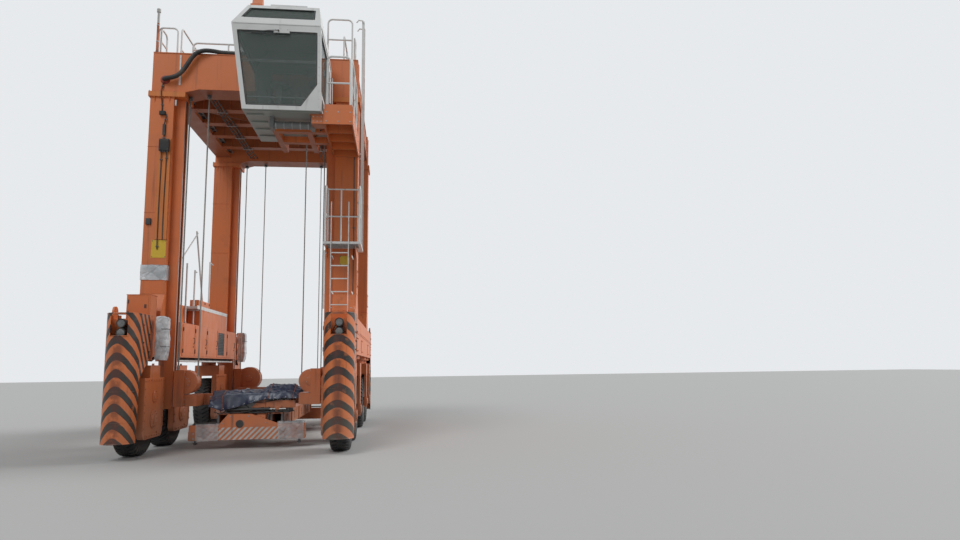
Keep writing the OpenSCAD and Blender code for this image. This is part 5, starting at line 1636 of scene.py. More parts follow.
add_windows()


RIVET = [(0.008, 0), (0.006, 0.003)]
SMALL_RIVET = [(0.007, 0), (0.005, 0.003)]
GUARD_ROOF_Z = 9.22
SEAM_Y = -4.93
# Handles beside the door: y, lower end, upper end
GRAB_RAILS = ((-4.47, 7.25, 8.45), (-3.62, 7.10, 8.45))
# Bars across the front window: z, radius
WINDOW_BARS = ((7.915, 0.011), (7.945, 0.011), (7.20, 0.013))


def add_roof_trim(shell):
    """Drip rails over the windows, and on the roof seams, bolts and lifting eyes."""
    shell.box(at(CAB_RIGHT - 0.002, -5.70, HEADER_Z - 0.025), at(CAB_RIGHT + 0.014, -3.56, HEADER_Z), 0.003)
    shell.tube([at(left_at(8.63) - 0.004, y, 8.63) for y in (-5.74, -3.56)], 0.009)
    shell.tube([at(x, front_at(8.635) - 0.003, 8.635) for x in (0.03, 1.73)], 0.008)
    for y in (CAB_FLOOR_Y + 0.03, CAB_REAR - 0.03):
        shell.box(at(0.50, y - 0.012, ROOF_Z - 0.002), at(1.66, y + 0.012, ROOF_Z + 0.012), 0.003)
    shell.bolts(grid((0.75, 1.07, 1.39), (-5.43, -4.95, -4.40, -3.90, -3.69), GUARD_ROOF_Z), UP, 0.010, 0.008)
    for x in (0.62, 1.52):
        for y in (-5.30, -3.80):
            shell.turned([(0.030, 0), (0.030, 0.006), (0.018, 0.012)], at(x, y, ROOF_Z), UP, 20)
            shell.bent([(x, y + dy, ROOF_Z + dz) for dy, dz in
                        ((-0.03, 0.008), (-0.026, 0.045), (0, 0.062), (0.026, 0.045), (0.03, 0.008))], 0.008)


def add_rivets(steel):
    for place in grid((CAB_LEFT + 0.03, CAB_RIGHT - 0.03), np.arange(-5.45, -3.6, 0.145), CAB_Z):
        steel.turned(RIVET, place, DOWN, 10)
    for z in np.arange(7.0, 8.6, 0.16):
        steel.turned(SMALL_RIVET, at(1.725, front_at(z), z), FRONT_OUT, 10)
        steel.turned(SMALL_RIVET, at(CAB_RIGHT, CAB_REAR - 0.035, z), RIGHT, 10)


def add_wiper(shell, dark, steel):
    """A motor cover over the front window, the spindle, the arm and the blade along the upper edge."""
    shell.plate([(0, 0), (0.32, 0), (0.30, 0.075), (0.02, 0.075)], at(0.83, front_at(8.45), 8.452), RIGHT,
                (0, -0.127, 1), 0.045)
    dark.turned([(0.016, 0), (0.016, 0.030), (0.010, 0.036)], at(0.93, front_at(8.49) - 0.04, 8.485), FRONT,
                16)
    tip = at(0.30, front_at(8.40) - 0.030, 8.43)
    arm = [at(0.93, front_at(8.49) - 0.068, 8.487), at(0.70, front_at(8.47) - 0.062, 8.475),
           tip + Vector((0.10, -0.012, 0.005))]
    dark.tube(smooth_path(arm, 5), 0.007)
    dark.box(tip + Vector((-0.02, -0.006, -0.012)), tip + Vector((0.56, 0.008, 0.004)), 0.002)
    steel.bolts(grid((0.87, 1.11), front_at(8.52) - 0.045, 8.512), FRONT, 0.006, 0.005)


def add_cab_outside():
    shell, dark, steel = Form(), Form(), Form()
    add_roof_trim(shell)
    add_rivets(steel)
    # A panel seam and the vent grille below the right side window
    dark.box(at(CAB_RIGHT - 0.001, SEAM_Y - 0.003, 6.96), at(CAB_RIGHT + 0.001, SEAM_Y + 0.003, 7.33), 0.0005)
    for k in range(7):
        z = 7.05 + k * 0.03
        dark.box(at(CAB_RIGHT - 0.001, -5.36, z), at(CAB_RIGHT + 0.006, -5.06, z + 0.014), 0.001)
    add_wiper(shell, dark, steel)
    for z, r in WINDOW_BARS:
        steel.bent([(x, front_at(z) + 0.075, z) for x in (left_at(z) + 0.075, 1.70)], r, 10)
    for y, z0, z1 in GRAB_RAILS:
        shell.bent([(CAB_RIGHT + x, y, z) for x, z in
                    ((0, z0), (0.030, z0), (0.034, z0 + 0.03), (0.034, z1 - 0.03), (0.030, z1), (0, z1))],
                    0.012, 10)
    piece(shell, "cab_trim", "cab")
    piece(dark, "cab_dark_fittings", "black")
    piece(steel, "cab_bars_and_rivets", "galvanized")


HANDLE_Y = -3.835


def add_door_fittings():
    """Seals down the door's edges, its handle and lock, and the bolts of its hinges."""
    door = Form()
    for y in (DOOR_FRONT + 0.01, DOOR_REAR - 0.016):
        door.box(at(CAB_RIGHT - 0.004, y - 0.004, 7.06), at(CAB_RIGHT + 0.003, y + 0.004, 8.54), 0.001)
    door.bent([(CAB_RIGHT + x, HANDLE_Y, z)
               for x, z in ((-0.002, 7.58), (0.030, 7.60), (0.032, 7.74), (-0.002, 7.76))],
              0.010, 10)
    door.turned([(0.022, 0), (0.022, 0.008), (0.012, 0.014)], at(CAB_RIGHT, HANDLE_Y, 7.50), RIGHT, 20)
    for z in (7.22, 8.20):
        door.bolts(grid(CAB_RIGHT + 0.020, (-4.315, -4.290), (z + 0.025, z + 0.095)), RIGHT, 0.006, 0.005)
    piece(door, "cab_door_fittings", "black", "cab_door")


ROLL_R = 0.0765
ROLL_DROP = 0.15


def add_below_cab():
    """Ribs under the floor, straps and end caps of the roll, and the line that leaves it."""
    under, straps = Form(), Form()
    for y in (-5.30, -4.85, -4.40, -3.95):
        under.box(at(0.26, y - 0.03, CAB_Z - 0.030), at(0.60, y + 0.03, CAB_Z + 0.001))
    under.box(at(0.25, -5.52, CAB_Z - 0.012), at(1.72, -5.40, CAB_Z + 0.001), 0.003)
    low, high = span("cab_belly_unit")
    y, z = (low.y + high.y) / 2, CAB_Z - ROLL_DROP
    for x in np.linspace(low.x + 0.12, high.x - 0.12, 5):
        straps.turned([(ROLL_R, 0), (0.080, 0.002), (0.080, 0.022), (ROLL_R, 0.024)], at(x - 0.012, y, z),
                      RIGHT, 32)
    for x, out in ((low.x, LEFT), (high.x, RIGHT)):
        straps.turned([(0.085, 0), (0.085, 0.006), (0.060, 0.010)], at(x, y, z), out, 32)
        straps.bolts(ring(at(x, y, z), out, 0.073, 6), out, 0.007, 0.012)
    line = Form().line([(high.x + 0.005, y, z), (high.x + 0.06, y + 0.02, z + 0.01), (1.70, -4.85, 6.81),
                        (1.60, -4.40, 6.84), (1.45, -4.05, 6.87), (1.40, -3.75, 6.905)], 0.017, 10, 10)
    piece(line, "belly_line", "hose")
    piece(under, "cab_floor_ribs", "cab")
    piece(straps, "belly_straps", "galvanized")


add_cab_outside()
add_door_fittings()
add_below_cab()


# Inside the cab

SEAT = at(0.85, -4.42, 6.98)
PAD_CAP = 0.022
PAD_PRESSURE = 4
PAD_STEPS = 20
BACK_LEAN = 0.16
CHANNEL_X, CHANNEL_HALF, CHANNEL_DEPTH = 0.115, 0.018, 0.006
# Each pad: low and high corner from the seat's foot, rounding, lean, places of its sewn channels
PADS = {
    "seat_cushion": ((-0.215, -0.205, 0.325), (0.215, 0.235, 0.415), 0.035, 0.0, (-CHANNEL_X, CHANNEL_X)),
    "seat_back": ((-0.205, 0.165, 0.455), (0.205, 0.235, 0.860), 0.030, BACK_LEAN, (-CHANNEL_X, CHANNEL_X)),
    "seat_headrest": ((-0.115, 0.250, 0.910), (0.115, 0.310, 1.035), 0.026, BACK_LEAN, ()),
}


def by_seat(x, y, z):
    """A point given from the middle of the seat's foot."""
    return Vector((SEAT.x + x, SEAT.y + y, SEAT.z + z))


def softened(name, low, high, edge, lean):
    """A stuffed pad: a rounded block that is remeshed and blown up as cloth, so its faces crown."""
    mesh = Form().box(by_seat(*low), by_seat(*high), edge).mesh(name, 60)
    for v in mesh.vertices:
        v.co.y += lean * (v.co.z - (SEAT.z + low[2]))
    mesh = applied(name, mesh, "REMESH", mode="VOXEL", voxel_size=0.012 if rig.quick() else 0.008)
    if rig.quick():
        return mesh
    pad = placed(name, mesh)
    cloth = pad.modifiers.new("cloth", "CLOTH")
    cloth.settings.use_pressure = True
    cloth.settings.uniform_pressure_force = PAD_PRESSURE
    cloth.settings.effector_weights.gravity = 0
    start = np.array([v.co for v in mesh.vertices])
    for step in range(1, PAD_STEPS + 1):
        bpy.context.scene.frame_set(step)
    blown = shown_mesh(pad)
    bpy.data.objects.remove(pad)
    bpy.context.scene.frame_set(1)
    moved = np.array([v.co for v in blown.vertices]) - start
    far = np.linalg.norm(moved, axis=1, keepdims=True)
    moved *= np.minimum(1, PAD_CAP / np.maximum(far, 1e-9))
    blown.vertices.foreach_set("co", (start + moved).ravel())
    return blown


def sew_channels(mesh, places):
    """The front of a pad is drawn in along lines at the given places."""
    for v in mesh.vertices:
        for x in places:
            near = abs(v.co.x - SEAT.x - x)
            if near < CHANNEL_HALF:
                depth = CHANNEL_DEPTH * (1 - near / CHANNEL_HALF)
                v.co.z -= depth if v.normal.z > 0.5 else 0
                v.co.y += depth if v.normal.y < -0.5 else 0


def add_pads():
    for name, (low, high, edge, lean, channels) in PADS.items():
        mesh = softened(name, low, high, edge, lean)
        sew_channels(mesh, channels)
        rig.padded(piece(mesh, name, "seat", replaced=["cab_seat"]), 0.7)
    seam = [by_seat(x, y, 0.372)
            for x, y in ((-0.222, -0.210), (0.222, -0.210), (0.222, 0.240), (-0.222, 0.240))]
    piece(Form().tube(rounded_loop(seam, 0.05), 0.0045, 6), "seat_piping", "seat", smooth=60)


def add_seat_frame():
    """Foot with its bellows, pan, the bars behind the back, and the armrests."""
    form = Form()
    form.turned([(0.135, 0), (0.135, 0.02), (0.085, 0.035), (0.080, 0.06)], by_seat(0, 0, 0), UP, 32)
    for k in range(5):
        form.turned([(0.080, 0), (0.092, 0.016), (0.080, 0.032)], by_seat(0, 0, 0.06 + k * 0.032), UP, 32)
    form.box(by_seat(-0.17, -0.19, 0.225), by_seat(0.17, 0.20, 0.262), 0.008)
    form.box(by_seat(-0.20, -0.20, 0.262), by_seat(0.20, 0.23, 0.312), 0.012)
    for s in SIDES:
        form.line([(s * 0.20, 0.16, 0.30), (s * 0.222, 0.235, 0.34), (s * 0.220, 0.262, 0.50),
                   (s * 0.205, 0.305, 0.82)], 0.014, 6, spot=by_seat)
        form.rod(by_seat(s * 0.06, 0.275, 0.84), by_seat(s * 0.06, 0.300, 0.93), 0.007)
        form.box(by_seat(s * 0.262 - 0.028, -0.16, 0.585), by_seat(s * 0.262 + 0.028, 0.17, 0.622), 0.014)
        form.rod(by_seat(s * 0.248, 0.16, 0.36), by_seat(s * 0.255, 0.14, 0.59), 0.012)
    piece(form, "seat_frame", "plastic")


CONSOLE_X, CONSOLE_TOP, STICK_Y = 0.35, 0.60, -0.10
# Screens: x, z, width, height
SCREENS = ((1.52, 7.90, 0.24, 0.17), (1.54, 7.66, 0.17, 0.12))
SCREEN_Y = -5.18
POLE_X, POLE_Y = 1.665, -5.10


def add_steering_wheel(dark):
    hub = by_seat(0, -0.65, 0.665)
    dark.tube([hub + Vector((0.185 * math.cos(a), 0.185 * math.sin(a), 0.012 * math.sin(2 * a)))
               for a in np.linspace(0, 2 * math.pi, 49)], 0.013, 10)
    for a in (0.5, math.pi - 0.5, 1.5 * math.pi):
        dark.tube(ring(hub + Vector((0, 0, 0.004)), UP, 0.03, 1, a) + ring(hub, UP, 0.18, 1, a), 0.009)
    dark.turned([(0.05, 0), (0.05, 0.012), (0.035, 0.022), (0.01, 0.025)], hub + Vector((0, 0, 0.004)), UP,
                24)


def add_console(dark, parts, side):
    """A joystick with its boot, rows of buttons, ribs on the side and a foot plate."""
    def spot(x, y, z):
        return by_seat(side * CONSOLE_X + x, y, z)

    for k, r in enumerate((0.042, 0.036, 0.040, 0.030, 0.033, 0.022)):
        dark.turned([(r, 0), (r * 0.9, 0.010)], spot(0, STICK_Y, CONSOLE_TOP + k * 0.010), UP, 16)
    stick = [(0, STICK_Y, CONSOLE_TOP + 0.05), (0, STICK_Y - 0.005, CONSOLE_TOP + 0.12),
             (side * 0.01, STICK_Y - 0.025, CONSOLE_TOP + 0.17)]
    dark.line(stick, [0.012 + 0.0006 * i for i in range(11)], 5, 10, spot)
    for i in range(3):
        for place in grid((-0.025, 0.025), -0.02 + 0.05 * i, CONSOLE_TOP - 0.012 - 0.0065 * i, spot):
            parts.turned([(0.011, 0), (0.011, 0.008), (0.008, 0.011)], place, (0, 0.2, 1), 14)
    for k in range(4):
        parts.box(spot(-0.05, -0.16 + 0.10 * k, 0.10), spot(0.05, -0.155 + 0.10 * k, 0.50), 0.001)
    parts.box(spot(-0.064, -0.235, 0.03), spot(0.064, 0.235, 0.055))


def add_cab_inside():
    dark, parts = Form(), Form()
    add_steering_wheel(dark)
    for side in SIDES:
        add_console(dark, parts, side)
    # Screens on a pole at the right, pedals, a heater with its grille and the ceiling lamp
    for x, z, width, height in SCREENS:
        middle, half = at(x, SCREEN_Y, z), Vector((width / 2, 0.018, height / 2))
        dark.box(middle - half, middle + half, 0.006, Matrix.Rotation(-0.5, 3, "Z"))
        parts.rod(middle + Vector((0.05, 0.02, 0)), at(POLE_X, POLE_Y, z - 0.02), 0.010)
    parts.rod(at(POLE_X, POLE_Y, 7.04), at(POLE_X, POLE_Y, 8.05), 0.016)
    for x in (0.74, 0.96):
        dark.box(at(x - 0.05, -5.32, 7.00), at(x + 0.05, -5.20, 7.03), 0.006, Matrix.Rotation(0.45, 3, "X"))
    dark.box(at(0.40, -3.86, 7.00), at(0.80, -3.62, 7.38), 0.02)
    for k in range(8):
        z = 7.06 + k * 0.035
        parts.box(at(0.43, -3.868, z), at(0.77, -3.858, z + 0.015), 0.002)
    parts.box(at(0.80, -4.60, 9.052), at(1.10, -4.45, 9.078), 0.010)
    piece(dark, "cab_controls", "black")
    piece(parts, "cab_inner_fittings", "plastic")


add_pads()
add_seat_frame()
add_cab_inside()


# Tarpaulin

SLEEVE_X = (0.285, 0.585)
# The slide pads' edges are broken at the rear and flare out at the front
PAD_EDGES = {1: 0.002, -1: (-0.0108, 0.0108, -0.0108)}
SLEEVE_LOW, SLEEVE_TOP = 0.43, 0.76
YOKE_TOP = 1.20
TARP_X, TARP_Y = (-0.90, 1.08), (-2.762, -1.72)
TARP_COLUMNS, TARP_ROWS, HEM_ROWS = 96, 60, 14
TARP_LINE = HEM_ROWS + TARP_ROWS
TARP_OVER = 0.006
SINK_STEPS, SINK = 420, 0.00035
# Height of the front hem along x
HEM = ((-0.90, 0.93), (-0.62, 0.83), (-0.20, 0.93), (0.25, 1.06), (0.70, 1.09), (1.08, 1.08))
# Cords that tie the hem to the frame: x on the hem, foot
TIES = ((-0.62, (-0.70, -2.55, SLEEVE_TOP + 0.008)), (0.30, (0.36, -2.706, SLEEVE_TOP + 0.004)))
LASHING_X = (-0.60, 0.42, 0.95)


def tarp_support(x, y):
    """How high the things under the tarpaulin reach."""
    if 0.34 < x < 0.92 and -2.46 < y < -1.95:
        return YOKE_TOP + 0.135
    front_drive = -0.56 < x < 0.88 and -2.76 < y < -2.44
    yoke = -2.43 < y < -2.23
    rear_set = -0.56 < x < 0.70 and y > -2.18
    return YOKE_TOP + 0.008 if front_drive or yoke or rear_set else 0.98


def between_neighbours(height):
    """Each height as the mean of the four beside it."""
    wide = np.pad(height, 1, mode="edge")
    return (wide[:-2, 1:-1] + wide[2:, 1:-1] + wide[1:-1, :-2] + wide[1:-1, 2:]) / 4


def ridges(x, y, z, power):
    """Sharp folds, from 0 to 1."""
    return (1 - abs(noise.noise(Vector((x, y, z))))) ** power


def tarp_points(xs, ys):
    """The sheet sinks between what carries it, and its front hem hangs in waves."""
    support = np.array([[tarp_support(x, y) for y in ys] for x in xs])
    height = support.copy()
    for _ in range(SINK_STEPS):
        height = np.maximum(between_neighbours(height) - SINK, support)
    height = np.maximum(between_neighbours(height), support)
    points = []
    for i, x in enumerate(xs):
        low = np.interp(x, *zip(*HEM)) + 0.012 * noise.noise(Vector((x * 7, 3, 1)))
        top = height[i][0] + TARP_OVER
        for j in range(HEM_ROWS):
            t = j / HEM_ROWS
            z = low + (top - low) * t
            wave = 0.022 * math.sin(13 * x + 4 * z) + 0.012 * math.sin(29 * x + 5 - 6 * z)
            wave += 0.020 * noise.noise(Vector((x * 5, z * 6, 0)))
            bend = math.sin(math.pi * min(1, 1.1 * t + 0.1))
            points.append(at(x, TARP_Y[0] - 0.006 - (0.040 - wave) * (1 - t) ** 1.3 - 0.004 * bend, z))
        for j, y in enumerate(ys):
            ripple = (0.045 * ridges(x * 4 + y * 2.2, y * 3.3 - x, 0, 4)
                      + 0.016 * ridges(x * 9, y * 8 + x * 4, 4, 5))
            over = min(1, j / 3)
            points.append(at(x, y + 0.010 * (1 - over) ** 2, height[i][j] + TARP_OVER + ripple * over))
    return points


def add_tarp_trim(points, xs):
    """A doubled hem with eyelets, and the cords that tie it to the frame."""
    hem, eyelets, cords = Form(), Form(), Form()
    hem.tube(points[::TARP_LINE], 0.008, 6)
    for i in range(4, TARP_COLUMNS, 11):
        eyelets.turned([(0.010, 0), (0.010, 0.003), (0.006, 0.004)],
                       points[i * TARP_LINE + 1] + Vector((0, -0.004, 0.012)), FRONT, 16)

    def column(x):
        start = TARP_LINE * int(np.argmin(abs(xs - x)))
        return points[start:start + TARP_LINE]

    for x, foot in TIES:
        cords.tube([column(x)[1] + Vector((0, -0.010, 0)), at(*foot)], 0.007)
    for x in LASHING_X:
        hanging, lying = Vector((0, -0.010, 0.006)), Vector((0, 0, 0.013))
        cords.tube([p + (hanging if j < HEM_ROWS else lying) for j, p in enumerate(column(x)) if j % 3 == 1],
                   0.006, 6)
    return [piece(hem, "tarpaulin_hem", "tarpaulin", "hoist"),
            piece(eyelets, "tarpaulin_eyelets", "bright_steel", "hoist"),
            piece(cords, "tarpaulin_lashing", "red_rope", "hoist")]


def add_tarpaulin():
    xs, ys = np.linspace(*TARP_X, TARP_COLUMNS), np.linspace(*TARP_Y, TARP_ROWS)
    points = tarp_points(xs, ys)
    corners = [i * TARP_LINE + j for i in range(TARP_COLUMNS - 1) for j in range(TARP_LINE - 1)]
    faces = [[k, k + TARP_LINE, k + TARP_LINE + 1, k + 1] for k in corners]
    mesh = Form().add(points, faces).mesh("tarpaulin_sheet", 180)
    area = sum(p.area for p in mesh.polygons)
    mesh = applied("tarpaulin_loose", mesh, "SOLIDIFY", thickness=0.003, offset=0)
    sheet = piece(mesh, "tarpaulin_sheet", "tarpaulin", "hoist", replaced=["tarpaulin"])
    across = length_of(points[TARP_LINE // 2::TARP_LINE])
    along = max(length_of(points[i * TARP_LINE:(i + 1) * TARP_LINE]) for i in range(TARP_COLUMNS))
    trim = add_tarp_trim(points, xs)
    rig.sheet(sheet, (across, along), "draped", rests_on=["spreader_drive", "spreader_frame"], area=area,
             with_pieces=trim)


add_tarpaulin()


# Hydraulic groups on the spreader

FRONT_HOSES = ((-0.26, 1.03, -0.44, 0.885), (-0.22, 1.03, 0.30, 0.885), (-0.17, 1.03, 0.55, 1.035),
               (-0.40, 1.04, -0.80, 0.80))
# Hoses that hang in front of the drive: start x, end x, dip
SLACK_HOSES = ((-0.52, 0.10, 0.05), (-0.30, 0.62, 0.07), (0.12, 0.84, 0.06), (0.40, 0.98, 0.04))
CYLINDER_Z = 0.84
MOTOR_Z = 1.095
PUMP_Z = 0.92


def add_front_drive(steel, dark, hoses, guard):
    """The guard plate, the telescoping cylinder, motors, a valve block and their hoses."""
    low, _ = span("spreader_drive")
    front = low.y + 0.04
    axis = front - 0.045
    guard.plate([(0.10, 0), (1.09, 0), (1.07, 0.165), (0.26, 0.165)], at(-0.09, low.y, 0.868), RIGHT, UP,
                0.006)
    guard.bolts(grid((0.20, 0.45, 0.70, 0.92), low.y - 0.006, 0.90), FRONT, 0.010, 0.009)
    dark.rod(at(-0.50, axis, CYLINDER_Z), at(0.42, axis, CYLINDER_Z), 0.040, 20)
    steel.rod(at(0.42, axis, CYLINDER_Z), at(0.80, axis, CYLINDER_Z), 0.020, 16)
    for x in (-0.50, -0.06, 0.40):
        dark.rod(at(x, axis, CYLINDER_Z), at(x + 0.035, axis, CYLINDER_Z), 0.052, 20)
    for x in (-0.42, 0.55, 0.74):
        dark.turned([(0.070, 0), (0.070, 0.02), (0.052, 0.03), (0.052, 0.045), (0.040, 0.050)],
                    at(x, front, MOTOR_Z), FRONT, 20)
        steel.bolts(ring(at(x, front - 0.02, MOTOR_Z), FRONT, 0.058, 4, math.pi / 4), FRONT, 0.007, 0.007)
    dark.box(at(-0.30, front - 0.035, 1.02), at(-0.12, front + 0.001, 1.16), 0.006)
    for k in range(4):
        steel.turned([(0.016, 0), (0.016, 0.018), (0.011, 0.024)],
                     at(-0.28 + 0.045 * k, front - 0.035, 1.12), FRONT, 12)
    for k, (x0, z0, x1, z1) in enumerate(FRONT_HOSES):
        hoses.line([(x0, front - 0.03, z0), ((x0 + x1) / 2, front - 0.055 - 0.010 * k, min(z0, z1) - 0.03),
                    (x1, front - 0.04, z1)], 0.010, 10)
    for k, (x0, x1, dip) in enumerate(SLACK_HOSES):
        start, end = at(x0, front - 0.02, 0.80 + 0.02 * k), at(x1, front - 0.05, 0.83 - 0.01 * k)
        sag = [start.lerp(end, share) - Vector((0, out, dip - 0.02))
               for share, out in ((0.3, 0.05), (0.7, 0.06))]
        hoses.tube(smooth_path([start] + sag + [end], 8), 0.012)
    guard.turned([(0.065, 0), (0.065, 0.015), (0.045, 0.03), (0.045, 0.05)], at(0.60, front - 0.03, 0.83),
                 FRONT, 24)
    for x in (-0.45, 0.02, 0.86):
        dark.box(at(x, front - 0.055, 0.78), at(x + 0.09, front + 0.001, 0.86), 0.006)


def add_rear_drive(steel, dark, hoses):
    """Tank, pump, filter, valves and pipes on top of the rear set, and the covers on its faces."""
    top = span("spreader_drive")[1].z
    dark.box(at(-0.50, -1.62, top - 0.001), at(0.05, -1.08, top + 0.05), 0.02)
    steel.turned([(0.05, 0), (0.05, 0.02), (0.035, 0.03)], at(-0.36, -1.30, top + 0.05), UP, 20)
    dark.rod(at(0.22, -1.62, top + 0.05), at(0.22, -1.20, top + 0.05), 0.055, 24)
    dark.rod(at(0.22, -1.20, top + 0.05), at(0.22, -1.05, top + 0.05), 0.040, 20)
    dark.box(at(0.40, -1.45, top - 0.001), at(0.62, -1.10, top + 0.11), 0.008)
    for k in range(5):
        x = 0.44 + 0.035 * k
        steel.turned([(0.018, 0), (0.018, 0.03), (0.012, 0.036)], at(x, -1.28, top + 0.11), UP, 12)
        hoses.line([(x, -1.16, top + 0.10), (0.45 + 0.04 * k, -1.02, top + 0.12),
                    (0.48 + 0.03 * k, -0.96, top - 0.06),
                    (0.30 + 0.03 * k, -0.90, SLEEVE_TOP + 0.04)], 0.011)
    for x in (-0.26, 0.24):
        dark.turned([(0.118, 0), (0.118, 0.02), (0.085, 0.03)], at(x, -0.742, PUMP_Z), REAR, 28)
        steel.bolts(ring(at(x, -0.722, PUMP_Z), REAR, 0.10, 6), REAR, 0.008, 0.008)
    for x, out in ((-0.56, LEFT), (0.70, RIGHT)):
        steel.bolts(grid(x, (-2.10, -1.75, -1.40, -1.06), (0.82, 0.98, 1.14)), out, 0.009, 0.008)


def add_sleeve_pipes(steel, dark, guard):
    """The long run of pipes with its clips, and two covers on top of the sleeves."""
    for k in range(3):
        steel.bent([(-0.40 + 0.05 * k, y, SLEEVE_TOP + 0.018) for y in (-0.72, 2.20)], 0.011)
    for y in np.arange(-0.5, 2.3, 0.55):
        dark.box(at(-0.43, y - 0.02, SLEEVE_TOP - 0.001), at(-0.27, y + 0.02, SLEEVE_TOP + 0.034), 0.003)
    guard.box(at(0.16, -0.60, SLEEVE_TOP - 0.001), at(0.40, 0.10, SLEEVE_TOP + 0.22), 0.012)
    guard.box(at(0.17, 0.30, SLEEVE_TOP - 0.001), at(0.38, 0.80, SLEEVE_TOP + 0.16), 0.012)
    steel.bolts(grid(0.402, (-0.52, 0.02, 0.38, 0.72), SLEEVE_TOP + 0.12), RIGHT, 0.008, 0.008)


def add_drive():
    steel, dark, hoses, guard = Form(), Form(), Form(), Form()
    add_front_drive(steel, dark, hoses, guard)
    add_rear_drive(steel, dark, hoses)
    add_sleeve_pipes(steel, dark, guard)
    piece(steel, "drive_unions", "bright_steel", "hoist")
    piece(dark, "drive_motors", "black", "hoist")
    piece(hoses, "drive_hoses", "hose", "hoist", 60)
    piece(guard, "drive_guard", "orange_low", "hoist")


add_drive()


# Spreader frame and carriages

YOKE_Y = (2.225, 2.435)
CARRIAGE_X = 1.37
CASE_FACES = ((2.70, 2.715, -1), (3.04, 3.025, 1))
FRAME_COVERS = (-1.95, -0.65, 0.65, 1.95)


def add_corner_trim(plates, bolts, dark, side, end):
    """Slide pads at the sleeves' mouths, gussets on the yoke, and the carriage's bolts and sheave caps."""
    spot = sided(side, end)
    for x in SLEEVE_X:
        for dx in (-0.118, 0.118):
            dark.box(spot(x + dx - 0.010, 2.655, 0.47), spot(x + dx + 0.010, 2.703, 0.72), PAD_EDGES[end])
        bolts.bolts(grid((x - 0.085, x, x + 0.085), 2.63, SLEEVE_TOP, spot), UP, 0.010, 0.009)
    for x in (0.60, 0.86, 1.06):
        plates.box(spot(x - 0.006, YOKE_Y[0], 0.955), spot(x + 0.006, YOKE_Y[1], 1.195), 0.002)
    bolts.bolts(grid((0.70, 0.96), 2.42, (1.02, 1.13), spot), (0, end, 0), 0.012, 0.010)
    bolts.bolts(grid(CARRIAGE_X, (2.68, 2.80, 2.94, 3.06), (1.00, 1.10, 1.60, 1.70), spot), (-side, 0, 0),
                0.011, 0.010)
    x, z, case_r, _ = SHEAVES[end]
    for cap, lip, facing in CASE_FACES:
        out = (0, end * facing, 0)
        plates.turned([(0.105, 0), (0.105, 0.012), (0.07, 0.02)], spot(x, cap, z), out, 24)
        bolts.bolts(ring(spot(x, cap + facing * 0.012, z), out, 0.085, 6, 0.3), out, 0.008, 0.008)
        plates.turned([(case_r + 0.008, 0), (case_r + 0.008, 0.010), (case_r - 0.015, 0.014)],
                      spot(x, lip, z), out, 48)


def add_spreader_trim():
    plates, bolts, dark = Form(), Form(), Form()
    for side, end in CORNERS:
        add_corner_trim(plates, bolts, dark, side, end)
    # Covers on the inner and outer faces of the sleeves
    for y in FRAME_COVERS:
        for side in SIDES:
            spot = sided(side)
            plates.box(spot(0.155, y - 0.15, SLEEVE_LOW + 0.02),
                       at(side * 0.14 - 0.02, y + 0.15, SLEEVE_TOP - 0.02), 0.002)
            plates.box(spot(0.715, y - 0.15, 0.50), spot(0.723, y + 0.15, 0.68), 0.002)
            bolts.bolts(grid(0.723, (y - 0.11, y + 0.11), (0.53, 0.65), spot), (side, 0, 0), 0.009, 0.008)
    piece(plates, "spreader_plates", "orange_low", "hoist")
    piece(bolts, "spreader_bolts", "galvanized", "hoist")
    piece(dark, "spreader_pads", "plastic", "hoist")


add_spreader_trim()


# End beams

END_FACE, END_BACK = 3.0265, 2.787
HOUSING_X = (1.095, 1.262)
LOCK_X, LOCK_Y = 1.1295, 2.9265
OPENING = (-0.16, 0.545)
FACE_BOLTS = ((-0.36, 0.71), (0.02, 0.71), (0.40, 0.56), (-0.52, 0.56), (0.75, 0.43))
FILM_ROWS, FILM_STEPS, FILM_LOW, FILM_END = 26, 9, 0.188, 1.243
# Film wound around both ends of the beam: from x, to x, top, how loose
FILM_TURNS = ((-1.09, -0.60, 0.545, 0.010), (0.66, FILM_END, 0.56, 0.022))


def film_ring(x, row, start_x, top, loose, face, back, end):
    """One turn of the film around the beam's section, with puffs and creases."""
    gap = end * 0.012
    corners = [(back - gap, FILM_LOW), (face + gap, FILM_LOW), (face + gap, top - 0.10), (face, top),
               (back - gap, top)]
    points = []
    for (ya, za), (yb, zb) in zip(corners, corners[1:] + corners[:1]):
        for k in range(FILM_STEPS):
            t = k / FILM_STEPS
            y, z = ya + (yb - ya) * t, za + (zb - za) * t
            crease = abs(noise.noise(Vector((x * 9, y * 14 + 2, z * 9))))
            crease += 0.5 * abs(noise.noise(Vector((x * 23, y * 30, z * 21))))
            puff = loose * (0.3 + 1.3 * crease)
            hem = 0.05 * noise.noise(Vector((2.5 * z + 7 * start_x, 6 * y, 1)))
            hem *= 1 if row < 3 or row > FILM_ROWS - 4 else 0.5
            outward = puff * end if zb > za or za > 0.5 and yb == face else 0
            upward = puff if za > 0.4 and za == zb else 0
            points.append(at(min(x + hem, FILM_END), y + outward, z + upward))
    return points


def add_film(arm, end, face, back):
    form = Form()
    for x0, x1, top, loose in FILM_TURNS:
        points = []
        for row in range(FILM_ROWS):
            x = x0 + (x1 - x0) * row / (FILM_ROWS - 1)
            points += film_ring(x, row, x0, top, loose, face, back, end)
        form.add(points, hoops(FILM_ROWS, len(points) // FILM_ROWS))
    piece(form, "end_film_front", "thin_film", arm, 60)


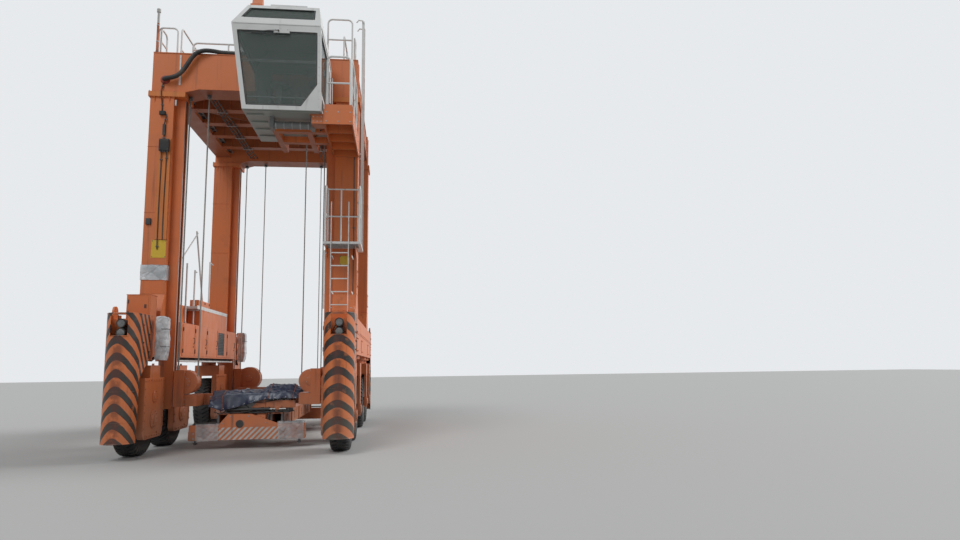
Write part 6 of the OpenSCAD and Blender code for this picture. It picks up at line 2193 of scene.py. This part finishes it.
def add_end_beam(end):
    """Corner housings with their guide plates and the twistlocks' drives, and the opening's rings."""
    name = end_name(end)
    arm = "arm_" + name
    trim, dark, bolts = Form(), Form(), Form()
    face, back = end * END_FACE, end * END_BACK
    out = (0, end, 0)
    for side in SIDES:
        spot = sided(side, end)
        trim.box(spot(HOUSING_X[0], END_BACK - 0.004, 0.192),
                 spot(HOUSING_X[1], END_FACE + 0.004, 0.40), 0.012)
        dark.turned([(0.075, 0), (0.075, 0.015), (0.045, 0.03), (0.045, 0.05)], spot(LOCK_X, LOCK_Y, 0.53),
                    UP, 24)
        dark.rod(spot(LOCK_X, LOCK_Y, 0.565), spot(0.70, LOCK_Y, 0.565), 0.016)
        bolts.bolts(grid(HOUSING_X[1], 2.90, (0.24, 0.35), spot), (side, 0, 0), 0.012, 0.010)
        bolts.bolts(grid(1.15, END_FACE + 0.004, (0.24, 0.35), spot), out, 0.012, 0.010)
    opening = at(OPENING[0], face, OPENING[1])
    trim.turned([(0.100, 0), (0.100, 0.003), (0.096, 0.004)], opening, out, 32)
    dark.turned([(0.085, 0), (0.085, 0.006), (0.070, 0.007)], opening, out, 32)
    bolts.bolts([at(x, face, z) for x, z in FACE_BOLTS], out, 0.011, 0.010)
    piece(trim, f"end_housings_{name}", "orange_low", arm)
    piece(dark, f"end_drive_{name}", "black", arm)
    piece(bolts, f"end_bolts_{name}", "galvanized", arm)
    if end < 0:
        add_film(arm, end, face, back)


for end in ENDS:
    add_end_beam(end)


# Wrapped pieces

COOLER_FLOOR = 9.0
COOLER = [(0, 0), (1.14, 0), (1.16, 0.56), (0.96, 0.84), (0.31, 0.90), (0.02, 0.62)]
BUNDLE = [(-0.25, 0.03), (-0.06, 0), (0, 0.15), (-0.01, 0.90), (-0.06, 0.95), (-0.25, 0.95)]
# Wrapped pieces: outline, corner it starts from, directions across and up, depth, depth of its creases
WRAPPED = {
    "wrapped_cooler": (COOLER, at(span("wrapped_unit")[0].x, -0.06, COOLER_FLOOR), REAR, UP, 0.495, 0.045),
    "wrapped_bundle_front": (BUNDLE, at(-1.50, -3.70, 1.95), RIGHT, UP, 0.30, 0.030),
    "wrapped_bundle_rear": (BUNDLE, at(-1.50, 4.0, 1.95), RIGHT, UP, 0.30, 0.030),
}


def crumpled(form, name, depth):
    """A wrapped bundle: its block is remeshed and creased, with the ridges left where it was."""
    mesh = applied(name, form.mesh(name, 60), "REMESH", mode="VOXEL",
                   voxel_size=0.030 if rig.quick() else 0.022)
    mesh = applied(name, mesh, "SMOOTH", iterations=3)
    moved = []
    for v in mesh.vertices:
        p = v.co
        crease = abs(noise.noise(p * 3.1)) * 0.9 + abs(noise.noise(p * 8.3 + Vector((4, 1, 2)))) * 0.4
        drawn = 0.35 * max(0, math.cos(2 * math.pi * p.z / 0.42)) ** 6
        moved.append(p - v.normal * depth * (crease + drawn))
    for v, p in zip(mesh.vertices, moved):
        v.co = p
    return mesh


def add_wrapped():
    for name, (outline, origin, across, up, thickness, creases) in WRAPPED.items():
        form = Form().plate(outline, origin, across, up, thickness)
        piece(crumpled(form, name, creases), name, "wrap", replaced=["wrapped_unit"])
    bands = Form()
    left, right, over = span("wrapped_unit")[0].x, -2.002, 9.86
    for y in (0.18, 0.86):
        bands.bent([(left - 0.002, y, 9.02), (left - 0.004, y, 9.62), (left + 0.03, y, over),
                    (-2.04, y, over),
                    (right, y, 9.60), (right, y, 9.02)], 0.009, 6)
    for end in ENDS:
        for z in (2.25, 2.62):
            bands.bent([(-1.62, 3.698, z), (-1.507, 3.698, z), (-1.507, 4.002, z), (-1.62, 4.002, z)], 0.007,
                       6,
                       sided(1, end))
    piece(bands, "wrapping_bands", "plastic")


add_wrapped()


# Power pack

HOOD_TOP = 9.94
HOOD_LOW, HOOD_HIGH = span("power_pack")
HOOD_RIGHT = 1.10
FAN_FROM_LEFT, FAN_Y, FAN_R = 0.65, 1.32, 0.45
EXHAUST = (0.75, 0.72)
DOOR_LOW, DOOR_TOP = 8.80, 9.78
LOUVRES = 9
# One fan blade: distance from the shaft, across, height
BLADE = ((0.08, -0.04, 0.012), (0.41, -0.08, 0.010), (0.41, 0.07, 0.045), (0.08, 0.04, 0.040))


def add_fan(dark, steel):
    """Hub, blades and the round guard over them."""
    fan = at(HOOD_LOW.x + FAN_FROM_LEFT, FAN_Y, HOOD_TOP)
    dark.turned([(0.09, 0.004), (0.09, 0.05), (0.05, 0.06)], fan)
    for k in range(8):
        turn = Matrix.Rotation(k * math.pi / 4, 3, "Z")
        blade = [fan + turn @ Vector(p) for p in BLADE]
        lower = [p - Vector((0, 0, 0.004)) for p in blade]
        dark.add(blade + lower,
                 [[0, 1, 2, 3], [7, 6, 5, 4]] + [[i, 4 + i, 4 + (i + 1) % 4, (i + 1) % 4] for i in range(4)])
    for r in np.arange(0.07, FAN_R, 0.045):
        loop = ring(fan + Vector((0, 0, 0.082)), UP, r, 48)
        steel.tube(loop + loop[:1], 0.003, 5)
    above = fan + Vector((0, 0, 0.088))
    for start, end in zip(ring(above, UP, 0.05, 12), ring(above, UP, FAN_R, 12)):
        steel.rod(start, end, 0.004, 6)


def add_exhaust(dark):
    """Foot, heat shield and clamp around the exhaust pipe."""
    pipe = at(*EXHAUST, HOOD_TOP)
    dark.turned([(0.13, 0), (0.13, 0.006), (0.10, 0.012)], pipe, UP, 32)
    for p in ring(pipe, UP, 0.088, 10):
        dark.box(p + Vector((-0.012, -0.012, 0.03)), p + Vector((0.012, 0.012, 0.20)), 0.003)
    dark.turned([(0.092, 0), (0.092, 0.02)], pipe + Vector((0, 0, 0.215)), UP, 32)


def add_hood_doors(trim, dark, steel):
    """Doors on both flanks and the front, with hinges, latches and slots."""
    for side, x in ((-1, HOOD_LOW.x), (1, HOOD_RIGHT)):
        for y0, y1 in ((0.47, 1.28), (1.36, 2.17)):
            trim.box(at(x, y0, DOOR_LOW), at(x + side * 0.010, y1, DOOR_TOP))
            for z in (8.95, 9.60):
                dark.rod(*grid(x + side * 0.016, y0 + 0.01, (z - 0.05, z + 0.05)), 0.012)
            dark.box(at(x, y1 - 0.09, 9.24), at(x + side * 0.028, y1 - 0.04, 9.36), 0.005)
            for k in range(6):
                z = 8.92 + 0.045 * k
                dark.box(at(x, y0 + 0.16, z), at(x + side * 0.014, y1 - 0.18, z + 0.018), 0.002)
    front = HOOD_LOW.y
    for x0, x1 in ((-1.20, -0.45), (-0.36, 0.25), (0.34, 1.00)):
        trim.box(at(x0, front - 0.010, DOOR_LOW), at(x1, front, DOOR_TOP))
        dark.box(at(x1 - 0.08, front - 0.026, 9.24), at(x1 - 0.04, front, 9.34), 0.005)
        steel.bolts(grid((x0 + 0.04, x1 - 0.04), front - 0.010, (8.86, 9.72)), FRONT, 0.010, 0.008)


def add_hood_top(trim, dark, steel):
    """Lifting eyes, bolts and a service cover on the hood."""
    for x in (HOOD_LOW.x + 0.06, 1.04):
        for y in (0.45, 2.19):
            steel.bent([(x + dx, y, HOOD_TOP + dz) for dx, dz in
                        ((-0.03, 0), (-0.03, 0.05), (0, 0.075), (0.03, 0.05), (0.03, 0))], 0.011)
    steel.bolts(grid(np.arange(-1.2, 1.05, 0.24), (0.41, 2.23), HOOD_TOP), UP, 0.010, 0.008)
    trim.box(at(0.10, 1.00, HOOD_TOP - 0.001), at(0.95, 2.05, HOOD_TOP + 0.02), 0.006)
    for x in (0.20, 0.85):
        dark.box(at(x - 0.05, 2.03, HOOD_TOP + 0.01), at(x + 0.05, 2.10, HOOD_TOP + 0.026))


def add_louvres(trim, steel):
    """A frame round the louvres at the rear, and slats that close them at a slant."""
    rear = HOOD_HIGH.y
    for z in (8.90, 9.73):
        trim.box(at(-1.10, rear - 0.001, z), at(0.90, rear + 0.012, z + 0.03))
    for x in (-1.10, 0.87):
        trim.box(at(x, rear - 0.001, 8.90), at(x + 0.03, rear + 0.012, 9.76))
    for i in range(LOUVRES):
        trim.plate([(0, 0), (1.90, 0), (1.90, 0.050), (0, 0.050)], at(-1.05, rear + 0.006, 8.986 + 0.09 * i),
                   RIGHT,
                   (0, 0.28, -0.96), 0.003)
    steel.bolts(grid((-1.18, 0.98), rear, (DOOR_LOW, 9.30, 9.82)), REAR, 0.011, 0.009)


def add_power_pack():
    trim, dark, steel = Form(), Form(), Form()
    add_fan(dark, steel)
    add_exhaust(dark)
    add_hood_doors(trim, dark, steel)
    add_hood_top(trim, dark, steel)
    add_louvres(trim, steel)
    piece(trim, "hood_panels", "orange")
    piece(dark, "hood_fittings", "black")
    piece(steel, "hood_guard_and_bolts", "galvanized")


add_power_pack()


# Lines on the deck

COOLANT_Z = (9.10, 9.24)
DECK_LINE_Z = 8.716


def add_deck_lines():
    """Coolant pipes from the wrapped cooler, and the hydraulic lines that run to the front beam."""
    pipes, hoses, clips = Form(), Form(), Form()
    for k, z in enumerate(COOLANT_Z):
        y = 0.55 + 0.16 * k
        pipes.line([(-2.01, y, z), (-1.80, y, z), (-1.62, 0.62 + 0.18 * k, z - 0.02),
                    (-1.50, 0.80 + 0.2 * k, z - 0.06),
                    (-1.30, 0.86 + 0.22 * k, z - 0.06)], 0.036, 8, 12)
        for place in (at(-1.98, y, z), at(-1.33, 0.86 + 0.22 * k, z - 0.06)):
            clips.turned([(0.05, 0), (0.05, 0.03)], place, RIGHT)
    for k in range(5):
        x = -0.75 + 0.05 * k
        hoses.line([(x, 0.372, 8.86), (x, 0.26, 8.84), (x, 0.18, 8.74), (x, 0.02, DECK_LINE_Z),
                    (x, -0.60, DECK_LINE_Z),
                    (x + 0.02, -1.40, DECK_LINE_Z), (x, -2.30, DECK_LINE_Z), (x, -2.50, 8.76),
                    (x, -2.572, 8.80)], 0.015)
    for y in (-2.20, -1.60, -1.00, -0.40):
        clips.box(at(-0.79, y - 0.02, 8.689), at(-0.51, y + 0.02, 8.738))
    piece(pipes, "coolant_pipes", "galvanized")
    piece(hoses, "deck_lines", "hose")
    piece(clips, "deck_clips", "bright_steel")


add_deck_lines()


# Platform, ladders and landing

PLATFORM_Z = 7.02
PLATFORM_LOW, PLATFORM_HIGH = span("cab_platform")
LANDING_Z = 4.55
RAIL_Y = -3.46
POST_X, POST_Y = 1.70, -3.80


def add_platform_plates(plates, bolts):
    """Toe boards, the bracket under the cab's front right corner, and bolts."""
    front = PLATFORM_LOW.y
    plates.box(at(2.392, front + 0.02, PLATFORM_Z - 0.01), at(2.398, -3.40, PLATFORM_Z + 0.10), 0.002)
    plates.box(at(1.82, front + 0.002, PLATFORM_Z - 0.01), at(2.38, front + 0.008, PLATFORM_Z + 0.10), 0.002)
    plates.box(at(1.56, front + 0.03, 6.705), at(1.802, front + 0.33, 6.918), 0.008)
    plates.box(at(1.53, front + 0.02, 6.895), at(1.802, front + 0.36, 6.919))
    bolts.bolts(grid((1.60, 1.68, 1.76), front + 0.03, (6.76, 6.86)), FRONT, 0.010, 0.009)
    bolts.bolts(grid((1.86, 2.10, 2.34), front, (6.76, 6.96)), FRONT, 0.011, 0.010)
    bolts.bolts(grid(PLATFORM_HIGH.x, np.arange(front + 0.15, -3.3, 0.42), (6.76, 6.95)), RIGHT, 0.010, 0.009)
    # Bolts on the hanger plates behind the cab
    for x in (0.66, 1.36):
        bolts.bolts(grid((x + 0.03, x + 0.09), -3.492, (7.60, 8.10, 8.60, 8.85)), REAR, 0.011, 0.010)


def add_gratings(grip):
    """Bars of the gratings on the platform and on the landing."""
    front = PLATFORM_LOW.y
    for y in np.arange(front + 0.06, -3.25, 0.055):
        grip.box(at(1.84, y, PLATFORM_Z - 0.002), at(2.36, y + 0.006, PLATFORM_Z + 0.006), 0.001)
    for x in np.arange(1.86, 2.36, 0.1):
        grip.box(at(x, front + 0.05, PLATFORM_Z - 0.002), at(x + 0.006, -3.22, PLATFORM_Z + 0.004), 0.001)
    for low, high in ((4.548, 4.557), (4.493, 4.501)):
        for y in np.arange(-3.82, -3.24, 0.05):
            grip.box(at(1.72, y, low), at(2.44, y + 0.006, high), 0.001)


def add_platform():
    plates, grip, bolts, mounts = Form(), Form(), Form(), Form()
    add_platform_plates(plates, bolts)
    add_gratings(grip)
    for x in (0.72, 1.42):
        for y in (-4.595, -3.865):
            mounts.turned([(0.05, 0), (0.058, 0.012), (0.05, 0.024)], at(x, y, 6.905), UP, 20)
    # Brackets under the landing
    for x in (1.70, 2.36):
        plates.box(at(x, -3.30, 4.30), at(x + 0.02, -3.18, 4.50), 0.003)
    for x in (1.72, 2.37):
        plates.plate([(0, 0), (-0.50, 0.20), (-0.50, 0.24), (0, 0.24)], at(x, -3.20, 4.255), REAR, UP, 0.010)
    piece(plates, "platform_plates", "orange")
    piece(grip, "platform_grating", "galvanized")
    piece(bolts, "platform_bolts", "galvanized")
    piece(mounts, "cab_mounts", "gasket")


def add_rails():
    """Rails across the landing, a grab post beside the lower ladder, and the ladders' feet and bent tops."""
    rails = Form()
    for z in (5.20, 5.84):
        rails.rod(at(1.71, RAIL_Y, z), at(2.46, RAIL_Y, z), 0.017)
    rails.rod(at(2.03, RAIL_Y, LANDING_Z), at(2.03, RAIL_Y, 5.84), 0.017)
    rails.rod(at(POST_X, POST_Y, 3.055), at(POST_X, POST_Y, 4.30), 0.019)
    rails.bent([(POST_X, y, z) for y, z in ((POST_Y, 4.29), (-3.78, 4.34), (-3.72, 4.36), (-3.40, 4.36))],
               0.017)
    for x in (1.87, 2.31):
        rails.box(at(x - 0.02, -3.915, 3.059), at(x + 0.02, -3.845, 3.075), 0.002)
        for z in (3.4, 4.2):
            rails.box(at(x - 0.006, -3.86, z), at(x + 0.006, -3.40, z + 0.04), 0.002)
    for y in (-3.10, -2.66):
        rails.bent([(2.49, y, 10.13), (2.46, y, 10.185), (2.36, y, 10.195), (2.31, y, 10.13)], 0.015)
    piece(rails, "ladder_brackets", "white")


add_platform()
add_rails()


# Equipment on the side beams and the mast's bands

DRUM = (1.85, 0.76)
TRAY_Z = 3.309
CUP = [(0.045, 0), (0.045, 0.010), (0.030, 0.016), (0.030, 0.06)]
MAST = (-2.30, -3.14)


def add_drum(plates, dark, steel):
    """Hoops around the drum, its handle and the bolts of its lid."""
    x, y = DRUM
    for z in (2.90, 3.02, 3.14, 3.22):
        plates.turned([(0.200, 0), (0.206, 0.006), (0.206, 0.020), (0.200, 0.026)], at(x, y, z), UP, 40)
    dark.bent([(1.78, y, 3.34), (1.78, y, 3.385), (1.90, y, 3.385), (1.90, y, 3.34)], 0.010)
    steel.bolts(ring(at(x - 0.01, y, 3.34), UP, 0.19, 8), UP, 0.010, 0.008)


def add_beam_boxes(plates, dark):
    """Lids, doors, hinges and latches of the step box at the right and the end box at the left."""
    plates.box(at(1.612, -2.508, 3.27), at(1.858, -2.142, 3.292), 0.006)
    for y in (-2.42, -2.23):
        dark.rod(at(1.862, y - 0.03, 3.283), at(1.862, y + 0.03, 3.283), 0.010)
    dark.box(at(1.69, -2.518, 3.08), at(1.77, -2.500, 3.16))
    plates.box(at(-2.30, -4.008, 2.89), at(-1.90, -4.000, 3.29))
    for z in (2.96, 3.20):
        dark.rod(*grid(-2.302, -4.012, (z - 0.04, z + 0.04)), 0.010)
    dark.box(at(-1.98, -4.022, 3.06), at(-1.94, -4.006, 3.14))
    plates.box(at(-2.35, -4.008, 3.338), at(-1.85, -3.612, 3.352), 0.005)


def add_screen(plates, dark):
    """Frame, stiffeners and slots of the screen on the left beam."""
    for y in np.arange(-2.06, 1.2, 0.54):
        plates.box(at(-2.012, y - 0.02, 2.86), at(-1.999, y + 0.02, 3.30), 0.002)
    for z in (2.87, 3.28):
        plates.box(at(-2.014, -2.09, z - 0.015), at(-1.999, 1.19, z + 0.015), 0.002)
    for y in np.arange(-1.99, 1.1, 0.54):
        for k in range(7):
            z = 2.93 + 0.048 * k
            dark.box(at(-2.003, y, z), at(-1.998, y + 0.40, z + 0.018), 0.001)


def add_tray_load(plates, dark, steel, pale):
    """On the rack's tray a low case and two planks; its cross bars, lips and the stanchions' feet."""
    plates.box(at(-1.88, -1.15, TRAY_Z), at(-1.66, -0.10, 3.50), 0.010)
    for y in (-1.05, -0.62, -0.20):
        dark.box(at(-1.664, y, 3.42), at(-1.652, y + 0.07, 3.47), 0.003)
    for k, x in enumerate((-1.86, -1.77)):
        pale.box(at(x, 0.02, TRAY_Z), at(x + 0.075, 1.30 + 0.06 * k, 3.345))
    for y in np.arange(-1.4, 1.5, 0.48):
        steel.box(at(-1.90, y, 3.20), at(-1.60, y + 0.03, 3.252), 0.002)
    for x in (-1.903, -1.597):
        pale.box(at(x - 0.003, -1.50, 3.245), at(x + 0.003, 1.55, 3.335), 0.001)
    for y, z in ((-0.40, TRAY_Z - 0.001), (0.10, TRAY_Z - 0.001), (-1.94, BEAM_TOP - 0.002),
                 (-1.27, BEAM_TOP - 0.002)):
        steel.turned(CUP, at(-1.75, y, z), UP, 20)


def add_beam_equipment():
    plates, dark, steel, pale = Form(), Form(), Form(), Form()
    add_drum(plates, dark, steel)
    add_beam_boxes(plates, dark)
    add_screen(plates, dark)
    add_tray_load(plates, dark, steel, pale)
    dark.turned([(0.034, 0), (0.034, 0.03), (0.030, 0.035)], at(*MAST, FRAME_Z), UP, 20)
    for z in (9.40, 9.80):
        steel.turned([(0.031, 0), (0.033, 0.004), (0.033, 0.020), (0.031, 0.024)], at(*MAST, z), UP, 16)
    piece(plates, "equipment_panels", "orange")
    piece(dark, "equipment_fittings", "black")
    piece(steel, "equipment_steel", "galvanized")
    piece(pale, "tray_load", "white")


add_beam_equipment()


size = {"cad": [list(c) for c in cad_box], "visual": [list(c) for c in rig.bounds()]}
with open("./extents.json", "w") as out:
    json.dump(size, out)
